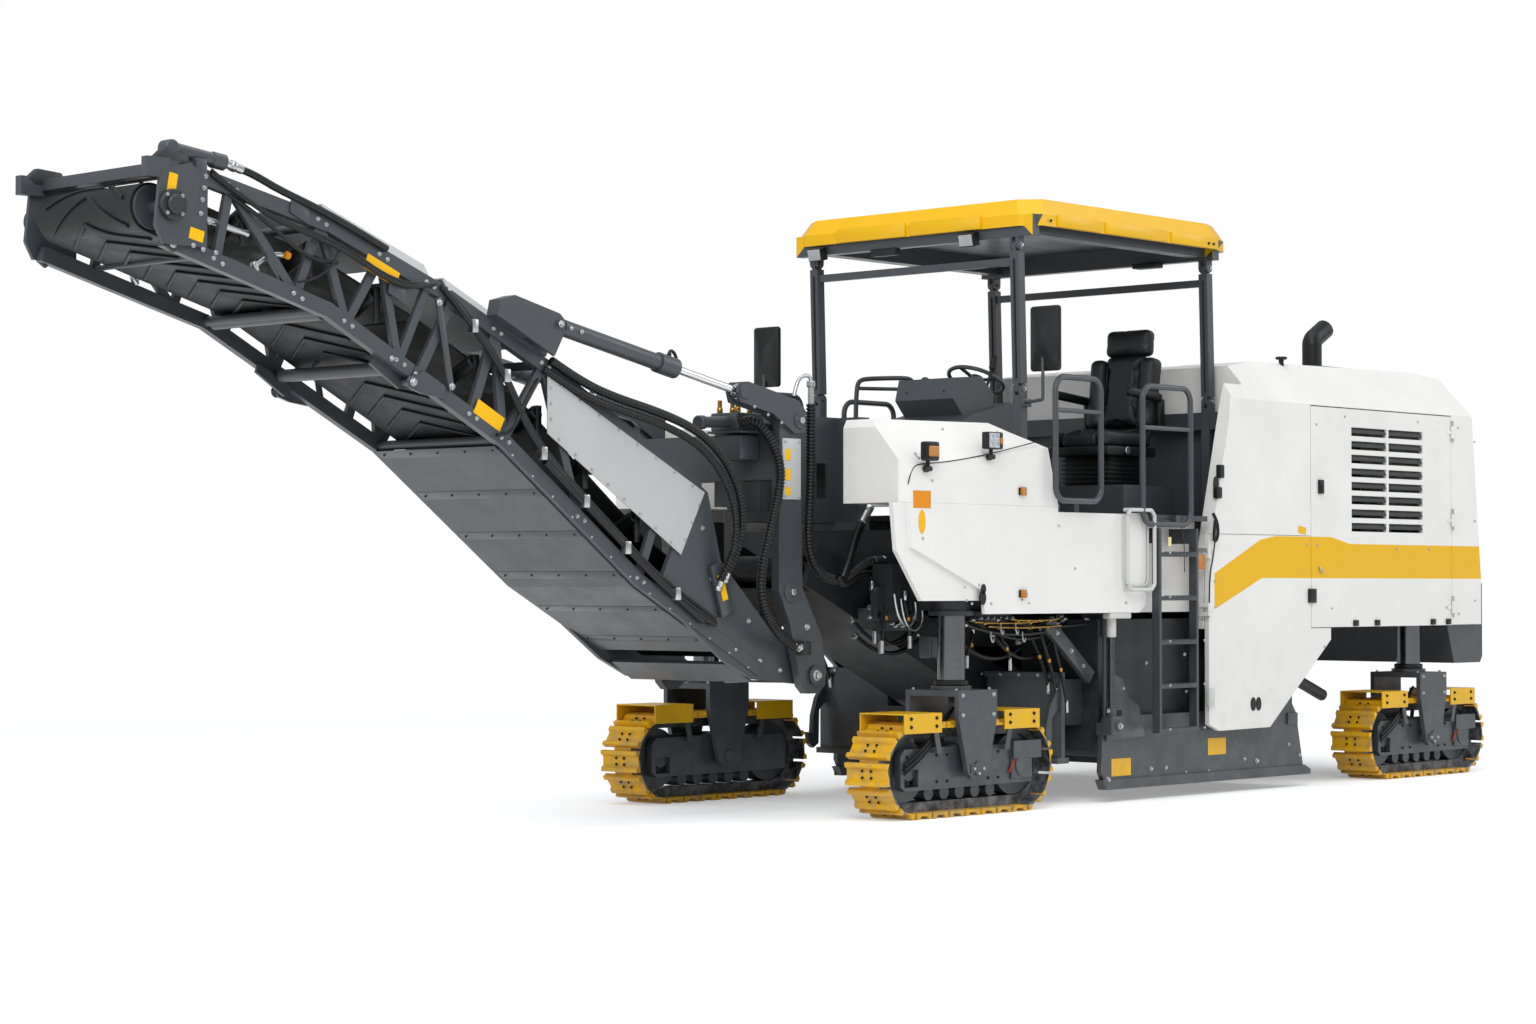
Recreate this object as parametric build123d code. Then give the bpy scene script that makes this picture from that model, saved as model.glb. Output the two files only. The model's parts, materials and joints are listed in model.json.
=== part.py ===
"""Cold planer milling machine on four steered tracks, with a front discharge conveyor.

Millimetres. +X is forward (towards the discharge conveyor), +Y is the machine's left, +Z is up.
All pieces are drawn with X = 0 at the front tracks' centre and Z = 0 on the ground. On export
they move by STORED_X, which puts X = 0 at the middle of the whole length.
"""
from build123d import *
from math import acos, atan2, cos, degrees, hypot, pi, radians, sin
import os

# ---------------------------------------------------------------- driving dimensions
STORED_X = 270                  # where the front track centre ends up in the stored part

FIT = 0.3                       # gap at pins, shafts and seats
RUN = 6                         # least gap between pieces that move past each other
WALL = 25                       # thickness of body panels

# tracks and lifting legs
WHEELBASE = 5394
DRUM_WIDTH = 2000
HALF_WIDTH = DRUM_WIDTH / 2 + 250
TRACK_GAUGE = 2 * HALF_WIDTH - 405
TRACK_LENGTH = 1651
TRACK_HEIGHT = 583
SHOE_WIDTH = 325
SHOE_COUNT = 24
SHOE_PLATE = 16
GROUSER = 20
CHAIN_WIDTH = 150
CHAIN_DEPTH = 62
COLUMN_RADIUS = 87
YOKE_TOP = 770
COLUMN_TOP = 1770
YOKE_PLATE = 38
CHEEK_THICKNESS = 34
CHEEK_GAP = 15                  # between a shoe's end and the yoke's cheek
TRACK_PIN_Z = 290

# body
SILL_Z = 1235
PLATFORM_Z = 1878
NOSE_FRONT_X = 690
NOSE_TOP_Z = 2420
NOTCH_HALF = 765
NOTCH_BACK_X = -60
NOSE_FLOOR_Z = 1910
NOSE_SEAM_Z = 2130               # where the side's bevel starts at the front
HOOD_FRONT_X = -2486
REAR_OVERHANG = 720             # the hood's back behind the rear legs
HOOD_REAR_X = -(WHEELBASE + REAR_OVERHANG)
BUMPER_BACK = HOOD_REAR_X - 101
HOOD_TOP_Z = 2985
BAY_REAR_X = -3050              # back of the operator's bay
BAY_HALF = HALF_WIDTH - 100     # the bay's half width between the hood's ears
DOOR_TOP_Z = 2690
DOOR_THICKNESS = 40
SEAM_X = -3755                  # between the side door and the engine door
ENGINE_HINGE_X = HOOD_REAR_X + 434
SIDE_HINGE_X = -2476
HINGE_Y = HALF_WIDTH + 14
HINGE_PIN = 6

# milling drum
DRUM_X = -2600
DRUM_Z = 620
DRUM_CUT_RADIUS = 510
DRUM_BODY_RADIUS = 400
DRUM_SHAFT = 95
HOLD_DOWN_X = -1150
SIDE_PLATE_Y = DRUM_WIDTH / 2 + 120
FRONT_ROD_X = -1470
REAR_ROD_X = -3640
SCRAPER_ROD_Y = 500

# discharge conveyor
SLEW_X = 750
FOOT_X = 800
FOOT_Z = 865
FRAME_HALF = 550                # outer faces of the conveyor's side frames
CHORD_WIDTH = 50
CHORD_DEPTH = 80
BELT_HALF = 400
BELT_THICKNESS = 14
HEAD_X = 5555
HEAD_Z = 3308
HEAD_RADIUS = 112
LUFF_EYE_X = 1442
LUFF_EYE_Z = 2564
LUFF_CLEVIS_X = 2957
LUFF_CLEVIS_Z = 2870
ARM_INNER = 565
ARM_THICKNESS = 60
LINK_PLATE = 22
LUFF_Y = ARM_INNER + ARM_THICKNESS / 2
LUFF_PIN = 26
LUFF_ROD = 24
LUFF_BARREL = 990
FOOT_PIN = 40
HUB_LOW = 1870
HUB_HIGH = 2420
HUB_LUG = 62
HUB_PIN = 45

# canopy
CANOPY_BASE_Z = 2680
FRONT_LEAN = 30
REAR_LEAN = 30
CANOPY_TOP_Z = 3610
POST_HALF = 34
FRONT_POST_X = -930
FRONT_POST_Y = 864
REAR_POST_X = -2960
REAR_POST_Y = 930
SEAT_X = -2410
SEAT_Y = 420
MIRROR_Y = HALF_WIDTH - 50
MARKERS = ((-450, 2000), (-450, 1360))       # x, z

SIDES = {"left": 1, "right": -1}


# ---------------------------------------------------------------- shapes used all over
def block(x, y, z):
    """A box from pairs of limits."""
    size = [high - low for low, high in (x, y, z)]
    middle = [(high + low) / 2 for low, high in (x, y, z)]
    return Pos(*middle) * Box(*size)


def slab_y(outline, low, high, corner=0):
    """A plate with an outline of (x, z) points, from y = low to y = high."""
    face = make_face(Polyline(*[(x, low, z) for x, z in outline], close=True))
    if corner:
        face = fillet(face.vertices(), corner)
    return extrude(face, amount=high - low, dir=(0, 1, 0))


def slab_x(outline, low, high):
    """A plate with an outline of (y, z) points, from x = low to x = high."""
    face = make_face(Polyline(*[(low, y, z) for y, z in outline], close=True))
    return extrude(face, amount=high - low, dir=(1, 0, 0))


def slab_z(outline, low, high):
    """A plate with an outline of (x, y) points, from z = low to z = high."""
    face = make_face(Polyline(*[(x, y, low) for x, y in outline], close=True))
    return extrude(face, amount=high - low, dir=(0, 0, 1))


def rod(start, end, radius):
    """A round bar between two points."""
    way = Vector(*end) - Vector(*start)
    base = Plane(origin=start, z_dir=way)
    return base * Cylinder(radius, way.length, align=(Align.CENTER, Align.CENTER, Align.MIN))


def pin_y(x, z, low, high, radius):
    """A round bar along Y."""
    return rod((x, low, z), (x, high, z), radius)


def strip(points, low, high):
    """Outline of a band that follows a line of (x, z) points, from low to high beside it."""
    def side(offset):
        moved = []
        for i, (x, z) in enumerate(points):
            ways = []
            if i > 0:
                ways.append((x - points[i - 1][0], z - points[i - 1][1]))
            if i < len(points) - 1:
                ways.append((points[i + 1][0] - x, points[i + 1][1] - z))
            angles = [atan2(b, a) for a, b in ways]
            mean = sum(angles) / len(angles)
            reach = offset / cos(mean - angles[0])
            moved.append((x - reach * sin(mean), z + reach * cos(mean)))
        return moved
    return side(low) + side(high)[::-1]


def both(part):
    """The part and its mirror image on the machine's other side."""
    return [part, mirror(part, about=Plane.XZ)]


def fused(parts):
    """One shape from many."""
    parts = list(parts)
    return parts[0].fuse(*parts[1:]) if len(parts) > 1 else parts[0]


def on_side(part, side):
    """The left part, or its mirror image for the right."""
    return part if side == "left" else mirror(part, about=Plane.XZ)


def tube(points, bend, radius):
    """A round tube along straight runs with bends of one radius."""
    path = FilletPolyline(*points, radius=bend)
    start = Plane(origin=path @ 0, z_dir=path % 0)
    return sweep(start * Circle(radius), path=path)


def save(name, shape):
    """Writes one named piece."""
    part = Pos(STORED_X, 0, 0) * shape
    part.label = name
    export_step(part, f"parts/{name}.step")


# ---------------------------------------------------------------- tracks and legs
END_RADIUS = TRACK_HEIGHT / 2
STRAIGHT = TRACK_LENGTH - TRACK_HEIGHT
LINK_RADIUS = END_RADIUS - SHOE_PLATE - GROUSER      # where a shoe's plate lies on the chain
LAP = 2 * STRAIGHT + 2 * pi * LINK_RADIUS
SHOE_PITCH = LAP / SHOE_COUNT
SHOE_REACH = SHOE_PITCH / 2 - 9
CORNER_RISE = hypot(END_RADIUS, SHOE_REACH) - END_RADIUS
BORE_RADIUS = LINK_RADIUS - CHAIN_DEPTH
CHEEK_INNER = SHOE_WIDTH / 2 + CHEEK_GAP
CHEEK_OUTER = CHEEK_INNER + CHEEK_THICKNESS
TRACK_PIN_RADIUS = 45


def stadium(radius, low, high):
    """A solid with two half-round ends, round the track's two shafts."""
    shape = block((-STRAIGHT / 2, STRAIGHT / 2), (low, high), (END_RADIUS - radius, END_RADIUS + radius))
    for end in (-1, 1):
        shape += pin_y(end * STRAIGHT / 2, END_RADIUS, low, high, radius)
    return shape


def track_station(distance):
    """Place of a shoe on the chain's outer line, and the way it faces."""
    arc = pi * LINK_RADIUS
    seat = LINK_RADIUS - CORNER_RISE
    s = distance % LAP
    if s < STRAIGHT:
        return STRAIGHT / 2 - s, END_RADIUS - LINK_RADIUS, 180
    s -= STRAIGHT
    if s < arc:
        turn = s / LINK_RADIUS
        return -STRAIGHT / 2 - seat * sin(turn), END_RADIUS - seat * cos(turn), 180 - degrees(turn)
    s -= arc
    if s < STRAIGHT:
        return -STRAIGHT / 2 + s, END_RADIUS + LINK_RADIUS, 0
    turn = (s - STRAIGHT) / LINK_RADIUS
    return STRAIGHT / 2 + seat * sin(turn), END_RADIUS + seat * cos(turn), -degrees(turn)


def make_track():
    """The chain as one loop, with a double-ribbed shoe on each link."""
    half = CHAIN_WIDTH / 2
    top = SHOE_PLATE + GROUSER
    rib = 26
    slope = 14
    chain = stadium(LINK_RADIUS, -half, half) - stadium(BORE_RADIUS, -half - 1, half + 1)
    outline = [(-SHOE_REACH, -2), (SHOE_REACH, -2), (SHOE_REACH, top), (SHOE_REACH - rib, top),
               (SHOE_REACH - rib - slope, SHOE_PLATE), (-SHOE_REACH + rib + slope, SHOE_PLATE),
               (-SHOE_REACH + rib, top), (-SHOE_REACH, top)]
    shoe = slab_y(outline, -SHOE_WIDTH / 2, SHOE_WIDTH / 2)
    shoes = []
    for i in range(SHOE_COUNT):
        x, z, angle = track_station((i + 0.5) * SHOE_PITCH)
        shoes.append(Location((x, 0, z), (0, -angle, 0)) * shoe)
    return fused([chain] + shoes)


def make_track_frame():
    """Frame box between two side plates, with rollers, idler, drive wheel and the pin of the yoke."""
    shaft = STRAIGHT / 2
    inner, outer = 82, 128
    outline = [(-640, 180), (600, 172), (640, 200), (640, 385), (600, 425), (160, 428), (120, 440),
               (-120, 440), (-160, 425), (-600, 415), (-640, 380)]
    plates = [slab_y(outline, low, high) for low, high in ((-outer, -inner), (inner, outer))]
    frame = fused(plates + [block((-shaft + 230, shaft - 230), (-inner - 1, inner + 1), (190, 400))])
    notch = block((shaft - 60, shaft + 70), (inner - 1, outer + 1), (195, 300))
    for cut in both(notch):
        frame -= cut
    for x in (-300, -150, 0, 150, 300):
        frame += pin_y(x, 146, -64, 64, 44)
        frame += block((x - 20, x + 20), (-64, 64), (146, 195))
    for end in (-1, 1):
        frame += pin_y(end * shaft, END_RADIUS, -60, 60, BORE_RADIUS - FIT)
        frame += pin_y(end * shaft, END_RADIUS, -inner - 20, inner + 20, 60)
    frame += pin_y(-shaft, END_RADIUS, -outer, outer + 22, 78)
    frame += block((-708, -428), (outer - 6, outer + 26), (330, 441))
    reach = CHEEK_OUTER + 12
    frame += pin_y(0, TRACK_PIN_Z, -reach, reach, TRACK_PIN_RADIUS)
    return frame


def make_track_guards():
    """Mud guards over both ends of the track's upper run, on arms from the frame's side plates."""
    lip = SHOE_WIDTH / 2 + 8
    plate = 8
    seat = 128 + FIT
    guards = []
    for end in (-1, 1):
        low, high = sorted((end * 308, end * 660))
        cover = block((low, high), (-lip - plate, lip + plate), (520, 640))
        cover -= block((low - 1, high + 1), (-lip, lip), (500, 640 - plate))
        x = end * 330
        arm = slab_y([(x - 22, 395), (x + 22, 395), (x + end * 40 + 22, 560), (x + end * 40 - 22, 560)], lip, lip + plate)
        foot = block((x - 22, x + 22), (seat, lip + plate), (395, 420))
        for piece in both(arm + foot):
            cover += piece
        guards.append(cover)
    return guards


def make_leg():
    """Lifting column, flange and the yoke whose cheeks carry the track's pin."""
    reach = 188
    leg = block((-reach, reach), (-CHEEK_OUTER, CHEEK_OUTER), (YOKE_TOP - YOKE_PLATE, YOKE_TOP))
    outline = [(-reach, YOKE_TOP - 1), (reach, YOKE_TOP - 1), (reach, 600), (98, 262), (66, 232),
               (-66, 232), (-98, 262), (-reach, 600)]
    for cheek in both(slab_y(outline, CHEEK_INNER, CHEEK_OUTER)):
        leg += cheek
    leg -= pin_y(0, TRACK_PIN_Z, -CHEEK_OUTER - 1, CHEEK_OUTER + 1, TRACK_PIN_RADIUS + FIT)
    leg += rod((0, 0, YOKE_TOP - 1), (0, 0, YOKE_TOP + 24), COLUMN_RADIUS + 38)
    leg += rod((0, 0, YOKE_TOP), (0, 0, COLUMN_TOP), COLUMN_RADIUS)
    return leg


LEG_PLACES = {
    "front_left": (0, 1), "front_right": (0, -1),
    "rear_left": (-WHEELBASE, 1), "rear_right": (-WHEELBASE, -1),
}


def save_tracks():
    track = make_track()
    frame = Compound(children=[make_track_frame()] + make_track_guards())
    leg = make_leg()
    for name, (x, side) in LEG_PLACES.items():
        place = Pos(x, side * TRACK_GAUGE / 2, 0)
        save(f"track_{name}", place * track)
        save(f"track_frame_{name}", place * (frame if side > 0 else mirror(frame, about=Plane.XZ)))
        save(f"leg_{name}", place * leg)


# ---------------------------------------------------------------- chassis below the panels
BEAM_INNER = 620
BEAM_OUTER = 780
BEAM_LOW = 1255
BEAM_HIGH = 1545
SLEEVE_RADIUS = 118
FLANGE_RADIUS = SLEEVE_RADIUS + 24
HOUSING_HALF = DRUM_WIDTH / 2 + 60
HOUSING_FRONT = -1500
HOUSING_REAR = -3720
HOUSING_TOP = 1190
FRONT_BEAM_TOP = 1760
LASHING_Y = 700
LASHING_RADIUS = 27
FRONT_LASHING_X = 292
FRONT_LASHING_Z = 1236
REAR_LASHING_X = HOOD_REAR_X + 64
REAR_LASHING_Z = 775


def make_main_frame():
    """Two long box beams, cross beams and the four sleeves that guide the lifting columns."""
    pieces = []
    for side in (-1, 1):
        beam = block((HOOD_REAR_X + 114, 250), sorted((side * BEAM_INNER, side * BEAM_OUTER)), (BEAM_LOW, BEAM_HIGH))
        x, y, z = FRONT_LASHING_X, side * LASHING_Y, FRONT_LASHING_Z
        eye = slab_y([(249, z + 35), (249, 1400), (300, 1400), (x + 43, 1365), (x + 43, z - 25), (x + 18, z - 45),
                      (x - 18, z - 45), (249, z - 15)], y - 20, y + 20)
        pieces.append(beam + (eye - pin_y(x, z, y - 21, y + 21, LASHING_RADIUS)))
    for x in (HOOD_REAR_X + 214, -WHEELBASE, -4300, -1350):
        pieces.append(block((x - 90, x + 90), (-BEAM_INNER, BEAM_INNER), (BEAM_LOW + 40, BEAM_HIGH - 40)))
    pieces.append(block((-80, 40), (-BEAM_OUTER, BEAM_OUTER), (BEAM_HIGH, FRONT_BEAM_TOP)))
    for x in (0, -WHEELBASE):
        for side in (-1, 1):
            y = side * TRACK_GAUGE / 2
            low = BEAM_LOW - 30 if x == 0 else BEAM_LOW - 140
            sleeve = rod((x, y, low), (x, y, COLUMN_TOP + 60), SLEEVE_RADIUS)
            sleeve += rod((x, y, low), (x, y, low + 30), FLANGE_RADIUS)
            sleeve += block((x - 70, x + 70), sorted((side * BEAM_OUTER, y)), (BEAM_LOW, BEAM_HIGH))
            pieces.append(sleeve - rod((x, y, 1000), (x, y, COLUMN_TOP + 30), COLUMN_RADIUS + FIT))
    return group(*pieces)


def make_slew_bracket():
    """Bracket at the chassis' front whose two lugs hold the mast's upright hub."""
    back = block((NOTCH_BACK_X + FIT, 40), (-330, 330), (FRONT_BEAM_TOP + FIT, 2480))
    arm = block((0, SLEW_X - 190), (-135, 135), (HUB_LOW - 62, HUB_HIGH + 62))
    bracket = back + arm
    for low in (HUB_LOW - 62, HUB_HIGH + FIT):
        lug = block((SLEW_X - 300, SLEW_X), (-135, 135), (low, low + 62 - FIT))
        lug += Pos(SLEW_X, 0, low) * Cylinder(135, 62 - FIT, align=(Align.CENTER, Align.CENTER, Align.MIN))
        bracket += lug
    bracket -= rod((SLEW_X, 0, HUB_LOW - 100), (SLEW_X, 0, HUB_HIGH + 100), 45 + FIT)
    return bracket


def make_drum_housing():
    """Box over the drum: side walls, roof and front wall with the conveyor's passage."""
    outer = block((HOUSING_REAR, HOUSING_FRONT), (-HOUSING_HALF, HOUSING_HALF), (330, HOUSING_TOP))
    inner = block((HOUSING_REAR - 1, HOUSING_FRONT - 40), (-HOUSING_HALF + 40, HOUSING_HALF - 40), (300, HOUSING_TOP - 30))
    housing = outer - inner
    housing -= block((HOUSING_FRONT - 60, HOUSING_FRONT + 1), (-430, 430), (420, 1000))
    for piece in both(block((HOUSING_REAR + 200, HOUSING_FRONT - 200), (BEAM_INNER, BEAM_OUTER), (HOUSING_TOP - 1, BEAM_LOW - FIT))):
        housing += piece
    for side in (-1, 1):
        bearing = sorted((side * (DRUM_WIDTH / 2 + 8), side * (HOUSING_HALF - 39)))
        housing += pin_y(DRUM_X, DRUM_Z, *bearing, 150)
    housing -= pin_y(DRUM_X, DRUM_Z, -HOUSING_HALF - 1, HOUSING_HALF + 1, DRUM_SHAFT + FIT)
    return housing


def make_milling_drum():
    """Drum body with two helices of tool holders that meet in the middle."""
    half = DRUM_WIDTH / 2
    drum = pin_y(DRUM_X, DRUM_Z, -half, half, DRUM_BODY_RADIUS)
    drum += pin_y(DRUM_X, DRUM_Z, -HOUSING_HALF, HOUSING_HALF, DRUM_SHAFT)
    tools = []
    rows = 15
    for i in range(rows):
        share = (i + 0.5) / rows
        for side in (-1, 1):
            for start in (0, 180):
                angle = radians(start + 250 * share)
                y = side * (half - 40) * (1 - share) + side * 30
                out = Vector(cos(angle), 0, sin(angle))
                lean = Vector(-sin(angle), 0, cos(angle))
                centre = Vector(DRUM_X, y, DRUM_Z)
                root = centre + out * (DRUM_BODY_RADIUS - 14)
                tip = centre + out * (DRUM_CUT_RADIUS - 12) + lean * 26
                base = Plane(origin=root, z_dir=tip - root)
                tools.append(base * Cone(44, 13, (tip - root).length, align=(Align.CENTER, Align.CENTER, Align.MIN)))
    return fused([drum] + tools)


def make_loading_conveyor():
    """The first conveyor: a trough from the drum housing up to the slewing axis, with its belt."""
    tail = (-1450, 640)
    head = (600, 1560)
    length = hypot(head[0] - tail[0], head[1] - tail[1])
    angle = degrees(atan2(head[1] - tail[1], head[0] - tail[0]))
    place = Pos(tail[0], 0, tail[1]) * Rot(0, -angle, 0)
    sides = [piece for piece in both(block((0, length - 60), (330, 370), (-130, 170)))]
    pan = block((0, length - 160), (-331, 331), (-130, -110))
    trough = place * fused(sides + [pan])
    for hanger in both(block((-160, -40), (369, BEAM_INNER - FIT), (1270, 1390))):
        trough += hanger
    return trough, place


def make_loading_belt():
    """Belt of the first conveyor, closed round its head drum."""
    place = make_loading_conveyor()[1]
    length = hypot(600 + 1450, 1560 - 640)
    run = block((30, length - 80), (-300, 300), (-70, 70))
    run += pin_y(length - 80, 0, -300, 300, 70)
    run += pin_y(30, 0, -300, 300, 70)
    for x in (30, length - 80):
        run += pin_y(x, 0, -330 + FIT, 330 - FIT, 30)
    return place * run

def make_hold_down():
    """Upright plate ahead of the drum with side wings and the lifting hooks at its ends."""
    x = HOLD_DOWN_X
    half = HOUSING_HALF - 20
    plate = block((x - 18, x + 18), (-half, half), (270, 850))
    plate += block((x - 60, x + 60), (-half, half), (262, 300))
    plate += block((x - 50, x + 50), (40 - half, half - 40), (815, 850))
    plate -= block((x - 70, x + 70), (-430, 430), (600, 900))
    hook = slab_y([(x + 18, 620), (x + 90, 560), (x + 96, 330), (x + 150, 300), (x + 190, 330), (x + 205, 410),
                   (x + 160, 395), (x + 150, 520), (x + 110, 640), (x + 17, 760)], half - 55, half - 20)
    for piece in both(hook):
        plate += piece
    arm = block((HOUSING_FRONT + FIT, x - 17), (half - 150, half - 110), (500, 800))
    for piece in both(arm):
        plate += piece
    return plate


def make_side_plate():
    """Edge plate beside the drum: skid, front ear, rear stiffener and its two lifting rods."""
    y = SIDE_PLATE_Y
    outline = [(-1440, 130), (-1400, 200), (-1420, 480), (-1500, 620), (-1560, 690), (-1640, 700), (-1720, 560),
               (-3200, 560), (-3330, 700), (-3560, 700), (-3700, 520), (-3790, 130)]
    plate = slab_y(outline, y, y + 36)
    plate += slab_y([(-1400, 150), (-1440, 84), (-3160, 84), (-3860, 84), (-3860, 118), (-3790, 150)], y - 16, y + 52)
    for x in (FRONT_ROD_X, REAR_ROD_X):
        plate += block((x - 60, x + 60), (y - 10, y + 50), (440, 520))
        plate += rod((x, y + 20, 480), (x, y + 20, 1120), 19)
    return plate


def make_lift_barrels():
    """Upright cylinders over the side plates' rods."""
    y = SIDE_PLATE_Y + 20
    pieces = []
    for x, low in ((FRONT_ROD_X, 1080), (REAR_ROD_X, 900)):
        for side in (-1, 1):
            barrel = rod((x, side * y, low), (x, side * y, 1480), 36)
            barrel -= rod((x, side * y, low - 1), (x, side * y, 1440), 19 + FIT)
            web = sorted((side * (BEAM_OUTER + FIT), side * y))
            barrel += block((x - 30, x + 30), web, (1442, 1478))
            pieces.append(barrel)
    return Compound(children=pieces)


def make_moldboard():
    """Scraper that closes the housing behind the drum, on two rods."""
    x = HOUSING_REAR - RUN
    half = HOUSING_HALF - 50
    board = block((x - 36, x), (-half, half), (110, 900))
    board += block((x - 70, x), (-half, half), (96, 150))
    board += block((x - 90, x), (-half, half), (480, 540))
    for y in (-SCRAPER_ROD_Y, SCRAPER_ROD_Y):
        board += block((x - 110, x - 30), (y - 50, y + 50), (780, 880))
        board += rod((x - 70, y, 860), (x - 70, y, 1240), 22)
    return board


def make_moldboard_barrels():
    """Cylinders that lift the scraper."""
    x = HOUSING_REAR - RUN - 70
    pieces = []
    for y in (-SCRAPER_ROD_Y, SCRAPER_ROD_Y):
        barrel = rod((x, y, 1180), (x, y, BEAM_HIGH - 5), 42) - rod((x, y, 1100), (x, y, 1515), 22 + FIT)
        web = sorted((y, y / SCRAPER_ROD_Y * (BEAM_INNER - FIT)))
        pieces.append(barrel + (block((x - 30, x + 30), web, (1380, 1460)) - rod((x, y, 1100), (x, y, 1515), 22 + FIT)))
    return pieces


# ---------------------------------------------------------------- front body
def nose_volume(inset):
    """The front body's outer form, or its inside when inset by the wall."""
    half = HALF_WIDTH - inset
    front = NOSE_FRONT_X - inset
    top = NOSE_TOP_Z - inset
    floor = NOSE_FLOOR_Z + inset
    outline = [(front, floor), (front, top - 50), (front - 30, top), (-330, top + 10), (-470, 2372 - inset),
               (-720 - inset * 0.3, 2280 - inset), (-830 - inset * 0.3, floor)]
    shape = slab_y(outline, -half, half)
    for side in (-1, 1):
        slope = Plane(origin=(580, side * half, NOSE_SEAM_Z - inset), z_dir=(0.105, side * 1.0, 0.9))
        shape = split(shape, bisect_by=slope, keep=Keep.BOTTOM)
        edge = Plane(origin=(front - 60, side * half, 0), z_dir=(0.62, side * 0.78, 0))
        shape = split(shape, bisect_by=edge, keep=Keep.BOTTOM)
    return shape


def make_nose():
    """Front hood: a panelled shell open below and at the back, with the mast's notch in front."""
    shell = nose_volume(0) - nose_volume(WALL)
    low_hole = block((-900, NOSE_FRONT_X - 2 * WALL), (-HALF_WIDTH + 2 * WALL, HALF_WIDTH - 2 * WALL), (NOSE_FLOOR_Z - 5, NOSE_FLOOR_Z + WALL + 5))
    shell -= low_hole
    notch = (NOTCH_BACK_X, NOSE_FRONT_X + 1)
    shell -= block(notch, (-NOTCH_HALF, NOTCH_HALF), (NOSE_FLOOR_Z - 1, NOSE_TOP_Z + 60))
    for side in (-1, 1):
        cheek = block((NOTCH_BACK_X, NOSE_FRONT_X - 40), sorted((side * NOTCH_HALF, side * (NOTCH_HALF + WALL))), (NOSE_FLOOR_Z, NOSE_TOP_Z - 8))
        shell += cheek
    shell += block((NOTCH_BACK_X - WALL, NOTCH_BACK_X), (-NOTCH_HALF - WALL, NOTCH_HALF + WALL), (NOSE_FLOOR_Z, NOSE_TOP_Z - 4))
    return shell


PANEL_REAR_X = -1790
RAIL_FRAMES = ((-1220, -740, 1950, 2735), (-2220, -1676, 1815, 2720))     # back, front, low, high


def make_front_panel():
    """Left side panel below the hood, with the folded flare at its front."""
    rear = PANEL_REAR_X
    outer = [(660, NOSE_FLOOR_Z - FIT), (620, 1640), (-60, 1380), (-80, SILL_Z), (rear + 90, SILL_Z), (rear, SILL_Z + 60),
             (rear, PLATFORM_Z), (-826, PLATFORM_Z), (-826, NOSE_FLOOR_Z - FIT)]
    panel = slab_y(outer, HALF_WIDTH - WALL, HALF_WIDTH)
    flare = [(770, NOSE_FLOOR_Z - FIT), (735, 1620), (500, 1318), (-79, 1318), (-79, 1420), (600, 1690), (630, NOSE_FLOOR_Z - FIT)]
    panel += slab_y(flare, HALF_WIDTH - 2 * WALL - 5, HALF_WIDTH - WALL)
    return panel + make_ladder_bay()


def make_ladder_bay():
    """Recessed panel behind the ladder."""
    y = HALF_WIDTH - 150
    bay = block((HOOD_FRONT_X - 60, PANEL_REAR_X + 1), (y - WALL, y), (SILL_Z, PLATFORM_Z - 35 - FIT))
    return bay + block((PANEL_REAR_X, PANEL_REAR_X + WALL), (y - WALL, HALF_WIDTH - 1), (SILL_Z + 61, PLATFORM_Z - 35 - FIT))


# ---------------------------------------------------------------- operator's platform
def make_platform():
    """Floor, the step box under the seat and the wall behind it."""
    low = PLATFORM_Z - 35
    front = -826 - FIT
    floor = block((BAY_REAR_X + FIT, front), (-BAY_HALF + FIT, BAY_HALF - FIT), (low, PLATFORM_Z))
    floor += block((HOOD_FRONT_X + RUN, front), (-HALF_WIDTH, HALF_WIDTH), (low, PLATFORM_Z))
    slot = block((PANEL_REAR_X - FIT, -826), (HALF_WIDTH - WALL - FIT, HALF_WIDTH + 1), (1800, 1900))
    for piece in both(slot):
        floor -= piece
    step = block((-2700, -2120), (-820, 820), (PLATFORM_Z - 1, PLATFORM_Z + 215))
    step -= block((-2675, -2145), (-795, 795), (PLATFORM_Z, PLATFORM_Z + 190))
    wall = block((BAY_REAR_X + FIT, BAY_REAR_X + 24), (-BAY_HALF + FIT, BAY_HALF - FIT), (low, 2490))
    shelf = block((BAY_REAR_X + FIT, BAY_REAR_X + 110), (-BAY_HALF + FIT, BAY_HALF - FIT), (2490 - 1, 2610))
    return floor + step + wall + shelf


def make_console():
    """Control desk: a leaning stand with a faceted head, and the steering wheel on its column."""
    stand = slab_y([(-1560, PLATFORM_Z + FIT), (-1080, PLATFORM_Z + FIT), (-1010, 2500), (-1090, 2540), (-1520, 2640),
                    (-1600, 2560)], -330, 330)
    head = slab_y([(-1120, 2520), (-1000, 2650), (-1040, 2790), (-1300, 2810), (-1440, 2690), (-1420, 2560)], -250, 250)
    for side in (-1, 1):
        facet = Plane(origin=(-1000, side * 250, 2650), z_dir=(0.45, side * 0.75, -0.1))
        head = split(head, bisect_by=facet, keep=Keep.BOTTOM)
    hub = Plane(origin=(-1480, 60, 2800), z_dir=(-0.42, 0, 0.90))
    wheel = hub * Torus(190, 14)
    spokes = hub * (Box(366, 26, 12) + Box(26, 366, 12) + Cylinder(46, 30))
    column = rod((-1395, 60, 2600), (-1480, 60, 2800), 30)
    return stand + head + column + spokes + wheel


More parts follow.
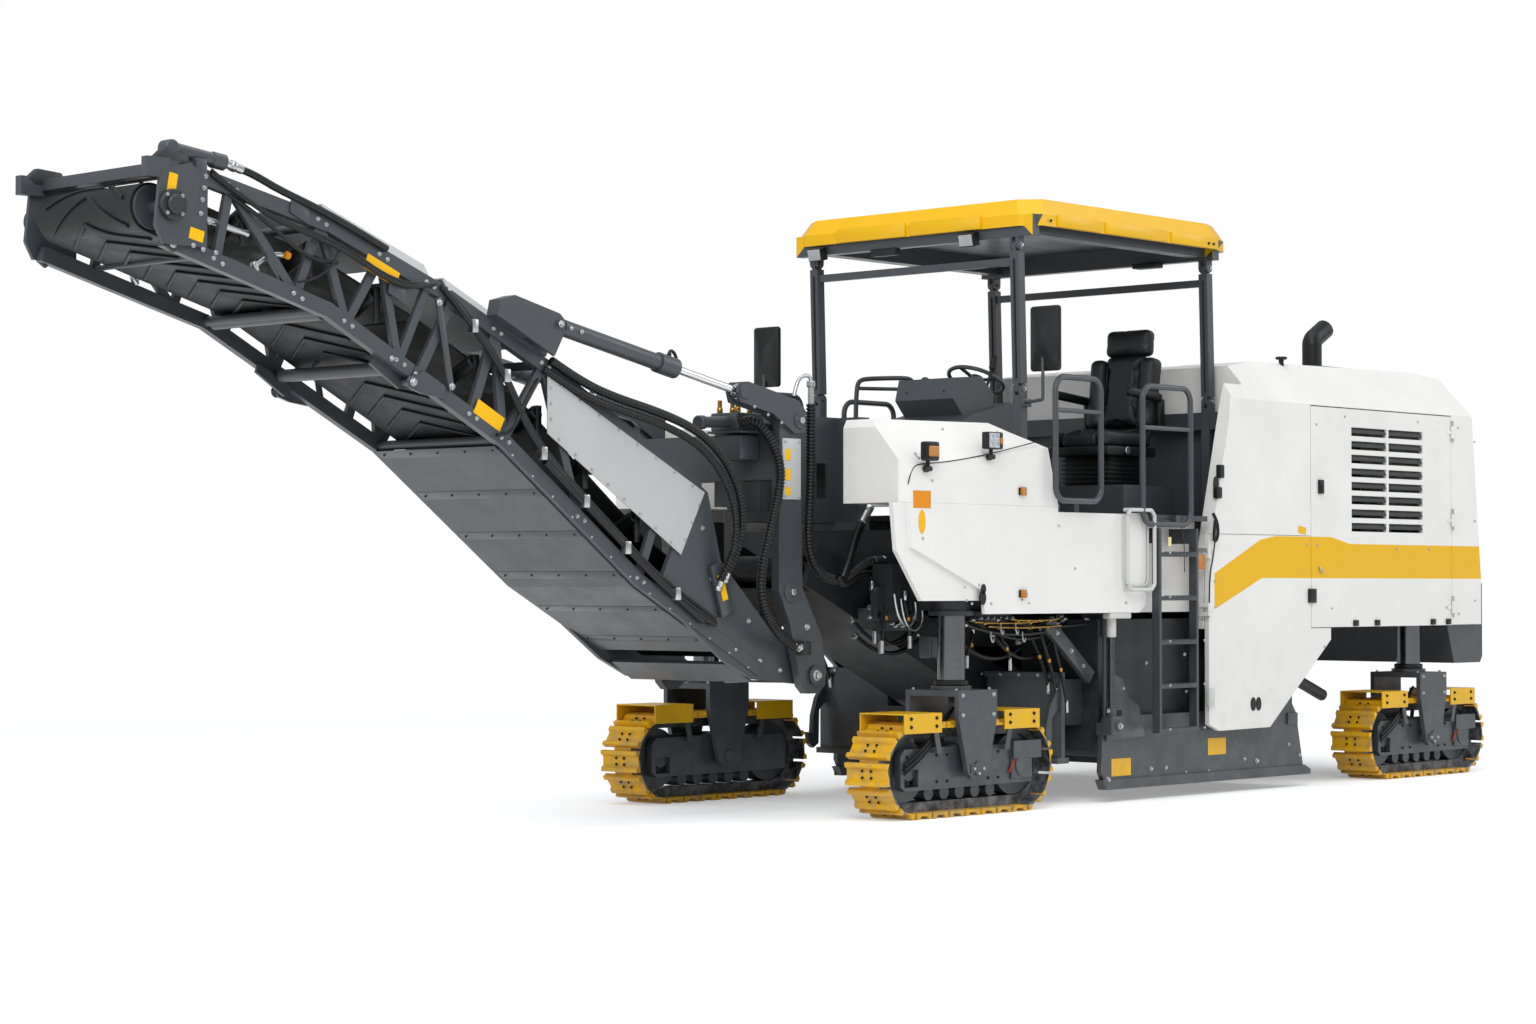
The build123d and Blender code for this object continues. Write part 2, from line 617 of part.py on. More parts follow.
def make_seat():
    """The driver's seat: base, cushion, back with its wings, head rest and arm rests."""
    x, y = SEAT_X, SEAT_Y
    base_z = PLATFORM_Z + 215 + FIT
    seat = block((x - 190, x + 170), (y - 190, y + 190), (base_z, 2300))
    seat += block((x - 290, x + 270), (y - 255, y + 255), (2299, 2350))
    seat += slab_y([(x - 300, 2349), (x + 280, 2349), (x + 315, 2400), (x + 295, 2468), (x - 180, 2455), (x - 300, 2480)],
                   y - 250, y + 250, 24)
    back = slab_y([(x - 310, 2440), (x - 150, 2440), (x - 200, 2700), (x - 260, 3010), (x - 370, 3010), (x - 385, 2700)],
                  y - 235, y + 235, 26)
    wing = slab_y([(x - 300, 2500), (x - 110, 2540), (x - 150, 2790), (x - 250, 2930), (x - 340, 2900)], y + 195, y + 262, 22)
    seat += back + wing + Pos(0, 2 * y, 0) * mirror(wing, about=Plane.XZ)
    seat += slab_y([(x - 400, 3030), (x - 285, 3030), (x - 305, 3205), (x - 400, 3205)], y - 150, y + 150, 30)
    for side in (-1, 1):
        seat += rod((x - 335, y + side * 70, 2990), (x - 345, y + side * 70, 3060), 9)
        arm = slab_y([(x - 290, 2650), (x + 120, 2690), (x + 135, 2735), (x + 100, 2750), (x - 290, 2740)],
                     *sorted((y + side * 258, y + side * 320)), 16)
        seat += arm
    return seat


def make_rails():
    """Hand rails beside the platform's gate, as bent tubes standing on its edge."""
    y = HALF_WIDTH + 45
    frames = []
    for back, front, low, high in RAIL_FRAMES:
        path = [(front, y, low), (front, y, high), (back, y, high), (back, y, low)]
        loop = FilletPolyline(*path, radius=90, close=True)
        start = Plane(origin=loop @ 0, z_dir=loop % 0)
        frame = sweep(start * Circle(19), path=loop)
        mid = (low + high) / 2 + 180
        frame += rod((back, y, mid), (front, y, mid), 15)
        for x in (back + 140, front - 140):
            if low < PLATFORM_Z:
                frame += block((x - 25, x + 25), (HALF_WIDTH + FIT, y), (low - 15, PLATFORM_Z))
            else:
                frame += block((x - 25, x + 25), (HALF_WIDTH - 60, y), (low - 15, low + 15))
                frame += block((x - 25, x + 25), (HALF_WIDTH - 60, HALF_WIDTH - 45), (PLATFORM_Z + FIT, low + 15))
        frames.append(frame)
    return frames


def make_ladder():
    """Two stiles with rungs, hung on the platform's edge."""
    low_y, high_y = HALF_WIDTH + 12, HALF_WIDTH + 72
    stiles = []
    for x in (-1835, -2257):
        stiles.append(block((x - 12, x + 12), (low_y, high_y), (443, 1790)))
        stiles.append(block((x - 12, x + 12), (HALF_WIDTH - 150 + FIT, low_y + 1), (1690, 1790)))
    ladder = fused(stiles)
    for i in range(5):
        z = 462 + i * 289
        ladder += block((-2257, -1835), (low_y, high_y), (z - 16, z + 12))
    return ladder


# ---------------------------------------------------------------- rear body
def hood_volume(inset):
    """Outer form of the rear body, or its inside when inset by the wall."""
    half = HALF_WIDTH - inset
    top = HOOD_TOP_Z - inset
    outline = [(HOOD_FRONT_X - inset, 1120 + inset * 0), (HOOD_FRONT_X - inset, 1584), (-2780 - inset, 2680), (-2860 - inset, 2905 - inset),
               (-3400, top), (HOOD_REAR_X + 514, top + 35), (HOOD_REAR_X + 154 + inset, top), (HOOD_REAR_X + 129 + inset, DOOR_TOP_Z), (HOOD_REAR_X + inset, 1465), (HOOD_REAR_X + inset, 1120)]
    shape = slab_y(outline, -half, half)
    for side in (-1, 1):
        chamfer = Plane(origin=(-3243, side * half, DOOR_TOP_Z), x_dir=(1, 0, 0), z_dir=(0, side * 0.74, 0.67))
        shape = split(shape, bisect_by=chamfer, keep=Keep.BOTTOM)
        facet = Plane(origin=(HOOD_FRONT_X - inset, side * half, 1900), z_dir=(0.30, side * 0.42, 0.12))
        shape = split(shape, bisect_by=facet, keep=Keep.BOTTOM)
    return shape


SIDE_DOOR = [(-2494, 474), (-2620, 430), (-3230, 436), (-4010, 1030), (-4010, 1112), (SEAM_X + 3, 1112), (SEAM_X + 3, 1760),
             (-2494, 1760)]


def door_cut(inset):
    """Openings of the two doors of the left side, for the hood's shell."""
    engine = block((ENGINE_HINGE_X - inset, SEAM_X + inset), (HALF_WIDTH - DOOR_THICKNESS - 1, HALF_WIDTH + 50), (1117 - 20, DOOR_TOP_Z - 8 + inset))
    return engine


def make_hood():
    """Engine hood: roof, front, rear and side frames round the door openings and the operator's bay."""
    thick = WALL + 15
    bay = block((BAY_REAR_X, HOOD_FRONT_X + 50), (-BAY_HALF, BAY_HALF), (1000, HOOD_TOP_Z + 100))
    shell = hood_volume(0) - bay
    void = hood_volume(thick) - block((BAY_REAR_X - thick, HOOD_FRONT_X + 50), (-HALF_WIDTH, HALF_WIDTH), (1000, HOOD_TOP_Z + 100))
    shell -= void
    shell -= block((HOOD_REAR_X + 60, BAY_REAR_X - 60), (-HALF_WIDTH + 60, HALF_WIDTH - 60), (1100, 1180))
    shell -= block((BAY_REAR_X - 61, BAY_REAR_X + 1), (-HALF_WIDTH + 60, HALF_WIDTH - 60), (1100, 1600))
    for piece in both(door_cut(3)):
        shell -= piece
    lower = block((SEAM_X - 3 - 300, HOOD_FRONT_X + 10), (HALF_WIDTH - DOOR_THICKNESS - 1, HALF_WIDTH + 50), (1000, 1763))
    for piece in both(lower):
        shell -= piece
    shell -= block((-4550, -3350), (-420, 420), (2940, 3100))
    shell += block((-4560, -3340), (-430, 430), (2936, 2944))
    for i in range(11):
        x = -4520 + i * 108
        shell += block((x, x + 40), (-421, 421), (2942, 2975))
    for fixed in side_hinges()[0] + engine_hinges()[0]:
        for piece in both(fixed):
            shell += piece
    return shell


def hinge(x, z, toward):
    """Fixed and moving halves of a door hinge on the left side; the door lies on the side that toward names."""
    y = HINGE_Y
    bore = rod((x, y, z - 50), (x, y, z + 50), HINGE_PIN + FIT)
    fixed = rod((x, y, z - 45), (x, y, z + 45), HINGE_PIN)
    for low in (z - 45, z + 16):
        fixed += rod((x, y, low), (x, y, low + 29), 12)
    moving = rod((x, y, z - 16 + FIT), (x, y, z + 16 - FIT), 12)
    moving += block(sorted((x, x + toward * 60)), (HALF_WIDTH - 1, HALF_WIDTH + 5), (z - 16 + FIT, z + 16 - FIT))
    return fixed, moving - bore


def side_hinges():
    """Hinges of the side door: brackets reach forward of the hood's ear to the axis."""
    halves = [hinge(SIDE_HINGE_X, z, -1) for z in (1250, 1640)]
    brackets = []
    for (fixed, _), z in zip(halves, (1250, 1640)):
        for low in (z - 45, z + 16):
            fixed += block((SIDE_HINGE_X - 8, SIDE_HINGE_X + 8), (BAY_HALF + 10, HINGE_Y), (low, low + 29))
            fixed += block((HOOD_FRONT_X - 90, SIDE_HINGE_X + 8), (BAY_HALF + 10, BAY_HALF + 45), (low, low + 29))
        brackets.append(fixed)
    return brackets, [moving for _, moving in halves]


def engine_hinges():
    """Hinges of the engine door on the hood's rear frame."""
    halves = [hinge(ENGINE_HINGE_X, z, 1) for z in (1250, 1900, 2560)]
    brackets = []
    for (fixed, _), z in zip(halves, (1250, 1900, 2560)):
        fixed += block((ENGINE_HINGE_X - 55, ENGINE_HINGE_X - 14), (HALF_WIDTH - 1, HALF_WIDTH + 6), (z - 45, z + 45))
        for low in (z - 45, z + 16):
            fixed += block((ENGINE_HINGE_X - 20, ENGINE_HINGE_X), (HALF_WIDTH, HALF_WIDTH + 12), (low, low + 29))
        brackets.append(fixed)
    return brackets, [moving for _, moving in halves]


def make_side_door():
    """Tall door over the drum's side plate."""
    return fused([slab_y(SIDE_DOOR, HALF_WIDTH - DOOR_THICKNESS + RUN, HALF_WIDTH)] + side_hinges()[1])


def make_engine_door():
    """Engine door with slatted air intakes."""
    y = HALF_WIDTH
    outline = [(ENGINE_HINGE_X, 1117), (SEAM_X - 3, 1117), (SEAM_X - 3, DOOR_TOP_Z - 12), (ENGINE_HINGE_X, DOOR_TOP_Z - 12)]
    door = slab_y(outline, y - DOOR_THICKNESS + RUN, y)
    front, back = -4290, -5270
    for i in range(8):
        z = 1800 + i * 98
        for x0, x1 in ((back, (front + back) / 2 - 14), ((front + back) / 2 + 14, front)):
            door -= block((x0, x1), (y - DOOR_THICKNESS, y + 1), (z, z + 62))
            slat = slab_x([(y - 28, z + 67), (y - 28, z + 52), (y - 6, z + 20), (y - 6, z + 36)], x0 - 1, x1 + 1)
            door += slat
    return fused([door] + engine_hinges()[1])


def make_engine_block():
    """The engine and its pumps as one plain block on the frame."""
    return block((-5300, -3500), (-700, 700), (BEAM_HIGH + FIT, 2500))


def make_tank():
    """Tank between the frame's beams, under the platform."""
    return block((-2400, -900), (-700, 700), (BEAM_HIGH + FIT, PLATFORM_Z - 35 - FIT))


def make_bumper():
    """Heavy rear bumper box with two lashing eyes under it."""
    outline = [(HOOD_REAR_X + 319, 830), (HOOD_REAR_X + 414, 1100), (HOOD_REAR_X + 414, 1120 - FIT), (HOOD_REAR_X - FIT, 1120 - FIT), (HOOD_REAR_X - FIT, 1430),
               (BUMPER_BACK, 1430), (BUMPER_BACK, 880), (BUMPER_BACK + 35, 830)]
    bumper = slab_y(outline, 50 - HALF_WIDTH, HALF_WIDTH - 50)
    for y in (-LASHING_Y, LASHING_Y):
        x, z = REAR_LASHING_X, REAR_LASHING_Z
        eye = slab_y([(x - 60, 831), (x - 60, 760), (x - 25, 718), (x + 25, 718), (x + 60, 760), (x + 60, 831)], y - 20, y + 20)
        bumper += eye - pin_y(x, z, y - 21, y + 21, LASHING_RADIUS)
    return bumper


def make_exhaust():
    """Exhaust pipe with a swept elbow."""
    seat = HOOD_TOP_Z + 35 + FIT
    x = HOOD_REAR_X + 614
    pipe = tube([(x, 150, seat), (x, 150, seat + 280 - FIT), (x - 180, 150, seat + 380 - FIT)], 70, 75)
    return pipe + rod((x, 150, seat), (x, 150, seat + 40), 98)


def make_mirror():
    """Left mirror: head on a bent stalk that is clamped on the front canopy stub."""
    x, y = -760, MIRROR_Y
    arm_x = x + 26
    low = CANOPY_BASE_Z - 90
    high = CANOPY_BASE_Z + 270
    head = block((x - 30, x), (y - 120, y + 120), (high - 180, high + 240))
    head += block((x - 50, x - 29), (y - 95, y + 95), (high - 150, high + 210))
    head += block((x - 1, x + 44), (y - 25, y + 25), (high - 5, high + 50))
    clamp_y = FRONT_POST_Y + POST_HALF + FIT
    stalk = tube([(arm_x, y, high), (arm_x, y, low), (FRONT_POST_X, clamp_y + 20, low)], 40, 11)
    clamp = block((FRONT_POST_X - 42, FRONT_POST_X + 42), (clamp_y, clamp_y + 30), (low - 26, low + 26))
    return head + stalk + clamp


def make_lamps():
    """Beacon, work lamp, markers and rear lamps of the left side, and their mirror images."""
    side = HALF_WIDTH + FIT
    pieces = []
    for x, z in MARKERS:
        pieces.append(block((x - 34, x + 34), (side, side + 22), (z - 26, z + 26)))
    for x, low, high, half in ((497, 2160, 2280, 60), (-113, 2250, 2360, 74)):
        seat = low - 45
        foot = rod((x, side, seat), (x, side + 22, seat), 22) + rod((x, side + 22, seat - 15), (x, side + 22, low + 2), 13)
        pieces.append(foot + block((x - half, x + half), (side + 4, side + 74), (low, high)))
    for z in (1180, 1330):
        pieces.append(rod((BUMPER_BACK - FIT, 1080, z), (BUMPER_BACK - 30, 1080, z), 45))
    return pieces + [mirror(piece, about=Plane.XZ) for piece in pieces]


# ---------------------------------------------------------------- canopy

def canopy_frame(x, y, lean):
    """Two posts on base pivots, tied across their tops."""
    rise = hypot(CANOPY_TOP_Z - CANOPY_BASE_Z, lean)
    way = degrees(atan2(lean, CANOPY_TOP_Z - CANOPY_BASE_Z))
    pieces = []
    for side in (-1, 1):
        post = block((-POST_HALF, POST_HALF), (-POST_HALF, POST_HALF), (36, rise - 36 - RUN))
        post += block((-POST_HALF, POST_HALF), (-14, 14), (0, rise))
        for z in (0, rise):
            post += rod((0, -14, z), (0, 14, z), POST_HALF)
            post -= rod((0, -20, z), (0, 20, z), 12 + FIT)
        pieces.append(Pos(x, side * y, CANOPY_BASE_Z) * Rot(0, way, 0) * post)
    tie = Pos(x, 0, CANOPY_BASE_Z) * Rot(0, way, 0) * block((-20, 20), (-y, y), (rise - 130, rise - 80))
    return fused(pieces + [tie])


def make_canopy_stubs():
    """Short posts on the platform with forks for the canopy's base pivots."""
    pieces = []
    for x, y in ((FRONT_POST_X, FRONT_POST_Y), (REAR_POST_X, REAR_POST_Y)):
        for side in (-1, 1):
            stub = block((-POST_HALF, POST_HALF), (-POST_HALF, POST_HALF), (PLATFORM_Z + FIT, CANOPY_BASE_Z - POST_HALF - RUN))
            stub += block((-60, 60), (-60, 60), (PLATFORM_Z + FIT, PLATFORM_Z + 14))
            for low in (-POST_HALF, 14 + FIT):
                ear = block((-POST_HALF, POST_HALF), (low, low + POST_HALF - 14 - FIT), (CANOPY_BASE_Z - POST_HALF - RUN - 1, CANOPY_BASE_Z))
                ear += rod((0, low, CANOPY_BASE_Z), (0, low + POST_HALF - 14 - FIT, CANOPY_BASE_Z), POST_HALF)
                stub += ear
            stub += rod((0, -POST_HALF - 10, CANOPY_BASE_Z), (0, POST_HALF + 10, CANOPY_BASE_Z), 12)
            pieces.append(Pos(x, side * y, 0) * stub)
    return Compound(children=pieces)


def make_canopy_roof():
    """Faceted roof panel on two side beams whose lugs take the posts' top pivots."""
    low, mid, high = 3725, 3800, 3905
    plan = [(-842, 918), (-935, 1050), (-2900, 1050), (-3080, 980)]
    outline = plan + [(x, -y) for x, y in reversed(plan)]
    skirt = slab_z(outline, low, mid)
    upper_plan = [(x + (-60 if x > -2000 else 60), y - 50) for x, y in plan]
    upper = upper_plan + [(x, -y) for x, y in reversed(upper_plan)]
    skin = loft([make_face(Polyline(*[(x, y, mid) for x, y in outline], close=True)),
                 make_face(Polyline(*[(x, y, high) for x, y in upper], close=True))], ruled=True)
    roof = skirt + skin
    inner = [(x + (-30 if x > -2000 else 30), y - 30) for x, y in plan]
    inner += [(x, -y) for x, y in reversed(inner)]
    roof -= slab_z(inner, low - 1, mid - 10)
    top = CANOPY_TOP_Z
    for x, y, lean in CANOPY_POSTS:
        for side in (-1, 1):
            for low_y in (-POST_HALF, 14 + FIT):
                ear = block((-POST_HALF, POST_HALF), (low_y, low_y + POST_HALF - 14 - FIT), (top, 3700))
                ear += rod((0, low_y, top), (0, low_y + POST_HALF - 14 - FIT, top), POST_HALF)
                roof += Pos(x + lean, side * y, 0) * ear
            if lean == FRONT_LEAN:
                roof += Pos(x + lean, side * y, 0) * rod((0, -POST_HALF - 10, top), (0, POST_HALF + 10, top), 12)
        roof += block((x + lean - 35, x + lean + 35), (-1020, 1020), (3660, mid))
    for piece in both(block((-2990, -900), (840, 950), (3680, mid))):
        roof += piece
    return roof



# ---------------------------------------------------------------- mast
def make_mast():
    """Fork that carries the discharge conveyor: two cranked arms, cross beam and upright hub."""
    inner, outer = ARM_INNER, ARM_INNER + ARM_THICKNESS
    arm = [(930, 2500), (1110, 2500), (1118, 1380), (1020, 1180), (910, 800), (860, 755), (770, 755), (700, 800),
           (690, 900), (735, 1110), (905, 1400)]
    link = [(905, 2340), (1000, 2330), (1190, 2442), (1480, 2500), (1500, 2560), (1470, 2620), (1410, 2625), (960, 2530), (900, 2470)]
    plate = LINK_PLATE
    pieces = both(slab_y(arm, inner, outer))
    pieces += both(slab_y(link, outer - 0.5, outer + plate))
    pieces += both(slab_y(link, inner - plate, inner + 0.5))
    pieces.append(block((925, 1105), (-inner - 1, inner + 1), (2050, 2330)))
    pieces.append(block((SLEW_X, 930), (-90, 90), (HUB_LOW + 30, HUB_HIGH - 30)))
    pieces.append(rod((SLEW_X, 0, HUB_LOW), (SLEW_X, 0, HUB_HIGH), 110))
    pieces.append(rod((SLEW_X, 0, HUB_LOW - HUB_LUG), (SLEW_X, 0, HUB_HIGH + HUB_LUG), HUB_PIN))
    pieces += both(pin_y(FOOT_X, FOOT_Z, CHORD_INNER + 8, outer + 16, FOOT_PIN))
    return fused(pieces)


# ---------------------------------------------------------------- discharge conveyor
LOWER = [(1205, 905), (2225, 1443), (3281, 2214), (3947, 2555.5)]
UPPER = [(1726, 1973), (2979, 2644), (3690, 2978)]
FRONT_LOWER = [(3953, 2558.5), (4522, 2851), (5576, 3141)]
FRONT_UPPER = [(3712, 2990), (4524, 3297), (5363, 3477)]
FOLD_X = 3980
FOLD_Z = 2498
FOLD_PIN = 18
CHORD_INNER = FRAME_HALF - CHORD_WIDTH
HALF_DEPTH = CHORD_DEPTH / 2
SKIN_HALF = CHORD_INNER + 8 - FIT
BELT_LOW = 40.4                # underside of the belt's return run above the lower chord's line
TAIL_X = 1228
TAIL_Z = 1092
TAIL_RADIUS = 100


def touch(x, z, radius, far, turn):
    """Where a line from the far point touches the circle round (x, z), on the side that turn names."""
    away = hypot(far[0] - x, far[1] - z)
    angle = atan2(far[1] - z, far[0] - x) + turn * acos(radius / away)
    return x + radius * cos(angle), z + radius * sin(angle)


def chords(points):
    return both(slab_y(strip(points, -HALF_DEPTH, HALF_DEPTH), CHORD_INNER, FRAME_HALF))


def lattice(pairs, width):
    """Posts and diagonals between the chords, on both sides."""
    pieces = []
    for low, high in pairs:
        pieces += both(slab_y(strip([low, high], -width, width), CHORD_INNER + 10, FRAME_HALF - 10))
    return pieces


def make_rear_frame():
    """Rear truss of the conveyor with its cheeks at the foot and the fold's outer ears."""
    pieces = chords(LOWER) + chords(UPPER)
    foot = [(735, 800), (1260, 850), (1500, 960), (2080, 1360), (1980, 1560), (1726, 2010), (1650, 1960), (1540, 1560),
            (1100, 1140), (735, 935)]
    pieces += both(slab_y(foot, CHORD_INNER + 8, FRAME_HALF - 8))
    pieces += lattice([((2225, 1443), (1960, 2098)), ((3281, 2214), (2979, 2644)), ((2700, 1790), (2979, 2644)),
                       ((3520, 2336), (3340, 2813)), ((3281, 2214), (3340, 2813)), ((3905, 2534), (3655, 2960))], 28)
    for x, z, r in ((2225, 1443, 28), (3281, 2214, 28), (2979, 2644, 26), (1960, 2098, 26)):
        pieces.append(pin_y(x, z, -CHORD_INNER - 1, CHORD_INNER + 1, r))
    frame = fused(pieces)
    frame -= pin_y(FOOT_X, FOOT_Z, -700, 700, FOOT_PIN + FIT)
    ear = slab_y([(3740, 2420), (3900, 2440), (3980, 2465), (4013, 2498), (3980, 2531), (3880, 2560), (3740, 2490)], FRAME_HALF + 2, FRAME_HALF + 22)
    ear += slab_y([(3745, 2425), (3890, 2500), (3860, 2545), (3745, 2485)], FRAME_HALF - 1, FRAME_HALF + 3)
    for piece in both(ear):
        frame += piece
    frame -= pin_y(FOLD_X, FOLD_Z, -700, 700, FOLD_PIN + FIT)
    return frame


def make_rear_skins():
    """Side sheets, belly plates and the pan below the foot."""
    sheet = slab_y([(2964, 2590), (1690, 1960), (1890, 1590), (2964, 2262)], FRAME_HALF + FIT, FRAME_HALF + 5)
    belly = slab_y(strip([(1500, 1060.6), (2225, 1443), (3262, 2200)], -HALF_DEPTH - FIT - 8, -HALF_DEPTH - FIT), -SKIN_HALF, SKIN_HALF)
    pan = slab_y([(690, 812), (1240, 830), (1430, 940), (1414, 958), (1232, 842), (690, 822)], -SKIN_HALF, SKIN_HALF)
    return both(sheet), belly, pan


def cover_along(start, end, base, rise):
    """A sheet roof with sloping sides over the belt, from start to end on the upper chord."""
    length = hypot(end[0] - start[0], end[1] - start[1])
    angle = degrees(atan2(end[1] - start[1], end[0] - start[0]))
    profile = [(-base, 0), (-base + 110, rise), (base - 110, rise), (base, 0), (base - 12, 0), (base - 116, rise - 8),
               (-base + 116, rise - 8), (-base + 12, 0)]
    cover = slab_x(profile, 0, length)
    return Pos(start[0], 0, start[1]) * Rot(0, -angle, 0) * Pos(0, 0, HALF_DEPTH + FIT) * cover


def make_rear_belt():
    """Rear stretch of the belt round the tail drum."""
    lower = slab_y(strip([(1301, 955.6), (2225, 1443), (3281, 2214), (3945, 2554.5)], BELT_LOW, BELT_LOW + BELT_THICKNESS), -BELT_HALF, BELT_HALF)
    upper = slab_y(strip([touch(TAIL_X, TAIL_Z, TAIL_RADIUS + FIT, (2066, 1697), 1), (2066, 1697), (3108, 2495), (3793, 2846)], 0, BELT_THICKNESS), -BELT_HALF, BELT_HALF)
    wrap = pin_y(TAIL_X, TAIL_Z, -BELT_HALF, BELT_HALF, TAIL_RADIUS + BELT_THICKNESS)
    wrap -= pin_y(TAIL_X, TAIL_Z, -BELT_HALF - 1, BELT_HALF + 1, TAIL_RADIUS + FIT)
    return fused([wrap, lower, upper])


def make_tail_drum():
    """Tail drum and its shaft in the foot cheeks."""
    drum = pin_y(TAIL_X, TAIL_Z, -BELT_HALF - 20, BELT_HALF + 20, TAIL_RADIUS)
    drum += pin_y(TAIL_X, TAIL_Z, -CHORD_INNER - 8 + FIT, CHORD_INNER + 8 - FIT, 30)
    return drum


def make_clevises():
    """Brackets on the upper chords that hold the luffing cylinders' barrels."""
    plate = [(2990, 2690), (3420, 2892), (3400, 2980), (3290, 3010), (2950, 2930), (2905, 2890), (2910, 2830)]
    pieces = slab_y(plate, LUFF_Y - 46, LUFF_Y - 26) + slab_y(plate, LUFF_Y + 26, LUFF_Y + 46)
    pieces += slab_y([(3180, 2781), (3420, 2892), (3400, 2980), (3290, 3010), (3180, 2985)], LUFF_Y - 30, LUFF_Y + 30)
    pieces += pin_y(LUFF_CLEVIS_X, LUFF_CLEVIS_Z, LUFF_Y - 54, LUFF_Y + 54, LUFF_PIN)
    return both(pieces)


LUFF_AIM = degrees(atan2(LUFF_EYE_Z - LUFF_CLEVIS_Z, LUFF_EYE_X - LUFF_CLEVIS_X))
LUFF_REST = hypot(LUFF_EYE_X - LUFF_CLEVIS_X, LUFF_EYE_Z - LUFF_CLEVIS_Z)


def luff_place(side):
    """From a cylinder drawn along X to its place between clevis and mast."""
    return Pos(LUFF_CLEVIS_X, side * LUFF_Y, LUFF_CLEVIS_Z) * Rot(0, -LUFF_AIM, 0)


def make_luff_barrels():
    """Barrels of the two luffing cylinders with their eyes."""
    pieces = []
    for side in (-1, 1):
        barrel = rod((60, 0, 0), (LUFF_BARREL, 0, 0), 48)
        barrel += rod((LUFF_BARREL - 150, 0, 0), (LUFF_BARREL, 0, 0), 60)
        barrel += pin_y(0, 0, -21, 21, 58)
        barrel += block((0, 70), (-21, 21), (-40, 40))
        barrel -= rod((LUFF_BARREL - 720, 0, 0), (LUFF_BARREL + 1, 0, 0), LUFF_ROD + FIT)
        barrel -= pin_y(0, 0, -30, 30, LUFF_PIN + FIT)
        pieces.append(luff_place(side) * barrel)
    return Compound(children=pieces)


def make_luff_rods():
    """Rods of the two luffing cylinders with the eyes that meet the mast's head plates."""
    pieces = []
    for side in (-1, 1):
        bar = rod((LUFF_BARREL - 620, 0, 0), (LUFF_REST - 40, 0, 0), LUFF_ROD)
        bar += pin_y(LUFF_REST, 0, -21, 21, 50)
        bar -= pin_y(LUFF_REST, 0, -30, 30, LUFF_PIN + FIT)
        pieces.append(luff_place(side) * bar)
    return Compound(children=pieces)


def make_front_frame():
    """Folding front truss with the fold's inner ears."""
    pieces = chords(FRONT_LOWER) + chords(FRONT_UPPER)
    pieces += lattice([((4040, 2603), (3830, 3035)), ((4400, 2788), (4160, 3159)), ((4735, 2910), (4577, 3309)),
                       ((5249, 3051), (5163, 3434)), ((4040, 2603), (4160, 3159)), ((4400, 2788), (4577, 3309)), ((4735, 2910), (5163, 3434))], 24)
    for x, z, r in ((4522, 2851, 28), (4524, 3297, 24), (3850, 3042, 24)):
        pieces.append(pin_y(x, z, -CHORD_INNER - 1, CHORD_INNER + 1, r))
    frame = fused(pieces)
    inner = CHORD_INNER
    ear = slab_y([(4180, 2640), (3985, 2545), (3950, 2510), (3960, 2470), (4000, 2465), (4200, 2590)], inner - 24, inner - 4)
    ear += slab_y([(4180, 2640), (4040, 2573), (4050, 2540), (4190, 2600)], inner - 5, inner + 1)
    pin = pin_y(FOLD_X, FOLD_Z, inner - 24, FRAME_HALF + 34, FOLD_PIN)
    for piece in both(ear + pin):
        frame += piece
    return frame


def make_front_belt():
    """Front stretch of the belt round the discharge drum."""
    lower = slab_y(strip([(3955, 2559.5), (4522, 2851), (5588, 3144.3)], BELT_LOW, BELT_LOW + BELT_THICKNESS), -BELT_HALF, BELT_HALF)
    upper = slab_y(strip([(3803, 2851), (4480, 3130), touch(HEAD_X, HEAD_Z, HEAD_RADIUS + FIT, (4480, 3130), -1)], 0, BELT_THICKNESS), -BELT_HALF, BELT_HALF)
    wrap = pin_y(HEAD_X, HEAD_Z, -BELT_HALF, BELT_HALF, HEAD_RADIUS + BELT_THICKNESS)
    wrap -= pin_y(HEAD_X, HEAD_Z, -BELT_HALF - 1, BELT_HALF + 1, HEAD_RADIUS + FIT)
    return fused([wrap, lower, upper])


def make_head():
    """Discharge drum on its shaft, bearing plates and the cross beam over the head."""
    low = FRAME_HALF + FIT
    plate = slab_y([(5335, 3110), (5600, 3110), (5650, 3200), (5620, 3480), (5440, 3530), (5330, 3460)], low, low + 22)
    pieces = both(plate)
    pieces.append(pin_y(HEAD_X, HEAD_Z, -BELT_HALF - 20, BELT_HALF + 20, HEAD_RADIUS))
    pieces.append(pin_y(HEAD_X, HEAD_Z, -low - 50, low + 50, 32))
    pieces.append(block((5500, 5570), (-low - 10, low + 10), (3470, 3530)))
    for side in (-1, 1):
        pieces.append(block((5560, 5700), sorted((side * (low - 30), side * (low + 20))), (3440, 3540)))
    return fused(pieces)


# ---------------------------------------------------------------- writing the pieces
CANOPY_POSTS = ((FRONT_POST_X, FRONT_POST_Y, FRONT_LEAN), (REAR_POST_X, REAR_POST_Y, REAR_LEAN))


def save_pair(name, left_shape):
    """Writes the left piece and its mirror image."""
    for side in SIDES:
        save(f"{name}_{side}", on_side(left_shape, side))


def group(*pieces):
    """Many solids as one piece."""
    solids = []
    for piece in pieces:
        for item in (piece if isinstance(piece, list) else [piece]):
            solids += item.solids()
    return Compound(children=solids)


def both_sides(left_shape):
    return [on_side(left_shape, side) for side in SIDES]


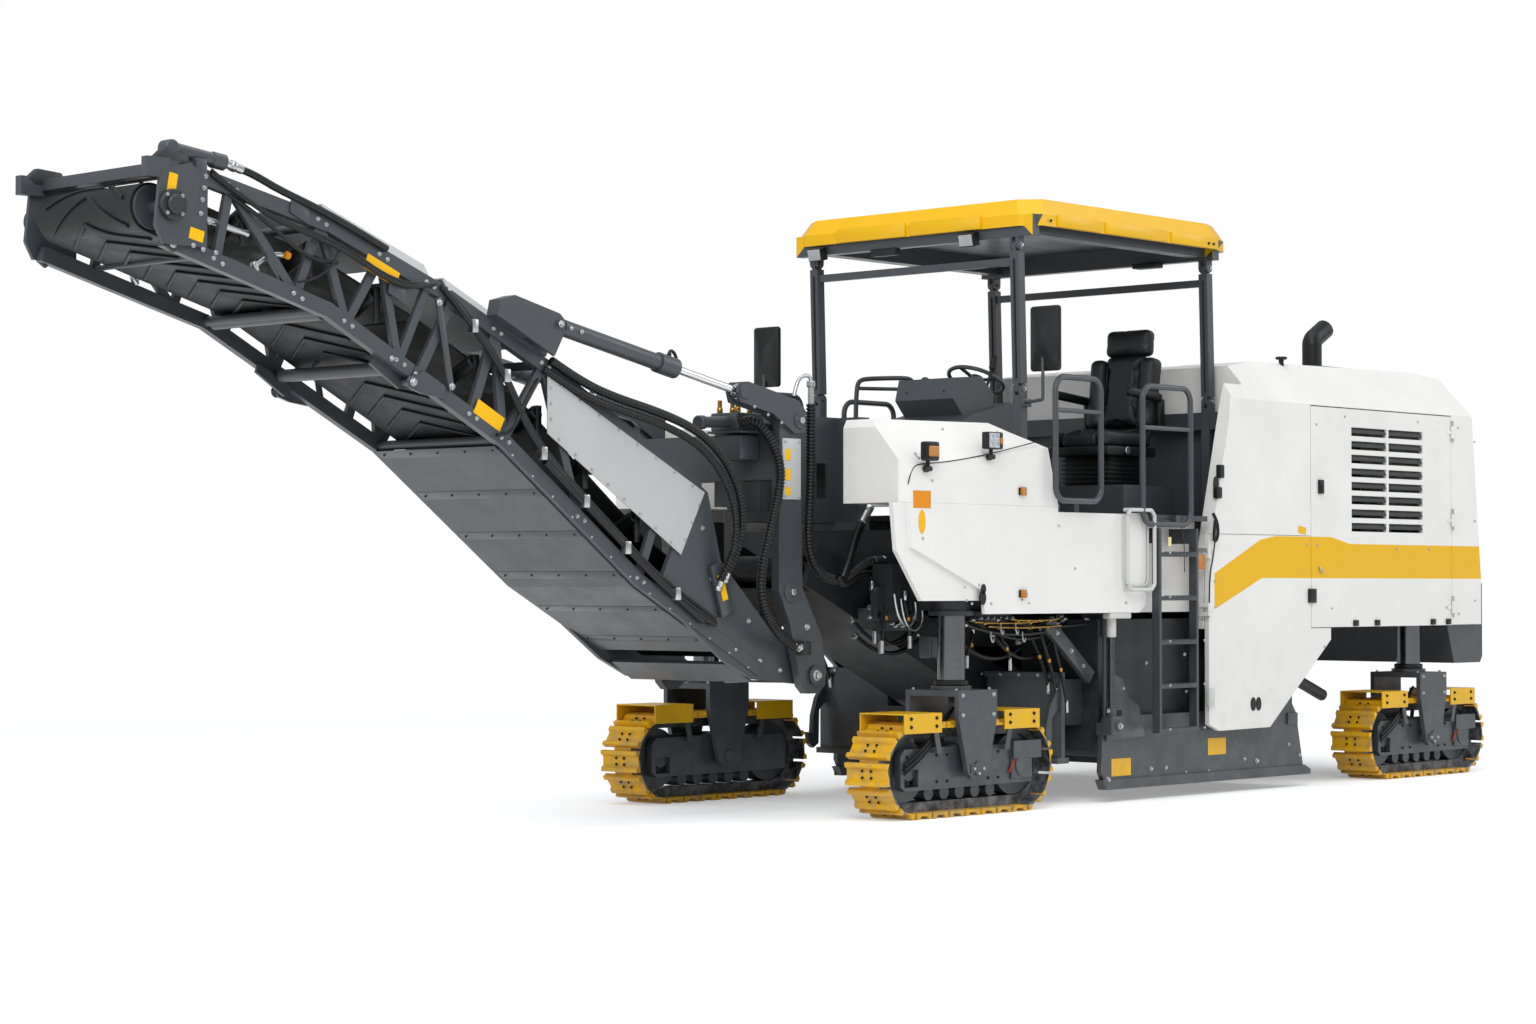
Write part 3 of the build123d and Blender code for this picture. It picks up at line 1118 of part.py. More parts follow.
def main():
    os.makedirs("parts", exist_ok=True)
    save_tracks()
    save("main_frame", make_main_frame())
    save("slew_bracket", make_slew_bracket())
    save("drum_housing", make_drum_housing())
    save("milling_drum", make_milling_drum())
    save("loading_conveyor", make_loading_conveyor()[0])
    save("loading_belt", make_loading_belt())
    save("hold_down", make_hold_down())
    save_pair("side_plate", make_side_plate())
    save("lift_cylinders", group(make_lift_barrels(), make_moldboard_barrels()))
    save("moldboard", make_moldboard())
    save("nose_hood", make_nose())
    save_pair("front_panel", make_front_panel())
    save("platform", group(make_platform(), make_canopy_stubs()))
    save("console", make_console())
    save("seat", make_seat())
    save("rails", group(*[both_sides(frame) for frame in make_rails()]))
    save("ladders", group(both_sides(make_ladder())))
    save("mirrors", group(both_sides(make_mirror())))
    save("lamps", group(make_lamps()))
    save("engine_hood", make_hood())
    save_pair("side_door", make_side_door())
    save_pair("engine_door", make_engine_door())
    save("engine_block", make_engine_block())
    save("tank", make_tank())
    save("rear_bumper", make_bumper())
    save("exhaust", make_exhaust())
    save("canopy_front_posts", canopy_frame(*CANOPY_POSTS[0]))
    save("canopy_rear_posts", canopy_frame(*CANOPY_POSTS[1]))
    save("canopy_roof", make_canopy_roof())
    save("mast", make_mast())
    sheets, belly, pan = make_rear_skins()
    save("conveyor_rear_frame", group(make_rear_frame(), make_tail_drum(), make_clevises()))
    save("conveyor_belly", group(belly, pan))
    save("conveyor_sheets", group(sheets, cover_along((2950, 2629), (3660, 2963), 500, 110)))
    save("conveyor_rear_belt", make_rear_belt())
    save("luff_barrels", make_luff_barrels())
    save("luff_rods", make_luff_rods())
    save("conveyor_front_frame", make_front_frame())
    save("conveyor_front_belt", make_front_belt())
    save("conveyor_front_cover", cover_along((3790, 3020), (4500, 3288), 500, 110))
    save("conveyor_head", make_head())


main()
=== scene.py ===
"""Looks of the cold planer milling machine: finishes, hoses, bolts, lamps, seat and studio.

Everything is in metres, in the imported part's own frame: +X towards the discharge conveyor,
+Y to the machine's left, +Z up. FRONT is where the front tracks' centre stands.
"""
import json
import math

import bpy
from mathutils import Matrix, Vector

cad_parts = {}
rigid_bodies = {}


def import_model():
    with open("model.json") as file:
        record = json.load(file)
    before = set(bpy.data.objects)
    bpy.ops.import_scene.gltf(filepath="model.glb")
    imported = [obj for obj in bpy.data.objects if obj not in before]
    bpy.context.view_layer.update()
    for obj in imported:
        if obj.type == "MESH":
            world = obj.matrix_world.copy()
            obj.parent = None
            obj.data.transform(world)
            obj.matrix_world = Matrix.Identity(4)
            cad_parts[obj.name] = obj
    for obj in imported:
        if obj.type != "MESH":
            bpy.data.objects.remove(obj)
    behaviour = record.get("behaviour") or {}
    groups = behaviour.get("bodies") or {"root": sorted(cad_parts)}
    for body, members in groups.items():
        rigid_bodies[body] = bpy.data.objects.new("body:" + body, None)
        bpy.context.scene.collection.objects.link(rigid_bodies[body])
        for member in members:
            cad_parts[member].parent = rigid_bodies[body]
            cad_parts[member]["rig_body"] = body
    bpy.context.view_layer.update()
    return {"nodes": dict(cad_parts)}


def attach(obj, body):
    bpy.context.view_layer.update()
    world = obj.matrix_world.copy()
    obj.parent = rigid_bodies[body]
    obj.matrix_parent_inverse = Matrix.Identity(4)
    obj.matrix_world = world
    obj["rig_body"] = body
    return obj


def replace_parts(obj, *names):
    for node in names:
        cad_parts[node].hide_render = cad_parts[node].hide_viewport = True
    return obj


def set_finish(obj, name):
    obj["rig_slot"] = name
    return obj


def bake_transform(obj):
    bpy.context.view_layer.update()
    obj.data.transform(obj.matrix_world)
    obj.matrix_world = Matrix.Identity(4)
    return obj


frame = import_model()
nodes = frame["nodes"]
FRONT = 0.27


# ---------------------------------------------------------------- node helpers
def linear(code):
    """Turns an sRGB hex colour to Blender's linear one."""
    values = [int(code[i:i + 2], 16) / 255 for i in (1, 3, 5)]
    return [v / 12.92 if v <= 0.04045 else ((v + 0.055) / 1.055) ** 2.4 for v in values] + [1.0]


def add(tree, kind, inputs=None, **settings):
    """Adds a shader node with its settings; an input is a value or another node's output."""
    made = tree.nodes.new(kind)
    for name, value in settings.items():
        setattr(made, name, value)
    for name, value in (inputs or {}).items():
        if isinstance(value, bpy.types.NodeSocket):
            tree.links.new(value, made.inputs[name])
        else:
            made.inputs[name].default_value = value
    return made


def blank(name):
    """A new material with only its shader."""
    finish = bpy.data.materials.new(name)
    finish.use_nodes = True
    tree = finish.node_tree
    tree.nodes.clear()
    shader = add(tree, "ShaderNodeBsdfPrincipled")
    output = add(tree, "ShaderNodeOutputMaterial", {"Surface": shader.outputs[0]})
    output.location = (300, 0)
    return finish, tree, shader


def spread(tree, value, low, high, new_low, new_high):
    """Moves a value from one range to another."""
    return add(tree, "ShaderNodeMapRange", {"Value": value, "From Min": low, "From Max": high,
                                            "To Min": new_low, "To Max": new_high}).outputs[0]


def mixed(tree, share, one, two):
    """Two colours mixed by a share."""
    node = add(tree, "ShaderNodeMix", {"Factor": share, 6: one, 7: two}, data_type="RGBA")
    return node.outputs[2]


def shades(code, light=0.0, dark=0.0):
    """A colour, and it made lighter or darker."""
    base = linear(code)
    return [min(1, v * (1 + light - dark)) for v in base[:3]] + [1.0]


# ---------------------------------------------------------------- finishes
def coated(name, code, roughness=0.34, coat=0.25, peel=0.06, stripe=None, wear=0.10, shine=0.5):
    """Two-pack spray paint on sheet steel: slight orange peel, faint dust low down, softened edges."""
    finish, tree, shader = blank(name)
    place = add(tree, "ShaderNodeTexCoord").outputs["Object"]
    parts = add(tree, "ShaderNodeSeparateXYZ", {"Vector": place})
    clouds = add(tree, "ShaderNodeTexNoise",
                 {"Vector": place, "Scale": 1.7, "Detail": 5.0, "Roughness": 0.6})
    colour = mixed(tree, spread(tree, clouds.outputs["Fac"], 0.35, 0.65, 0, 1), shades(code, dark=0.035),
                   shades(code, light=0.03))
    if stripe:
        colour = mixed(tree, stripe(tree, parts), colour, linear(YELLOW))
    grime = add(tree, "ShaderNodeTexNoise",
                {"Vector": place, "Scale": 9.0, "Detail": 6.0, "Roughness": 0.7})
    low = spread(tree, parts.outputs["Z"], 1.25, 0.0, 0.0, 1.0)
    dust = add(tree, "ShaderNodeMath",
               {0: low, 1: spread(tree, grime.outputs["Fac"], 0.42, 0.75, 0.0, wear * 3)},
               operation="MULTIPLY")
    colour = mixed(tree, dust.outputs[0], colour, linear("#77787a"))
    tree.links.new(colour, shader.inputs["Base Color"])
    rough = add(tree, "ShaderNodeTexNoise", {"Vector": place, "Scale": 6.0, "Detail": 3.0})
    tree.links.new(spread(tree, rough.outputs["Fac"], 0.3, 0.7, roughness - 0.05, roughness + 0.07),
                   shader.inputs["Roughness"])
    shader.inputs["Specular IOR Level"].default_value = shine
    shader.inputs["Coat Weight"].default_value = coat
    shader.inputs["Coat Roughness"].default_value = 0.12
    # orange peel is about 2 mm between crests, drawn at 5 mm so that it shows
    skin = add(tree, "ShaderNodeTexNoise", {"Vector": place, "Scale": 200.0, "Detail": 2.0})
    edge = add(tree, "ShaderNodeBevel", {"Radius": 0.005}, samples=4)
    bump = add(tree, "ShaderNodeBump",
               {"Height": skin.outputs["Fac"], "Strength": peel, "Distance": 0.002,
                "Normal": edge.outputs[0]})
    tree.links.new(bump.outputs[0], shader.inputs["Normal"])
    return finish


def metal(name, code, roughness, grain=0.25, scale=(1.0, 1.0, 60.0)):
    """Bare or plated metal with fine drawn lines."""
    finish, tree, shader = blank(name)
    place = add(tree, "ShaderNodeTexCoord").outputs["Object"]
    stretched = add(tree, "ShaderNodeMapping", {"Vector": place, "Scale": scale})
    lines = add(tree, "ShaderNodeTexNoise",
                {"Vector": stretched.outputs[0], "Scale": 6.0, "Detail": 6.0, "Roughness": 0.65})
    tree.links.new(mixed(tree, lines.outputs["Fac"], shades(code, dark=0.12), shades(code, light=0.08)),
                   shader.inputs["Base Color"])
    shader.inputs["Metallic"].default_value = 1.0
    tree.links.new(spread(tree, lines.outputs["Fac"], 0.2, 0.8, roughness - 0.05,
                          roughness + grain * 0.4), shader.inputs["Roughness"])
    edge = add(tree, "ShaderNodeBevel", {"Radius": 0.003}, samples=4)
    bump = add(tree, "ShaderNodeBump",
               {"Height": lines.outputs["Fac"], "Strength": grain * 0.3, "Distance": 0.001,
                "Normal": edge.outputs[0]})
    tree.links.new(bump.outputs[0], shader.inputs["Normal"])
    return finish


def moulded(name, code, roughness=0.55, pebble=0.25, scale=320.0):
    """Moulded rubber or plastic with a fine pebbled skin."""
    finish, tree, shader = blank(name)
    place = add(tree, "ShaderNodeTexCoord").outputs["Object"]
    clouds = add(tree, "ShaderNodeTexNoise", {"Vector": place, "Scale": 7.0, "Detail": 5.0})
    tree.links.new(mixed(tree, clouds.outputs["Fac"], shades(code, dark=0.25), shades(code, light=0.35)),
                   shader.inputs["Base Color"])
    tree.links.new(spread(tree, clouds.outputs["Fac"], 0.3, 0.7, roughness - 0.08, roughness + 0.1),
                   shader.inputs["Roughness"])
    grain = add(tree, "ShaderNodeTexVoronoi", {"Vector": place, "Scale": scale})
    edge = add(tree, "ShaderNodeBevel", {"Radius": 0.004}, samples=4)
    bump = add(tree, "ShaderNodeBump",
               {"Height": grain.outputs["Distance"], "Strength": pebble, "Distance": 0.001,
                "Normal": edge.outputs[0]})
    tree.links.new(bump.outputs[0], shader.inputs["Normal"])
    shader.inputs["Specular IOR Level"].default_value = 0.35
    return finish


WHITE = "#e6e5e1"
YELLOW = "#e6b200"
DARK = "#3c4145"

# the stripe's lower and upper edges as (x from the front tracks, height)
STRIPE_LOW = ((-2.56, 1.250), (-3.136, 1.464), (-6.20, 1.464))
STRIPE_TOP = ((-2.56, 1.494), (-3.113, 1.726), (-3.30, 1.755), (-4.015, 1.757), (-4.265, 1.710),
              (-6.20, 1.710))


def stripe_mask(tree, parts):
    """1 on the outer sides between the stripe's two edges."""
    def edge(points):
        far, near = points[-1][0] + FRONT, points[0][0] + FRONT
        along = spread(tree, parts.outputs["X"], far, near, 0.0, 1.0)
        curve = add(tree, "ShaderNodeFloatCurve", {"Value": along})
        line = curve.mapping.curves[0]
        places = [((x + FRONT - far) / (near - far), z - 1.0) for x, z in reversed(points)]
        for i, place in enumerate(places):
            if i in (0, len(places) - 1):
                line.points[0 if i == 0 else -1].location = place
            else:
                line.points.new(*place)
        for point in line.points:
            point.handle_type = "VECTOR"
        curve.mapping.update()
        return add(tree, "ShaderNodeMath", {0: curve.outputs[0], 1: 1.0}, operation="ADD").outputs[0]
    z = parts.outputs["Z"]
    side = add(tree, "ShaderNodeMath", {0: parts.outputs["Y"]}, operation="ABSOLUTE")
    tests = [add(tree, "ShaderNodeMath", {0: z, 1: edge(STRIPE_LOW)}, operation="GREATER_THAN"),
             add(tree, "ShaderNodeMath", {0: z, 1: edge(STRIPE_TOP)}, operation="LESS_THAN"),
             add(tree, "ShaderNodeMath", {0: side.outputs[0], 1: 1.2}, operation="GREATER_THAN"),
             add(tree, "ShaderNodeMath", {0: parts.outputs["X"], 1: -2.56 + FRONT}, operation="LESS_THAN")]
    result = tests[0].outputs[0]
    for test in tests[1:]:
        result = add(tree, "ShaderNodeMath", {0: result, 1: test.outputs[0]},
                     operation="MULTIPLY").outputs[0]
    return result


white = coated("white_two_pack_paint", WHITE, wear=0.08)
white_striped = coated("white_paint_with_yellow_stripe", WHITE, coat=0.1, stripe=stripe_mask, wear=0.08,
                       shine=0.3)
yellow = coated("yellow_two_pack_paint", YELLOW, roughness=0.36, coat=0.1, wear=0.12, shine=0.3)
dark = coated("slate_grey_structural_paint", DARK, roughness=0.42, coat=0.12, wear=0.10)
# near-black paint of the chassis; on the engine doors' louvres the same finish is painted shade
darker = coated("near_black_chassis_paint_and_louvre_shade", "#232629", roughness=0.5, coat=0.08, wear=0.10)
light_grey = coated("light_grey_sheet_paint", "#b4b6b5", roughness=0.4, coat=0.1)
shoe_paint = coated("yellow_paint_on_track_shoes", "#e4ae00", roughness=0.45, coat=0.1, wear=0.30,
                    shine=0.3)
dark_column = metal("ground_column_steel", "#6b6d70", 0.24, grain=0.05, scale=(1.0, 1.0, 8.0))
chrome = metal("hard_chrome_rod", "#d0d3d6", 0.12, grain=0.1)
cast = metal("rough_cast_iron", "#4a4c4e", 0.55, grain=0.6, scale=(6.0, 6.0, 6.0))
belt_rubber = moulded("conveyor_belt_rubber", "#131415", 0.5, 0.3, 260.0)
hose_rubber = moulded("corrugated_hose_plastic", "#121314", 0.34, 0.06)
black_plastic = moulded("black_moulded_plastic", "#101112", 0.42, 0.2)
pale_tube = coated("pale_grey_tube_paint", "#c9cac7", roughness=0.4, coat=0.15)
cream_label = coated("cream_foil", "#e8d79a", roughness=0.35, coat=0.3, peel=0.0)
zinc = metal("bright_zinc_plate", "#b9bcbd", 0.28, grain=0.15)
dark_zinc = metal("blackened_bolt_steel", "#3a3a3b", 0.45)
brass = metal("hydraulic_brass", "#b08a45", 0.3, grain=0.15)
mirror_glass = metal("silvered_mirror", "#c9ced2", 0.04, grain=0.0)
chain_steel = coated("oiled_black_chain", "#1d1e1f", roughness=0.5, coat=0.1, wear=0.5)
sticker_yellow = coated("blank_yellow_foil", "#ecb400", roughness=0.3, coat=0.1, peel=0.0, shine=0.3)
sticker_orange = coated("blank_orange_foil", "#e08a00", roughness=0.3, coat=0.1, peel=0.0, shine=0.3)
red_cable = moulded("red_cable_jacket", "#b3261e", 0.4, 0.05)
seat_vinyl = moulded("black_seat_vinyl", "#1f2021", 0.42, 0.35, 420.0)
seam_thread = moulded("grey_seam_thread", "#4a4b4d", 0.6, 0.1)
bright_reflector = metal("vapour_coated_reflector", "#e4e7ea", 0.1, grain=0.05)


def lens(name, code, rough, glow=0.0):
    """Moulded acrylic lens with fine inner prisms, 6 mm apart, so that it sparkles in soft light; glow is a
    faint painted glow that the lens gives off by itself.
    """
    finish, tree, shader = blank(name)
    place = add(tree, "ShaderNodeTexCoord").outputs["Object"]
    prisms = add(tree, "ShaderNodeTexWave", {"Vector": place, "Scale": 52.0, "Distortion": 0.0},
                 bands_direction="Z")
    fade = add(tree, "ShaderNodeTexNoise", {"Vector": place, "Scale": 12.0})
    tree.links.new(mixed(tree, fade.outputs["Fac"], shades(code, dark=0.2), shades(code, light=0.15)),
                   shader.inputs["Base Color"])
    shader.inputs["Roughness"].default_value = rough
    shader.inputs["IOR"].default_value = 1.49
    shader.inputs["Transmission Weight"].default_value = 0.35
    # the emission is a faint painted glow: the lens lights itself, also on the side reflector, which is no
    # lamp
    shader.inputs["Emission Color"].default_value = linear(code)
    shader.inputs["Emission Strength"].default_value = glow
    bump = add(tree, "ShaderNodeBump",
               {"Height": prisms.outputs["Fac"], "Strength": 0.35, "Distance": 0.002})
    tree.links.new(bump.outputs[0], shader.inputs["Normal"])
    return finish


# the amber lenses carry a faint painted glow of 0.02
amber = lens("amber_acrylic_lens_with_painted_glow", "#d08208", 0.12, 0.02)
clear = lens("clear_lamp_lens", "#c8ccd0", 0.08)

FINISHES = ((white, ("nose_hood", "front_panel_left", "front_panel_right")),
            (white_striped, ("engine_hood", "side_door_left", "side_door_right", "engine_door_left",
                             "engine_door_right")), (yellow, ("canopy_roof",)),
            (shoe_paint, ("track_front_left", "track_front_right", "track_rear_left",
                          "track_rear_right")), (dark,
            ("slew_bracket", "side_plate_left", "side_plate_right", "platform", "console", "ladders",
             "rear_bumper", "canopy_front_posts", "canopy_rear_posts", "mast", "conveyor_rear_frame",
             "conveyor_front_frame", "conveyor_head", "luff_barrels", "rails", "hold_down",
             "leg_front_left", "leg_front_right", "leg_rear_left", "leg_rear_right",
             "track_frame_front_left", "track_frame_front_right", "track_frame_rear_left",
             "track_frame_rear_right", "moldboard", "conveyor_belly")),
            (darker, ("main_frame", "drum_housing", "loading_conveyor", "lift_cylinders", "engine_block",
                      "tank")), (light_grey, ("conveyor_sheets", "conveyor_front_cover")),
            (chrome, ("luff_rods",)), (cast, ("milling_drum",)),
            (belt_rubber, ("loading_belt", "conveyor_rear_belt", "conveyor_front_belt")),
            (black_plastic, ("seat", "mirrors", "exhaust", "lamps")),)
for finish, names in FINISHES:
    for name in names:
        node = nodes[name]
        node.data.materials.clear()
        node.data.materials.append(finish)


# ---------------------------------------------------------------- modelling helpers
def clear_choice():
    """Leaves edit mode with nothing selected."""
    if bpy.context.object and bpy.context.object.mode != "OBJECT":
        bpy.ops.object.mode_set(mode="OBJECT")
    bpy.ops.object.select_all(action="DESELECT")


def choose(piece):
    """Makes a piece the only selected and the active one."""
    clear_choice()
    piece.select_set(True)
    bpy.context.view_layer.objects.active = piece


def settle(piece, name=None):
    """Puts a piece's place into its mesh."""
    choose(piece)
    bpy.ops.object.transform_apply(location=True, rotation=True, scale=True)
    if name:
        piece.name = name
        piece.data.name = name
    return piece


def bevelled(piece, width, rounds=2, angle=30):
    """Rounds the sharp edges of a piece."""
    choose(piece)
    soft = piece.modifiers.new("soft_edges", "BEVEL")
    soft.width = width
    soft.segments = rounds
    soft.limit_method = "ANGLE"
    soft.angle_limit = math.radians(angle)
    bpy.ops.object.modifier_apply(modifier=soft.name)
    bpy.ops.object.shade_smooth_by_angle(angle=math.radians(35))
    return piece


def faced_outwards():
    """Turns all faces of the mesh being edited outwards and leaves edit mode."""
    bpy.ops.mesh.select_all(action="SELECT")
    bpy.ops.mesh.normals_make_consistent(inside=False)
    bpy.ops.object.mode_set(mode="OBJECT")


def leaned(piece, pivot, angle):
    """Turns a piece's mesh in the side's plane about a point."""
    piece.data.transform(Matrix.Translation(pivot) @ Matrix.Rotation(math.radians(angle), 4, "Y")
                         @ Matrix.Translation(-pivot))
    return piece


def tilted(piece, place, angle):
    """Turns a mesh made round the origin in the side's plane and moves it to its place."""
    piece.data.transform(Matrix.Translation(place) @ Matrix.Rotation(math.radians(angle), 4, "Y"))
    return piece


def bar(name, low, high, edge=0.004):
    """A rectangular piece between two corners, with rounded edges."""
    clear_choice()
    middle = [(a + b) / 2 for a, b in zip(low, high)]
    size = [b - a for a, b in zip(low, high)]
    bpy.ops.mesh.primitive_cube_add(size=1, location=middle, scale=size)
    piece = settle(bpy.context.object, name)
    return bevelled(piece, min(edge, min(size) * 0.3)) if edge else piece


def round_bar(name, start, end, radius, sides=24, edge=0.002):
    """A round piece between two points, with rounded rims."""
    clear_choice()
    start, end = Vector(start), Vector(end)
    way = end - start
    bpy.ops.mesh.primitive_cylinder_add(vertices=sides, radius=radius, depth=way.length)
    piece = bpy.context.object
    piece.matrix_world = (Matrix.Translation((start + end) / 2)
                          @ way.to_track_quat("Z", "Y").to_matrix().to_4x4())
    settle(piece, name)
    return bevelled(piece, min(edge, radius * 0.3), 1) if edge else piece


def sheet_of(name, outline, low, high, edge=0.003):
    """A plate with an outline of (x, z) points, from y = low to y = high."""
    clear_choice()
    bpy.ops.mesh.primitive_circle_add(vertices=len(outline), radius=1, fill_type="NGON")
    piece = bpy.context.object
    for vertex, (x, z) in zip(piece.data.vertices, outline):
        vertex.co = (x, low, z)
    bpy.ops.object.mode_set(mode="EDIT")
    bpy.ops.mesh.select_all(action="SELECT")
    bpy.ops.mesh.extrude_region_move(TRANSFORM_OT_translate={"value": (0, high - low, 0)})
    faced_outwards()
    settle(piece, name)
    return bevelled(piece, edge) if edge else piece


def joined(name, pieces):
    """Many pieces as one."""
    clear_choice()
    for piece in pieces:
        piece.select_set(True)
    bpy.context.view_layer.objects.active = pieces[0]
    if len(pieces) > 1:
        bpy.ops.object.join()
    pieces[0].name = name
    pieces[0].data.name = name
    return pieces[0]


def copies(name, pattern, places):
    """A pattern at every place, as one piece; the pattern itself is dropped."""
    made = []
    for place in places:
        twin = bpy.data.objects.new(name, pattern.data.copy())
        twin.data.transform(place)
        if place.determinant() < 0:
            twin.data.flip_normals()
        bpy.context.scene.collection.objects.link(twin)
        made.append(twin)
    bpy.data.objects.remove(pattern)
    return joined(name, made)


def mirrored(piece):
    """Adds the piece's mirror image on the machine's other side."""
    choose(piece)
    twin = piece.modifiers.new("other_side", "MIRROR")
    twin.use_axis = (False, True, False)
    twin.use_clip = False
    twin.use_mirror_merge = False
    bpy.ops.object.modifier_apply(modifier=twin.name)
    return piece


def right_twin(piece):
    """The mirror image of a left-hand piece, as a piece of its own."""
    twin = bpy.data.objects.new(piece.name + "_right", piece.data.copy())
    twin.data.transform(Matrix.Diagonal((1, -1, 1, 1)))
    twin.data.flip_normals()
    bpy.context.scene.collection.objects.link(twin)
    return twin


def finished(piece, body, slot, finish):
    """Gives a piece its finish, its body and its slot."""
    piece.data.materials.clear()
    piece.data.materials.append(finish)
    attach(piece, body)
    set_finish(piece, slot)
    return piece


def at(x, y, z):
    """A point given from the front tracks' centre."""
    return Vector((x + FRONT, y, z))


def turned(x, y, z, axis=(0, 0, 1), spin=0.0, size=1.0):
    """A place whose Z looks along an axis."""
    look = Vector(axis).to_track_quat("Z", "Y").to_matrix().to_4x4()
    return Matrix.Translation(at(x, y, z)) @ look @ Matrix.Rotation(spin, 4, "Z") @ Matrix.Scale(size, 4)


def bolt_pattern():
    """One hexagon bolt head on a washer, 24 mm over the washer, looking along Z."""
    clear_choice()
    bpy.ops.mesh.primitive_cylinder_add(vertices=12, radius=0.013, depth=0.003, location=(0, 0, 0.0015))
    washer = settle(bpy.context.object, "washer")
    bpy.ops.mesh.primitive_cylinder_add(vertices=6, radius=0.0095, depth=0.008, location=(0, 0, 0.007))
    head = settle(bpy.context.object, "head")
    bpy.ops.object.mode_set(mode="EDIT")
    bpy.ops.mesh.select_all(action="DESELECT")
    bpy.ops.object.mode_set(mode="OBJECT")
    for face in head.data.polygons:
        face.select = face.normal.z > 0.9
    bpy.ops.object.mode_set(mode="EDIT")
    bpy.ops.mesh.inset(thickness=0.0016)
    bpy.ops.transform.translate(value=(0, 0, 0.0012))
    bpy.ops.object.mode_set(mode="OBJECT")
    return joined("bolt", [head, washer])


def bolts(name, body, places, finish=None):
    """Bolt heads at many places; each is (x, y, z, axis) or with a size."""
    spots = [turned(*p[:3], axis=p[3], spin=0.4 + i * 1.1, size=p[4] if len(p) > 4 else 1.0)
             for i, p in enumerate(places)]
    return finished(copies(name, bolt_pattern(), spots), body, "steel", finish or zinc)


def smooth_line(points, name):
    """A curve whose line follows the points smoothly."""
    curve = bpy.data.curves.new(name, "CURVE")
    curve.dimensions = "3D"
    spline = curve.splines.new("NURBS")
    spline.points.add(len(points) - 1)
    for place, point in zip(spline.points, points):
        place.co = (*point, 1)
    spline.order_u = 4
    spline.use_endpoint_u = True
    curve.resolution_u = 8
    line = bpy.data.objects.new(name, curve)
    bpy.context.scene.collection.objects.link(line)
    return line


def hose(name, points, radius, sides=3):
    """A smooth hose or pipe along points given from the front tracks' centre."""
    line = smooth_line([at(*p) for p in points], name)
    line.data.bevel_depth = radius
    line.data.bevel_resolution = sides
    line.data.use_fill_caps = True
    choose(line)
    bpy.ops.object.convert(target="MESH")
    piece = bpy.context.object
    bpy.ops.object.shade_smooth_by_angle(angle=math.radians(50))
    piece.name = name
    return piece


def corrugated(name, points, radius, pitch=0.021, groove=0.72):
    """A ribbed hose: one rib, arrayed and bent along its line."""
    line = smooth_line([at(*p) for p in points], name + "_line")
    line.data.resolution_u = 16
    clear_choice()
    bpy.ops.mesh.primitive_cylinder_add(vertices=20, radius=radius, depth=pitch, end_fill_type="NOTHING",
                                        location=(pitch / 2, 0, 0), rotation=(0, math.pi / 2, 0))
    rib = settle(bpy.context.object, name)
    bpy.ops.object.mode_set(mode="EDIT")
    bpy.ops.mesh.select_mode(type="EDGE")
    bpy.ops.mesh.select_all(action="DESELECT")
    bpy.ops.object.mode_set(mode="OBJECT")
    for edge in rib.data.edges:
        first, second = (rib.data.vertices[end].co.x for end in edge.vertices)
        edge.select = abs(first - second) > pitch / 2
    bpy.ops.object.mode_set(mode="EDIT")
    bpy.ops.mesh.subdivide(number_cuts=3)
    bpy.ops.mesh.select_all(action="DESELECT")
    bpy.ops.mesh.select_mode(type="VERT")
    bpy.ops.object.mode_set(mode="OBJECT")
    for vertex in rib.data.vertices:
        if vertex.co.x < pitch * 0.2 or vertex.co.x > pitch * 0.8:
            vertex.co.y *= groove
            vertex.co.z *= groove
    repeat = rib.modifiers.new("ribs", "ARRAY")
    repeat.fit_type = "FIT_CURVE"
    repeat.curve = line
    repeat.use_merge_vertices = True
    repeat.merge_threshold = 0.0005
    bend = rib.modifiers.new("bend", "CURVE")
    bend.object = line
    choose(rib)
    for step in ("ribs", "bend"):
        bpy.ops.object.modifier_apply(modifier=step)
    bpy.ops.object.shade_smooth_by_angle(angle=math.radians(60))
    bpy.data.objects.remove(line)
    return rib


def plate_on(name, x, y, z, length, height, angle=0.0, depth=0.0016, body="chassis", slot="yellow_paint",
             finish=None, facing=1):
    """A thin blank plate on a side, turned by an angle in the side's plane."""
    clear_choice()
    bpy.ops.mesh.primitive_cube_add(size=1, scale=(length, depth, height))
    piece = settle(bpy.context.object, name)
    bevelled(tilted(piece, at(x, y + facing * depth / 2, z), -angle), depth * 0.4, 1)
    return finished(piece, body, slot, finish or sticker_yellow)


SIDE = 1.25                      # outer faces of the body's sides


# ---------------------------------------------------------------- tracks
TRACKS = (("front_left", 0.0, 1), ("front_right", 0.0, -1), ("rear_left", -5.394, 1),
          ("rear_right", -5.394, -1))
TRACK_Y = 1.0475
TRACK_HALF = 0.534               # half the straight run between the wheels' centres
TRACK_MIDDLE = 0.2915
CHAIN_RADIUS = 0.2555
SHOES = 24


def shoe_stations():
    """For each shoe its (x, z) on the chain and the (x, z) way that it faces."""
    arc = math.pi * CHAIN_RADIUS
    straight = 2 * TRACK_HALF
    lap = 2 * straight + 2 * arc
    stations = []
    for i in range(SHOES):
        s = (i + 0.5) * lap / SHOES
        if s < straight:
            middle, turn = TRACK_HALF - s, math.pi
        elif s < straight + arc:
            middle, turn = -TRACK_HALF, math.pi + (s - straight) / CHAIN_RADIUS
        elif s < 2 * straight + arc:
            middle, turn = -TRACK_HALF + s - straight - arc, 0.0
        else:
            middle, turn = TRACK_HALF, (s - 2 * straight - arc) / CHAIN_RADIUS
        out = Vector((math.sin(turn), 0, math.cos(turn)))
        stations.append((Vector((middle, 0, TRACK_MIDDLE)) + out * (CHAIN_RADIUS - 0.008), out))
    return stations


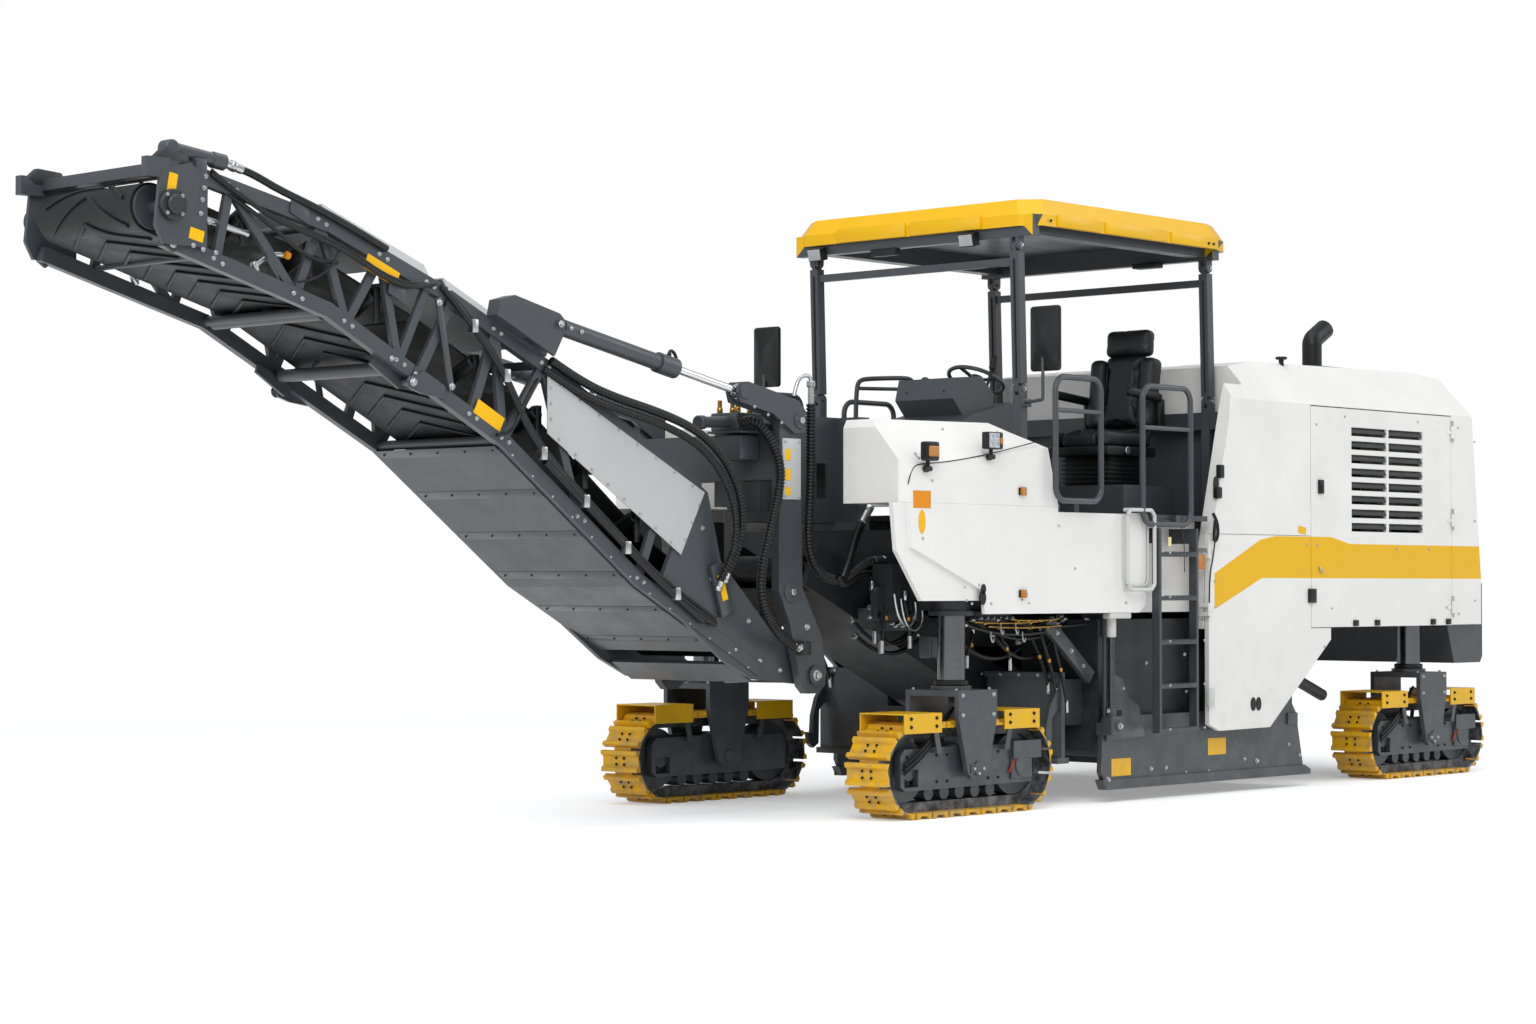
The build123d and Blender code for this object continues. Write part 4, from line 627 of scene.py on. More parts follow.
def dress_tracks():
    """Dark link chain under yellow shoes, with four bolts on each shoe."""
    for name, x, side in TRACKS:
        node = nodes["track_" + name]
        node.data.materials.append(chain_steel)
        for face in node.data.polygons:
            along = max(0.0, abs(face.center.x - x - FRONT) - TRACK_HALF)
            away = math.hypot(along, face.center.z - TRACK_MIDDLE)
            face.material_index = 1 if away < CHAIN_RADIUS - 0.003 else 0
        spots = []
        for spot, out in shoe_stations():
            way = Vector((out.z, 0, -out.x))
            for along in (-0.02, 0.02):
                for across in (-0.035, 0.035):
                    p = spot + way * along + out * 0.022
                    spots.append(turned(x + p.x, side * TRACK_Y + across, p.z, axis=out, size=0.7))
        finished(copies("shoe_bolts_" + name, bolt_pattern(), spots), "steered_leg_" + name, "steel",
                 dark_zinc)


def dress_legs():
    """Bolts and pin keepers of the yokes, drive hoses, sensor wires, end covers and column wipers."""
    for name, x, side in TRACKS:
        body = "steered_leg_" + name
        outer = side * (TRACK_Y + 0.2115)
        spots = [(x + dx, outer, 0.29 + dz, (0, side, 0), 1.1)
                 for dx, dz in ((-0.045, 0.0), (0.045, 0.0), (0.0, -0.03))]
        spots += [(x + dx, outer, z, (0, side, 0)) for dx in (-0.15, 0.15) for z in (0.62, 0.74)]
        spots += [(x + dx, side * TRACK_Y + dy, 0.77, (0, 0, 1)) for dx in (-0.16, 0.16)
                  for dy in (-0.17, 0.17)]
        bolts("yoke_bolts_" + name, body, spots)
        face = side * (TRACK_Y + 0.128)
        keeper = sheet_of("pin_keeper_" + name,
                          [(x + FRONT - 0.075, 0.262), (x + FRONT + 0.075, 0.262),
                           (x + FRONT + 0.075, 0.318), (x + FRONT - 0.075, 0.318)],
                          *sorted((outer, outer + side * 0.008)))
        finished(keeper, body, "dark_paint", dark)
        lines = []
        for dz, radius in ((0.0, 0.011), (0.028, 0.009), (-0.024, 0.008)):
            lines.append(hose("drive_hose",
                              [(x + 0.62, face + side * 0.012, 0.30 + dz),
                               (x + 0.52, face + side * 0.03, 0.36 + dz),
                               (x + 0.36, face + side * 0.03, 0.47 + dz),
                               (x + 0.22, face - side * 0.01, 0.58 + dz),
                               (x + 0.10, face - side * 0.03, 0.66)], radius))
        finished(joined("drive_hoses_" + name, lines), body, "rubber", hose_rubber)
        wires = [hose("wire", [(x - 0.60, face + side * 0.010, 0.30),
                               (x - 0.55, face + side * 0.018, 0.37 + d),
                               (x - 0.46, face + side * 0.018, 0.36 - d),
                               (x - 0.42, face + side * 0.016, 0.28 + d),
                               (x - 0.40, face + side * 0.006, 0.24)], 0.004) for d in (0.0, 0.018)]
        finished(joined("sensor_wires_" + name, wires), body, "rubber", red_cable)
        cover = bar("end_cover_" + name, at(x - 0.63, 0, 0.205)
                    + Vector((0, min(face, face + side * 0.014), 0)), at(x - 0.42, 0, 0.335)
                    + Vector((0, max(face, face + side * 0.014), 0)), 0.006)
        finished(cover, body, "dark_paint", dark)
        spots = [(x + dx, face, z, (0, side, 0), 0.8) for dx in (-0.3, -0.2, 0.2, 0.3, 0.5, 0.58)
                 for z in (0.22, 0.38)]
        bolts("frame_bolts_" + name, body, spots, dark_zinc)
        lip = side * (TRACK_Y + 0.1785)
        spots = [(x + end * dx, lip, z, (0, side, 0), 0.9) for end in (-1, 1) for dx in (0.36, 0.60)
                 for z in (0.56, 0.61)]
        bolts("guard_bolts_" + name, body, spots, dark_zinc)
        ring = round_bar("column_wiper_" + name, at(x, side * TRACK_Y, 0.794),
                         at(x, side * TRACK_Y, 0.83), 0.105, 40, 0.006)
        finished(ring, body, "rubber", black_plastic)


# ---------------------------------------------------------------- conveyor
DRUM_RADIUS = 0.126              # outer face of the belt round the discharge drum
DRUM_X, DRUM_Z = 5.555, 3.308    # the discharge drum's centre
BELT_LINES = {
    "front": ((3.955, 2.5595), (4.522, 2.851), (5.588, 3.1443)),
    "rear": ((3.262, 2.200), (3.281, 2.214), (3.945, 2.5545)),
}


def chevron_pattern():
    """One V-shaped rib of the belt: 660 mm across, 12 mm high, its point forward."""
    clear_choice()
    bpy.ops.mesh.primitive_plane_add(size=1, location=(0, 0, 0))
    rib = bpy.context.object
    for vertex, (x, y) in zip(rib.data.vertices,
                              ((-0.010, 0.0), (0.012, 0.0), (-0.20, 0.33), (-0.178, 0.33))):
        vertex.co = (x, y, 0.0)
    bpy.ops.object.mode_set(mode="EDIT")
    bpy.ops.mesh.select_all(action="SELECT")
    bpy.ops.mesh.subdivide(number_cuts=5)
    bpy.ops.mesh.extrude_region_move(TRANSFORM_OT_translate={"value": (0, 0, 0.012)})
    faced_outwards()
    settle(rib, "belt_rib")
    return mirrored(bevelled(rib, 0.003, 1))


def belt_point(distance, line, lift):
    """Place and direction on the belt's lower line, a distance along it."""
    for (ax, az), (bx, bz) in zip(line, line[1:]):
        length = math.hypot(bx - ax, bz - az)
        if distance <= length:
            ux, uz = (bx - ax) / length, (bz - az) / length
            return ax + ux * distance - uz * lift, az + uz * distance + ux * lift, ux, uz
        distance -= length
    return None


def belt_ribs():
    """Chevron ribs on the belt's return run and round the discharge drum."""
    for name, body in (("front", "conveyor_front"), ("rear", "conveyor_rear")):
        line = BELT_LINES[name]
        places = []
        distance = 0.19
        while True:
            found = belt_point(distance, line, 0.0400)
            if not found:
                break
            x, z, ux, uz = found
            along = Vector((ux, 0, uz))
            down = Vector((uz, 0, -ux))
            across = down.cross(along)
            frame_here = Matrix((along, across, down)).transposed().to_4x4()
            places.append(Matrix.Translation(at(x, 0, z)) @ frame_here)
            distance += 0.15
        finished(copies(f"belt_ribs_{name}", chevron_pattern(), places), body, "rubber", belt_rubber)
        if name == "front":
            drum_ribs(distance - sum(math.dist(a, b) for a, b in zip(line, line[1:])))


def drum_ribs(first):
    """Chevron ribs that follow the belt round the discharge drum, the first one that far along it."""
    slope = math.atan2(0.290, 1.054)
    ahead, below = (Vector((math.cos(slope), 0, math.sin(slope))),
                    Vector((math.sin(slope), 0, -math.cos(slope))))
    around = math.pi * DRUM_RADIUS
    made = []
    for step in range(4):
        rib = chevron_pattern()
        choose(rib)
        bpy.ops.object.mode_set(mode="EDIT")
        bpy.ops.mesh.select_all(action="SELECT")
        bpy.ops.mesh.subdivide(number_cuts=6)
        bpy.ops.object.mode_set(mode="OBJECT")
        for vertex in rib.data.vertices:
            x, y, z = vertex.co
            distance, reach = first + 0.15 * step + x, DRUM_RADIUS + z
            turn = min(max(distance, 0.0), around) / DRUM_RADIUS
            spoke = below * math.cos(turn) + ahead * math.sin(turn)
            rest = ahead * min(distance, 0.0) - ahead * max(distance - around, 0.0)
            vertex.co = at(DRUM_X, 0, DRUM_Z) + spoke * reach + rest + Vector((0, y, 0))
        bpy.ops.object.mode_set(mode="EDIT")
        faced_outwards()
        made.append(rib)
    finished(joined("belt_ribs_drum", made), "conveyor_front", "rubber", belt_rubber)


CHORD_FACE = 0.55                # outer face of the conveyor's side frames
SHEET_FACE = 0.555               # outer face of the side sheets between the chords
HEAD_FACE = 0.5725               # outer face of the plates at the discharge end
MAST_FACE = 0.625                # outer face of the mast's side plates
LOWER_CHORD = ((1.205, 0.905), (2.225, 1.443), (3.281, 2.214))


def collar(start, way, radius, length=0.06):
    """A crimped sleeve on a hose's end, with its hexagon."""
    start, way = Vector(start), Vector(way).normalized()
    end = start + way * length
    sleeve = round_bar("sleeve", at(*start), at(*end), radius, 24, 0.003)
    nut = round_bar("nut", at(*end), at(*(end + way * length * 0.45)), radius * 1.12, 6, 0.002)
    return [sleeve, nut]


def big_hoses():
    """The ribbed hose guards between conveyor, mast and front body, with their sleeves."""
    lines = []
    for k, (dx, dy, dz) in enumerate(((0, 0, 0), (0.045, -0.01, -0.05))):
        points = [(2.95, 0.565, 2.672), (2.72, 0.570, 2.560), (2.50, 0.60, 2.485), (2.28, 0.640, 2.435),
                  (2.05, 0.665, 2.375), (1.84, 0.675, 2.30), (1.66, 0.680, 2.17), (1.53, 0.680, 1.99),
                  (1.475, 0.675, 1.80), (1.50, 0.660, 1.63), (1.545, 0.605, 1.50)]
        lines.append(corrugated("guard", [(x + dx, y + dy, z + dz) for x, y, z in points],
                                0.026 - 0.003 * k))
    finished(joined("hose_guards_conveyor", lines), "conveyor_rear", "rubber", hose_rubber)
    ends = (collar((1.545, 0.605, 1.50), (0.2, -0.25, -1), 0.024, 0.05)
            + collar((1.59, 0.595, 1.45), (0.2, -0.25, -1), 0.021, 0.05))
    finished(joined("hose_sleeves_conveyor", ends), "conveyor_rear", "steel", zinc)
    guard = corrugated("hose_guard_mast",
                       [(1.25, 0.44, 2.395), (1.26, 0.50, 2.41), (1.235, 0.55, 2.40), (1.17, 0.605, 2.30),
                        (1.105, 0.64, 2.13), (1.135, 0.635, 1.96), (1.22, 0.665, 1.79),
                        (1.31, 0.68, 1.58), (1.35, 0.69, 1.44), (1.34, 0.69, 1.31), (1.25, 0.685, 1.18),
                        (1.13, 0.675, 1.09), (1.03, 0.665, 1.05)], 0.030)
    finished(guard, "mast", "rubber", hose_rubber)
    ends = (collar((1.035, 0.665, 1.052), (-1, -0.06, -0.25), 0.027, 0.05)
            + collar((1.25, 0.455, 2.395), (-0.1, -1, -0.1), 0.028, 0.03))
    finished(joined("hose_sleeves_mast", ends), "mast", "steel", zinc)
    elbow = bar("lower_elbow", at(0.895, 0.626, 0.99), at(0.965, 0.69, 1.075), 0.008)
    finished(elbow, "mast", "cast", cast)
    down = corrugated("hose_guard_slew",
                      [(0.80, 0.60, 2.52), (0.80, 0.60, 2.36), (0.802, 0.60, 2.15), (0.81, 0.60, 1.92),
                       (0.835, 0.60, 1.72), (0.80, 0.60, 1.55), (0.68, 0.60, 1.455), (0.52, 0.60, 1.435),
                       (0.40, 0.60, 1.50), (0.30, 0.60, 1.555), (0.22, 0.60, 1.565)], 0.030)
    second = corrugated("hose_guard_low",
                        [(0.60, 0.645, 1.475), (0.54, 0.62, 1.415), (0.44, 0.585, 1.42),
                         (0.33, 0.56, 1.475), (0.23, 0.555, 1.485)], 0.022)
    third = hose("hose_to_cavity",
                 [(0.53, 0.62, 1.45), (0.47, 0.60, 1.50), (0.41, 0.58, 1.60), (0.36, 0.58, 1.72),
                  (0.30, 0.58, 1.80)], 0.026)
    finished(joined("hose_guard_low", [second, third]), "chassis", "rubber", hose_rubber)
    down.data.materials.append(hose_rubber)
    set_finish(down, "rubber")
    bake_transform(down)
    ends = (collar((0.22, 0.60, 1.565), (-1, 0, 0.05), 0.027, 0.09)
            + collar((0.23, 0.555, 1.485), (-1, 0, 0), 0.020, 0.10)
            + collar((0.30, 0.58, 1.80), (-0.6, 0, 0.8), 0.026, 0.09))
    finished(joined("hose_sleeves_nose", ends), "chassis", "steel", zinc)
    stand = [round_bar("stand_tube", at(0.80, 0.60, 2.50), at(0.80, 0.60, 2.63), 0.020, 24, 0.003),
             round_bar("stand_head", at(0.80, 0.60, 2.62), at(0.80, 0.60, 2.66), 0.028, 24, 0.006)]
    stand.append(hose("stand_pipe",
                      [(0.80, 0.60, 2.645), (0.80, 0.60, 2.69), (0.86, 0.60, 2.70), (0.93, 0.60, 2.66),
                       (0.955, 0.60, 2.56)], 0.012))
    finished(joined("hose_stand", stand), "mast", "steel", zinc)


def mast_details():
    """Valve block with brass unions, cover plate, pins and plates of the mast."""
    shelf = bar("valve_shelf", at(0.96, 0.20, 2.3305), at(1.30, 0.48, 2.345), 0.003)
    body = bar("valve_body", at(1.05, 0.22, 2.345), at(1.29, 0.44, 2.455), 0.008)
    low = bar("valve_low", at(1.106, 0.24, 2.17), at(1.28, 0.46, 2.32), 0.012)
    port = round_bar("valve_port", at(1.285, 0.36, 2.40), at(1.55, 0.40, 2.385), 0.034, 28, 0.004)
    port_end = round_bar("valve_port_end", at(1.54, 0.40, 2.385), at(1.60, 0.41, 2.382), 0.042, 28, 0.006)
    finished(joined("valve_block", [shelf, body, low, port, port_end]), "mast", "dark_paint", dark)
    unions = []
    for x, y in ((1.09, 0.26), (1.09, 0.36), (1.18, 0.30), (1.24, 0.40), (1.25, 0.26)):
        unions.append(round_bar("union", at(x, y, 2.455), at(x, y, 2.49), 0.019, 6, 0.002))
        unions.append(round_bar("cap", at(x, y, 2.49), at(x, y, 2.535), 0.014, 20, 0.003))
    finished(joined("valve_unions", unions), "mast", "steel", brass)
    cover = bar("mast_cover_plate", at(0.935, 0.6255, 1.93), at(1.095, 0.640, 2.30), 0.006)
    finished(cover, "mast", "grey_metal", light_grey)
    for k, z in enumerate((2.20, 2.08, 1.98)):
        plate_on("mast_sticker", 1.055, 0.640, z, 0.05, 0.07 if k < 2 else 0.05, body="mast")
    for side in (-1, 1):
        face = side * MAST_FACE
        big = [(0.80, side * 0.641, 0.865, 2.6), (1.01, face, 1.372, 2.4),
               (0.955, side * 0.647, 2.41, 2.4), (0.90, face, 1.05, 1.6), (0.87, face, 1.16, 1.6)]
        bolts("mast_pins_" + ("left" if side > 0 else "right"), "mast",
              [(x, y, z, (0, side, 0), s) for x, y, z, s in big])
        disc = [round_bar("disc", at(x, y, z), at(x, y + side * 0.008, z), r, 32, 0.003)
                for x, y, z, r in ((1.01, face, 1.372, 0.062), (0.955, side * 0.647, 2.41, 0.050),
                                   (1.442, side * 0.647, 2.564, 0.045),
                                   (0.80, side * 0.640, 0.865, 0.058))]
        finished(joined("mast_pin_discs_" + ("left" if side > 0 else "right"), disc), "mast",
                 "dark_paint", dark)
    spots = [(1.30 + dx, 0.6475, 2.455 + dx * 0.36, (0, 1, 0), 0.8) for dx in (-0.18, -0.06, 0.06)]
    spots += [(x, 0.640, z, (0, 1, 0), 0.7) for x in (0.95, 1.08) for z in (1.95, 2.28)]
    bolts("mast_small_bolts", "mast", spots)


def along_chord(line, share):
    """Place and slope at a share of a chord's length."""
    total = sum(math.dist(a, b) for a, b in zip(line, line[1:]))
    distance = share * total
    for (ax, az), (bx, bz) in zip(line, line[1:]):
        length = math.hypot(bx - ax, bz - az)
        if distance <= length + 1e-6:
            part = distance / length
            return ax + (bx - ax) * part, az + (bz - az) * part, math.degrees(math.atan2(bz - az, bx - ax))
        distance -= length
    return line[-1][0], line[-1][1], 0.0


def conveyor_bolts():
    """Pairs of bolts where posts meet the chords, and along the sheets' rims."""
    joints_rear = [(2.225, 1.443), (3.281, 2.214), (3.52, 2.336), (3.905, 2.534), (2.979, 2.644),
                   (3.34, 2.813), (3.655, 2.96), (2.70, 1.79)]
    joints_front = [(4.04, 2.603), (4.40, 2.788), (4.735, 2.910), (5.249, 3.051), (3.83, 3.035),
                    (4.16, 3.159), (4.577, 3.309), (5.163, 3.434)]
    for name, body, joints in (("rear", "conveyor_rear", joints_rear),
                               ("front", "conveyor_front", joints_front)):
        spots = []
        for side in (-1, 1):
            for x, z in joints:
                for d in (-0.028, 0.028):
                    spots.append((x + d, side * CHORD_FACE, z + d * 0.45, (0, side, 0)))
        bolts("chord_bolts_" + name, body, spots)
    spots = []
    for side in (-1, 1):
        for t in range(8):
            s = (t + 0.5) / 8
            spots.append((1.72 + (2.94 - 1.72) * s, side * SHEET_FACE, 1.955 + (2.57 - 1.955) * s,
                          (0, side, 0), 0.7))
            spots.append((1.91 + (2.94 - 1.91) * s, side * SHEET_FACE, 1.625 + (2.27 - 1.625) * s,
                          (0, side, 0), 0.7))
        for t in range(3):
            s = (t + 0.5) / 3
            spots.append((2.94, side * SHEET_FACE, 2.30 + 0.26 * s, (0, side, 0), 0.7))
            spots.append((1.715 + 0.17 * s, side * SHEET_FACE, 1.93 - 0.30 * s, (0, side, 0), 0.7))
        for x, z in ((1.02, 0.90), (1.20, 0.96), (1.42, 1.03), (1.30, 1.20), (1.62, 1.45), (1.70, 1.75)):
            spots.append((x, side * 0.542, z, (0, side, 0), 1.2))
        for t in range(13):
            x, z = along_chord(LOWER_CHORD, (t + 0.5) / 13)[:2]
            spots.append((x + 0.02, side * CHORD_FACE, z - 0.026, (0, side, 0), 0.55))
    bolts("sheet_bolts", "conveyor_rear", spots)


def belly_seams():
    """Lapped seams and their bolt rows across the belly plates."""
    strips, spots = [], []
    for k in range(6):
        x, z, slope = along_chord(LOWER_CHORD, 0.20 + k * 0.158)
        nx, nz = math.sin(math.radians(slope)), -math.cos(math.radians(slope))
        depth = 0.0485
        strip = bar("seam", Vector((-0.035, -0.505, -0.0015)), Vector((0.035, 0.505, 0.0015)), 0.001)
        strips.append(tilted(strip, at(x + nx * depth, 0, z + nz * depth), -slope))
        for y in (-0.46, -0.23, 0.0, 0.23, 0.46):
            spots.append((x + nx * (depth + 0.0015), y, z + nz * (depth + 0.0015), (nx, 0, nz), 0.6))
    finished(joined("belly_seams", strips), "conveyor_rear", "dark_paint", dark)
    bolts("belly_bolts", "conveyor_rear", spots, dark_zinc)


def conveyor_stickers():
    """Blank plates on the chords, the head plates and the hose box."""
    plate_on("chord_plate_rear", 3.40, CHORD_FACE, 2.345, 0.22, 0.085, 27, body="conveyor_rear")
    plate_on("chord_plate_front", 4.17, CHORD_FACE, 3.085, 0.24, 0.085, 22, body="conveyor_front")
    plate_on("head_plate", 5.55, HEAD_FACE, 3.42, 0.055, 0.095, 10, body="conveyor_front")
    plate_on("head_plate_low", 5.40, HEAD_FACE, 3.17, 0.09, 0.06, 12, body="conveyor_front")
    plate_on("head_plate_far", 5.56, -HEAD_FACE, 3.42, 0.055, 0.095, 10, body="conveyor_front", facing=-1)
    box = bar("hose_box", Vector((-0.05, 0, -0.16)), Vector((0.05, 0.035, 0.16)), 0.01)
    finished(tilted(box, at(1.56, 0.5425, 1.385), 18), "conveyor_rear", "dark_paint", dark)
    plate_on("hose_box_plate", 1.56, 0.5775, 1.40, 0.05, 0.16, -18, body="conveyor_rear")


def conveyor_lines():
    """Hoses and cables clipped along the conveyor's left side, and its cross rollers."""
    rear = []
    for k in range(3):
        off = 0.018 * k
        pts = [(1.62, 0.575, 1.18 + off), (1.84, 0.575 + 0.004 * k, 1.27 + off * 1.6),
               (2.10, 0.575, 1.43 + off), (2.42, 0.575, 1.665 + off * 1.4), (2.75, 0.575, 1.93 + off),
               (3.02, 0.575, 2.145 + off), (3.17, 0.575, 2.32 + off * 1.5), (3.26, 0.573, 2.50 + off),
               (3.38, 0.572, 2.66 + off), (3.52, 0.572, 2.80 + off), (3.66, 0.572, 2.94 + off),
               (3.76, 0.56, 3.03)]
        rear.append(hose("side_line", pts, (0.016, 0.011, 0.009)[k]))
    rear.append(hose("side_pipe",
                     [(1.72, 0.572, 1.20), (2.0, 0.572, 1.375), (2.225, 0.572, 1.53), (2.62, 0.572, 1.82),
                      (3.0, 0.572, 2.10)], 0.019))
    rear.append(hose("side_loop",
                     [(3.05, 0.565, 2.56), (3.14, 0.58, 2.47), (3.20, 0.58, 2.33), (3.27, 0.58, 2.24),
                      (3.36, 0.57, 2.24)], 0.010))
    finished(joined("side_hoses_rear", rear), "conveyor_rear", "rubber", hose_rubber)
    front = []
    for k in range(2):
        off = 0.02 * k
        pts = [(3.80, 0.56, 3.04), (3.95, 0.572, 3.00 + off), (4.15, 0.572, 3.02 + off),
               (4.40, 0.572, 3.16 + off), (4.70, 0.572, 3.24 + off), (4.95, 0.572, 3.30),
               (5.15, 0.57, 3.41), (5.30, 0.56, 3.49 + off)]
        front.append(hose("front_line", pts, (0.013, 0.008)[k]))
    front.append(hose("front_loop",
                      [(4.46, 0.56, 3.20), (4.50, 0.575, 3.08), (4.60, 0.575, 3.0), (4.75, 0.572, 2.98)],
                      0.007))
    finished(joined("side_hoses_front", front), "conveyor_front", "rubber", hose_rubber)
    clips = []
    for x, z in ((1.95, 1.355), (2.36, 1.62), (2.69, 1.88), (3.02, 2.14), (3.30, 2.56), (3.54, 2.82)):
        clips.append(bar("clip", at(x - 0.022, 0.551, z - 0.03), at(x + 0.022, 0.597, z + 0.045), 0.006))
    clips += [round_bar("clip_screw", at(x, 0.597, z + 0.03), at(x, 0.607, z + 0.03), 0.007, 6, 0.001)
              for x, z in ((1.95, 1.355), (2.36, 1.62), (2.69, 1.88), (3.02, 2.14))]
    finished(joined("hose_clips", clips), "conveyor_rear", "steel", zinc)
    rollers = []
    for x, z in ((4.50, 2.845), (4.04, 2.58)):
        rollers.append(round_bar("roller", at(x, -0.46, z - 0.005), at(x, 0.46, z - 0.005), 0.036, 32,
                                 0.004))
    finished(joined("return_rollers_front", rollers), "conveyor_front", "grey_metal", dark)


# ---------------------------------------------------------------- lamps, mirrors and seat
def rounded(piece, width, rounds=5):
    """Big soft corners, for moulded housings."""
    return bevelled(piece, width, rounds, 40)


def lamps():
    """Beacon, work lamp, markers and rear lamps of both sides, in their CAD places."""
    side = SIDE + 0.0003
    black, glass, bulbs, plain = [], [], [], []
    body = rounded(bar("beacon", at(0.440, side + 0.006, 2.162), at(0.554, side + 0.072, 2.278), 0), 0.014)
    black.append(body)
    glass.append(rounded(bar("beacon_lens", at(0.449, side + 0.012, 2.186),
                             at(0.545, side + 0.078, 2.252), 0), 0.008))
    black.append(rounded(bar("work_lamp", at(-0.187, side + 0.006, 2.252),
                             at(-0.039, side + 0.064, 2.358), 0), 0.010))
    plain.append(rounded(bar("work_lens", at(-0.144, side + 0.060, 2.259),
                             at(-0.046, side + 0.070, 2.351), 0), 0.004))
    glass.append(rounded(bar("turn_lens", at(-0.180, side + 0.060, 2.285),
                             at(-0.152, side + 0.070, 2.325), 0), 0.004))
    for dx in (-0.119, -0.071):
        for z in (2.281, 2.329):
            bulbs.append(round_bar("reflector", at(dx, side + 0.058, z), at(dx, side + 0.0715, z), 0.019,
                                   20, 0.003))
    for x, seat in ((0.497, 2.115), (-0.113, 2.205)):
        black.append(round_bar("lamp_foot", at(x, side, seat), at(x, side + 0.022, seat), 0.022, 24))
        black.append(round_bar("lamp_post", at(x, side + 0.022, seat - 0.015),
                               at(x, side + 0.022, seat + 0.055), 0.013, 20))
        black.append(round_bar("lamp_knob", at(x - 0.03, side + 0.022, seat),
                               at(x + 0.034, side + 0.022, seat), 0.016, 12))
    for x, z in ((-0.45, 2.0), (-0.45, 1.36)):
        black.append(rounded(bar("marker_base", at(x - 0.034, side, z - 0.024),
                                 at(x + 0.034, side + 0.008, z + 0.024), 0), 0.004))
        glass.append(rounded(bar("marker_lens", at(x - 0.030, side + 0.006, z - 0.026),
                                 at(x + 0.026, side + 0.022, z + 0.026), 0), 0.007))
    for z in (1.18, 1.33):
        black.append(round_bar("rear_base", at(-6.2153, 1.08, z), at(-6.228, 1.08, z), 0.045, 28))
        glass.append(round_bar("rear_lens", at(-6.226, 1.08, z), at(-6.245, 1.08, z), 0.039, 28, 0.008))
    for name, parts, slot, finish in (("lamp_housings", black, "black_plastic", black_plastic),
                                      ("lamp_amber_lenses", glass, "amber", amber),
                                      ("lamp_clear_lenses", plain, "chrome", clear),
                                      ("lamp_reflectors", bulbs, "chrome", bright_reflector)):
        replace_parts(finished(mirrored(joined(name, parts)), "chassis", slot, finish), "lamps")


def mirrors():
    """Mirror heads with tapered backs, silvered faces and their clamps."""
    shells, faces, clamps = [], [], []
    back = rounded(bar("mirror_shell", at(-0.790, 1.084, 2.772), at(-0.742, 1.316, 3.188), 0), 0.022)
    shells.append(back)
    clear_choice()
    bpy.ops.mesh.primitive_cone_add(vertices=4, radius1=0.14, radius2=0.045, depth=0.036,
                                    rotation=(0, math.pi / 2, 0))
    taper = settle(bpy.context.object, "mirror_taper")
    taper.data.transform(Matrix.Rotation(math.pi / 4, 4, "X"))
    taper.data.transform(Matrix.Translation(at(-0.726, 1.2, 2.98)) @ Matrix.Diagonal((1, 1.08, 1.95, 1)))
    shells.append(bevelled(taper, 0.006, 2))
    faces.append(rounded(bar("mirror_face", at(-0.796, 1.100, 2.790), at(-0.788, 1.300, 3.170), 0.0),
                         0.003, 2))
    clamps.append(bar("mirror_clamp", at(-0.752, 1.172, 2.945), at(-0.712, 1.228, 3.005), 0.006))
    stalk = hose("mirror_stalk",
                 [(-0.734, 1.2, 2.96), (-0.734, 1.2, 2.74), (-0.734, 1.2, 2.60), (-0.734, 1.197, 2.592),
                  (-0.742, 1.185, 2.590), (-0.80, 1.09, 2.590), (-0.905, 0.94, 2.590),
                  (-0.93, 0.92, 2.590)], 0.011, 3)
    clamps.append(stalk)
    clamps.append(bar("stub_clamp", at(-0.972, 0.8985, 2.564), at(-0.888, 0.928, 2.616), 0.005))
    for name, parts, slot, finish in (("mirror_shells", shells, "black_plastic", black_plastic),
                                      ("mirror_faces", faces, "chrome", mirror_glass),
                                      ("mirror_stalks", clamps, "black_plastic", dark)):
        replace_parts(finished(mirrored(joined(name, parts)), "chassis", slot, finish), "mirrors")


def cushion(name, low, high, corner, lean=0.0, pivot=(0, 0, 0)):
    """One block of the seat, rounded, leaned back and remeshed evenly."""
    block = rounded(bar(name, at(*low), at(*high), 0), corner, 4)
    if lean:
        leaned(block, at(*pivot), lean)
    choose(block)
    skin = block.modifiers.new("even_mesh", "REMESH")
    skin.mode = "VOXEL"
    skin.voxel_size = 0.012
    bpy.ops.object.modifier_apply(modifier=skin.name)
    return block


def blown(piece, pressure=4.0, most=0.026, frames=20):
    """Inflates the cushion with a short cloth run, keeping every point near its start."""
    choose(piece)
    start = [v.co.copy() for v in piece.data.vertices]
    cloth = piece.modifiers.new("foam", "CLOTH")
    cloth.settings.use_pressure = True
    cloth.settings.uniform_pressure_force = pressure
    cloth.settings.quality = 5
    cloth.settings.effector_weights.gravity = 0
    cloth.point_cache.frame_start = 1
    cloth.point_cache.frame_end = frames
    for step in range(1, frames + 1):
        bpy.context.scene.frame_set(step)
    bpy.ops.object.modifier_apply(modifier=cloth.name)
    bpy.context.scene.frame_set(1)
    for vertex, before in zip(piece.data.vertices, start):
        moved = vertex.co - before
        if moved.length > most:
            vertex.co = before + moved.normalized() * most
    return piece


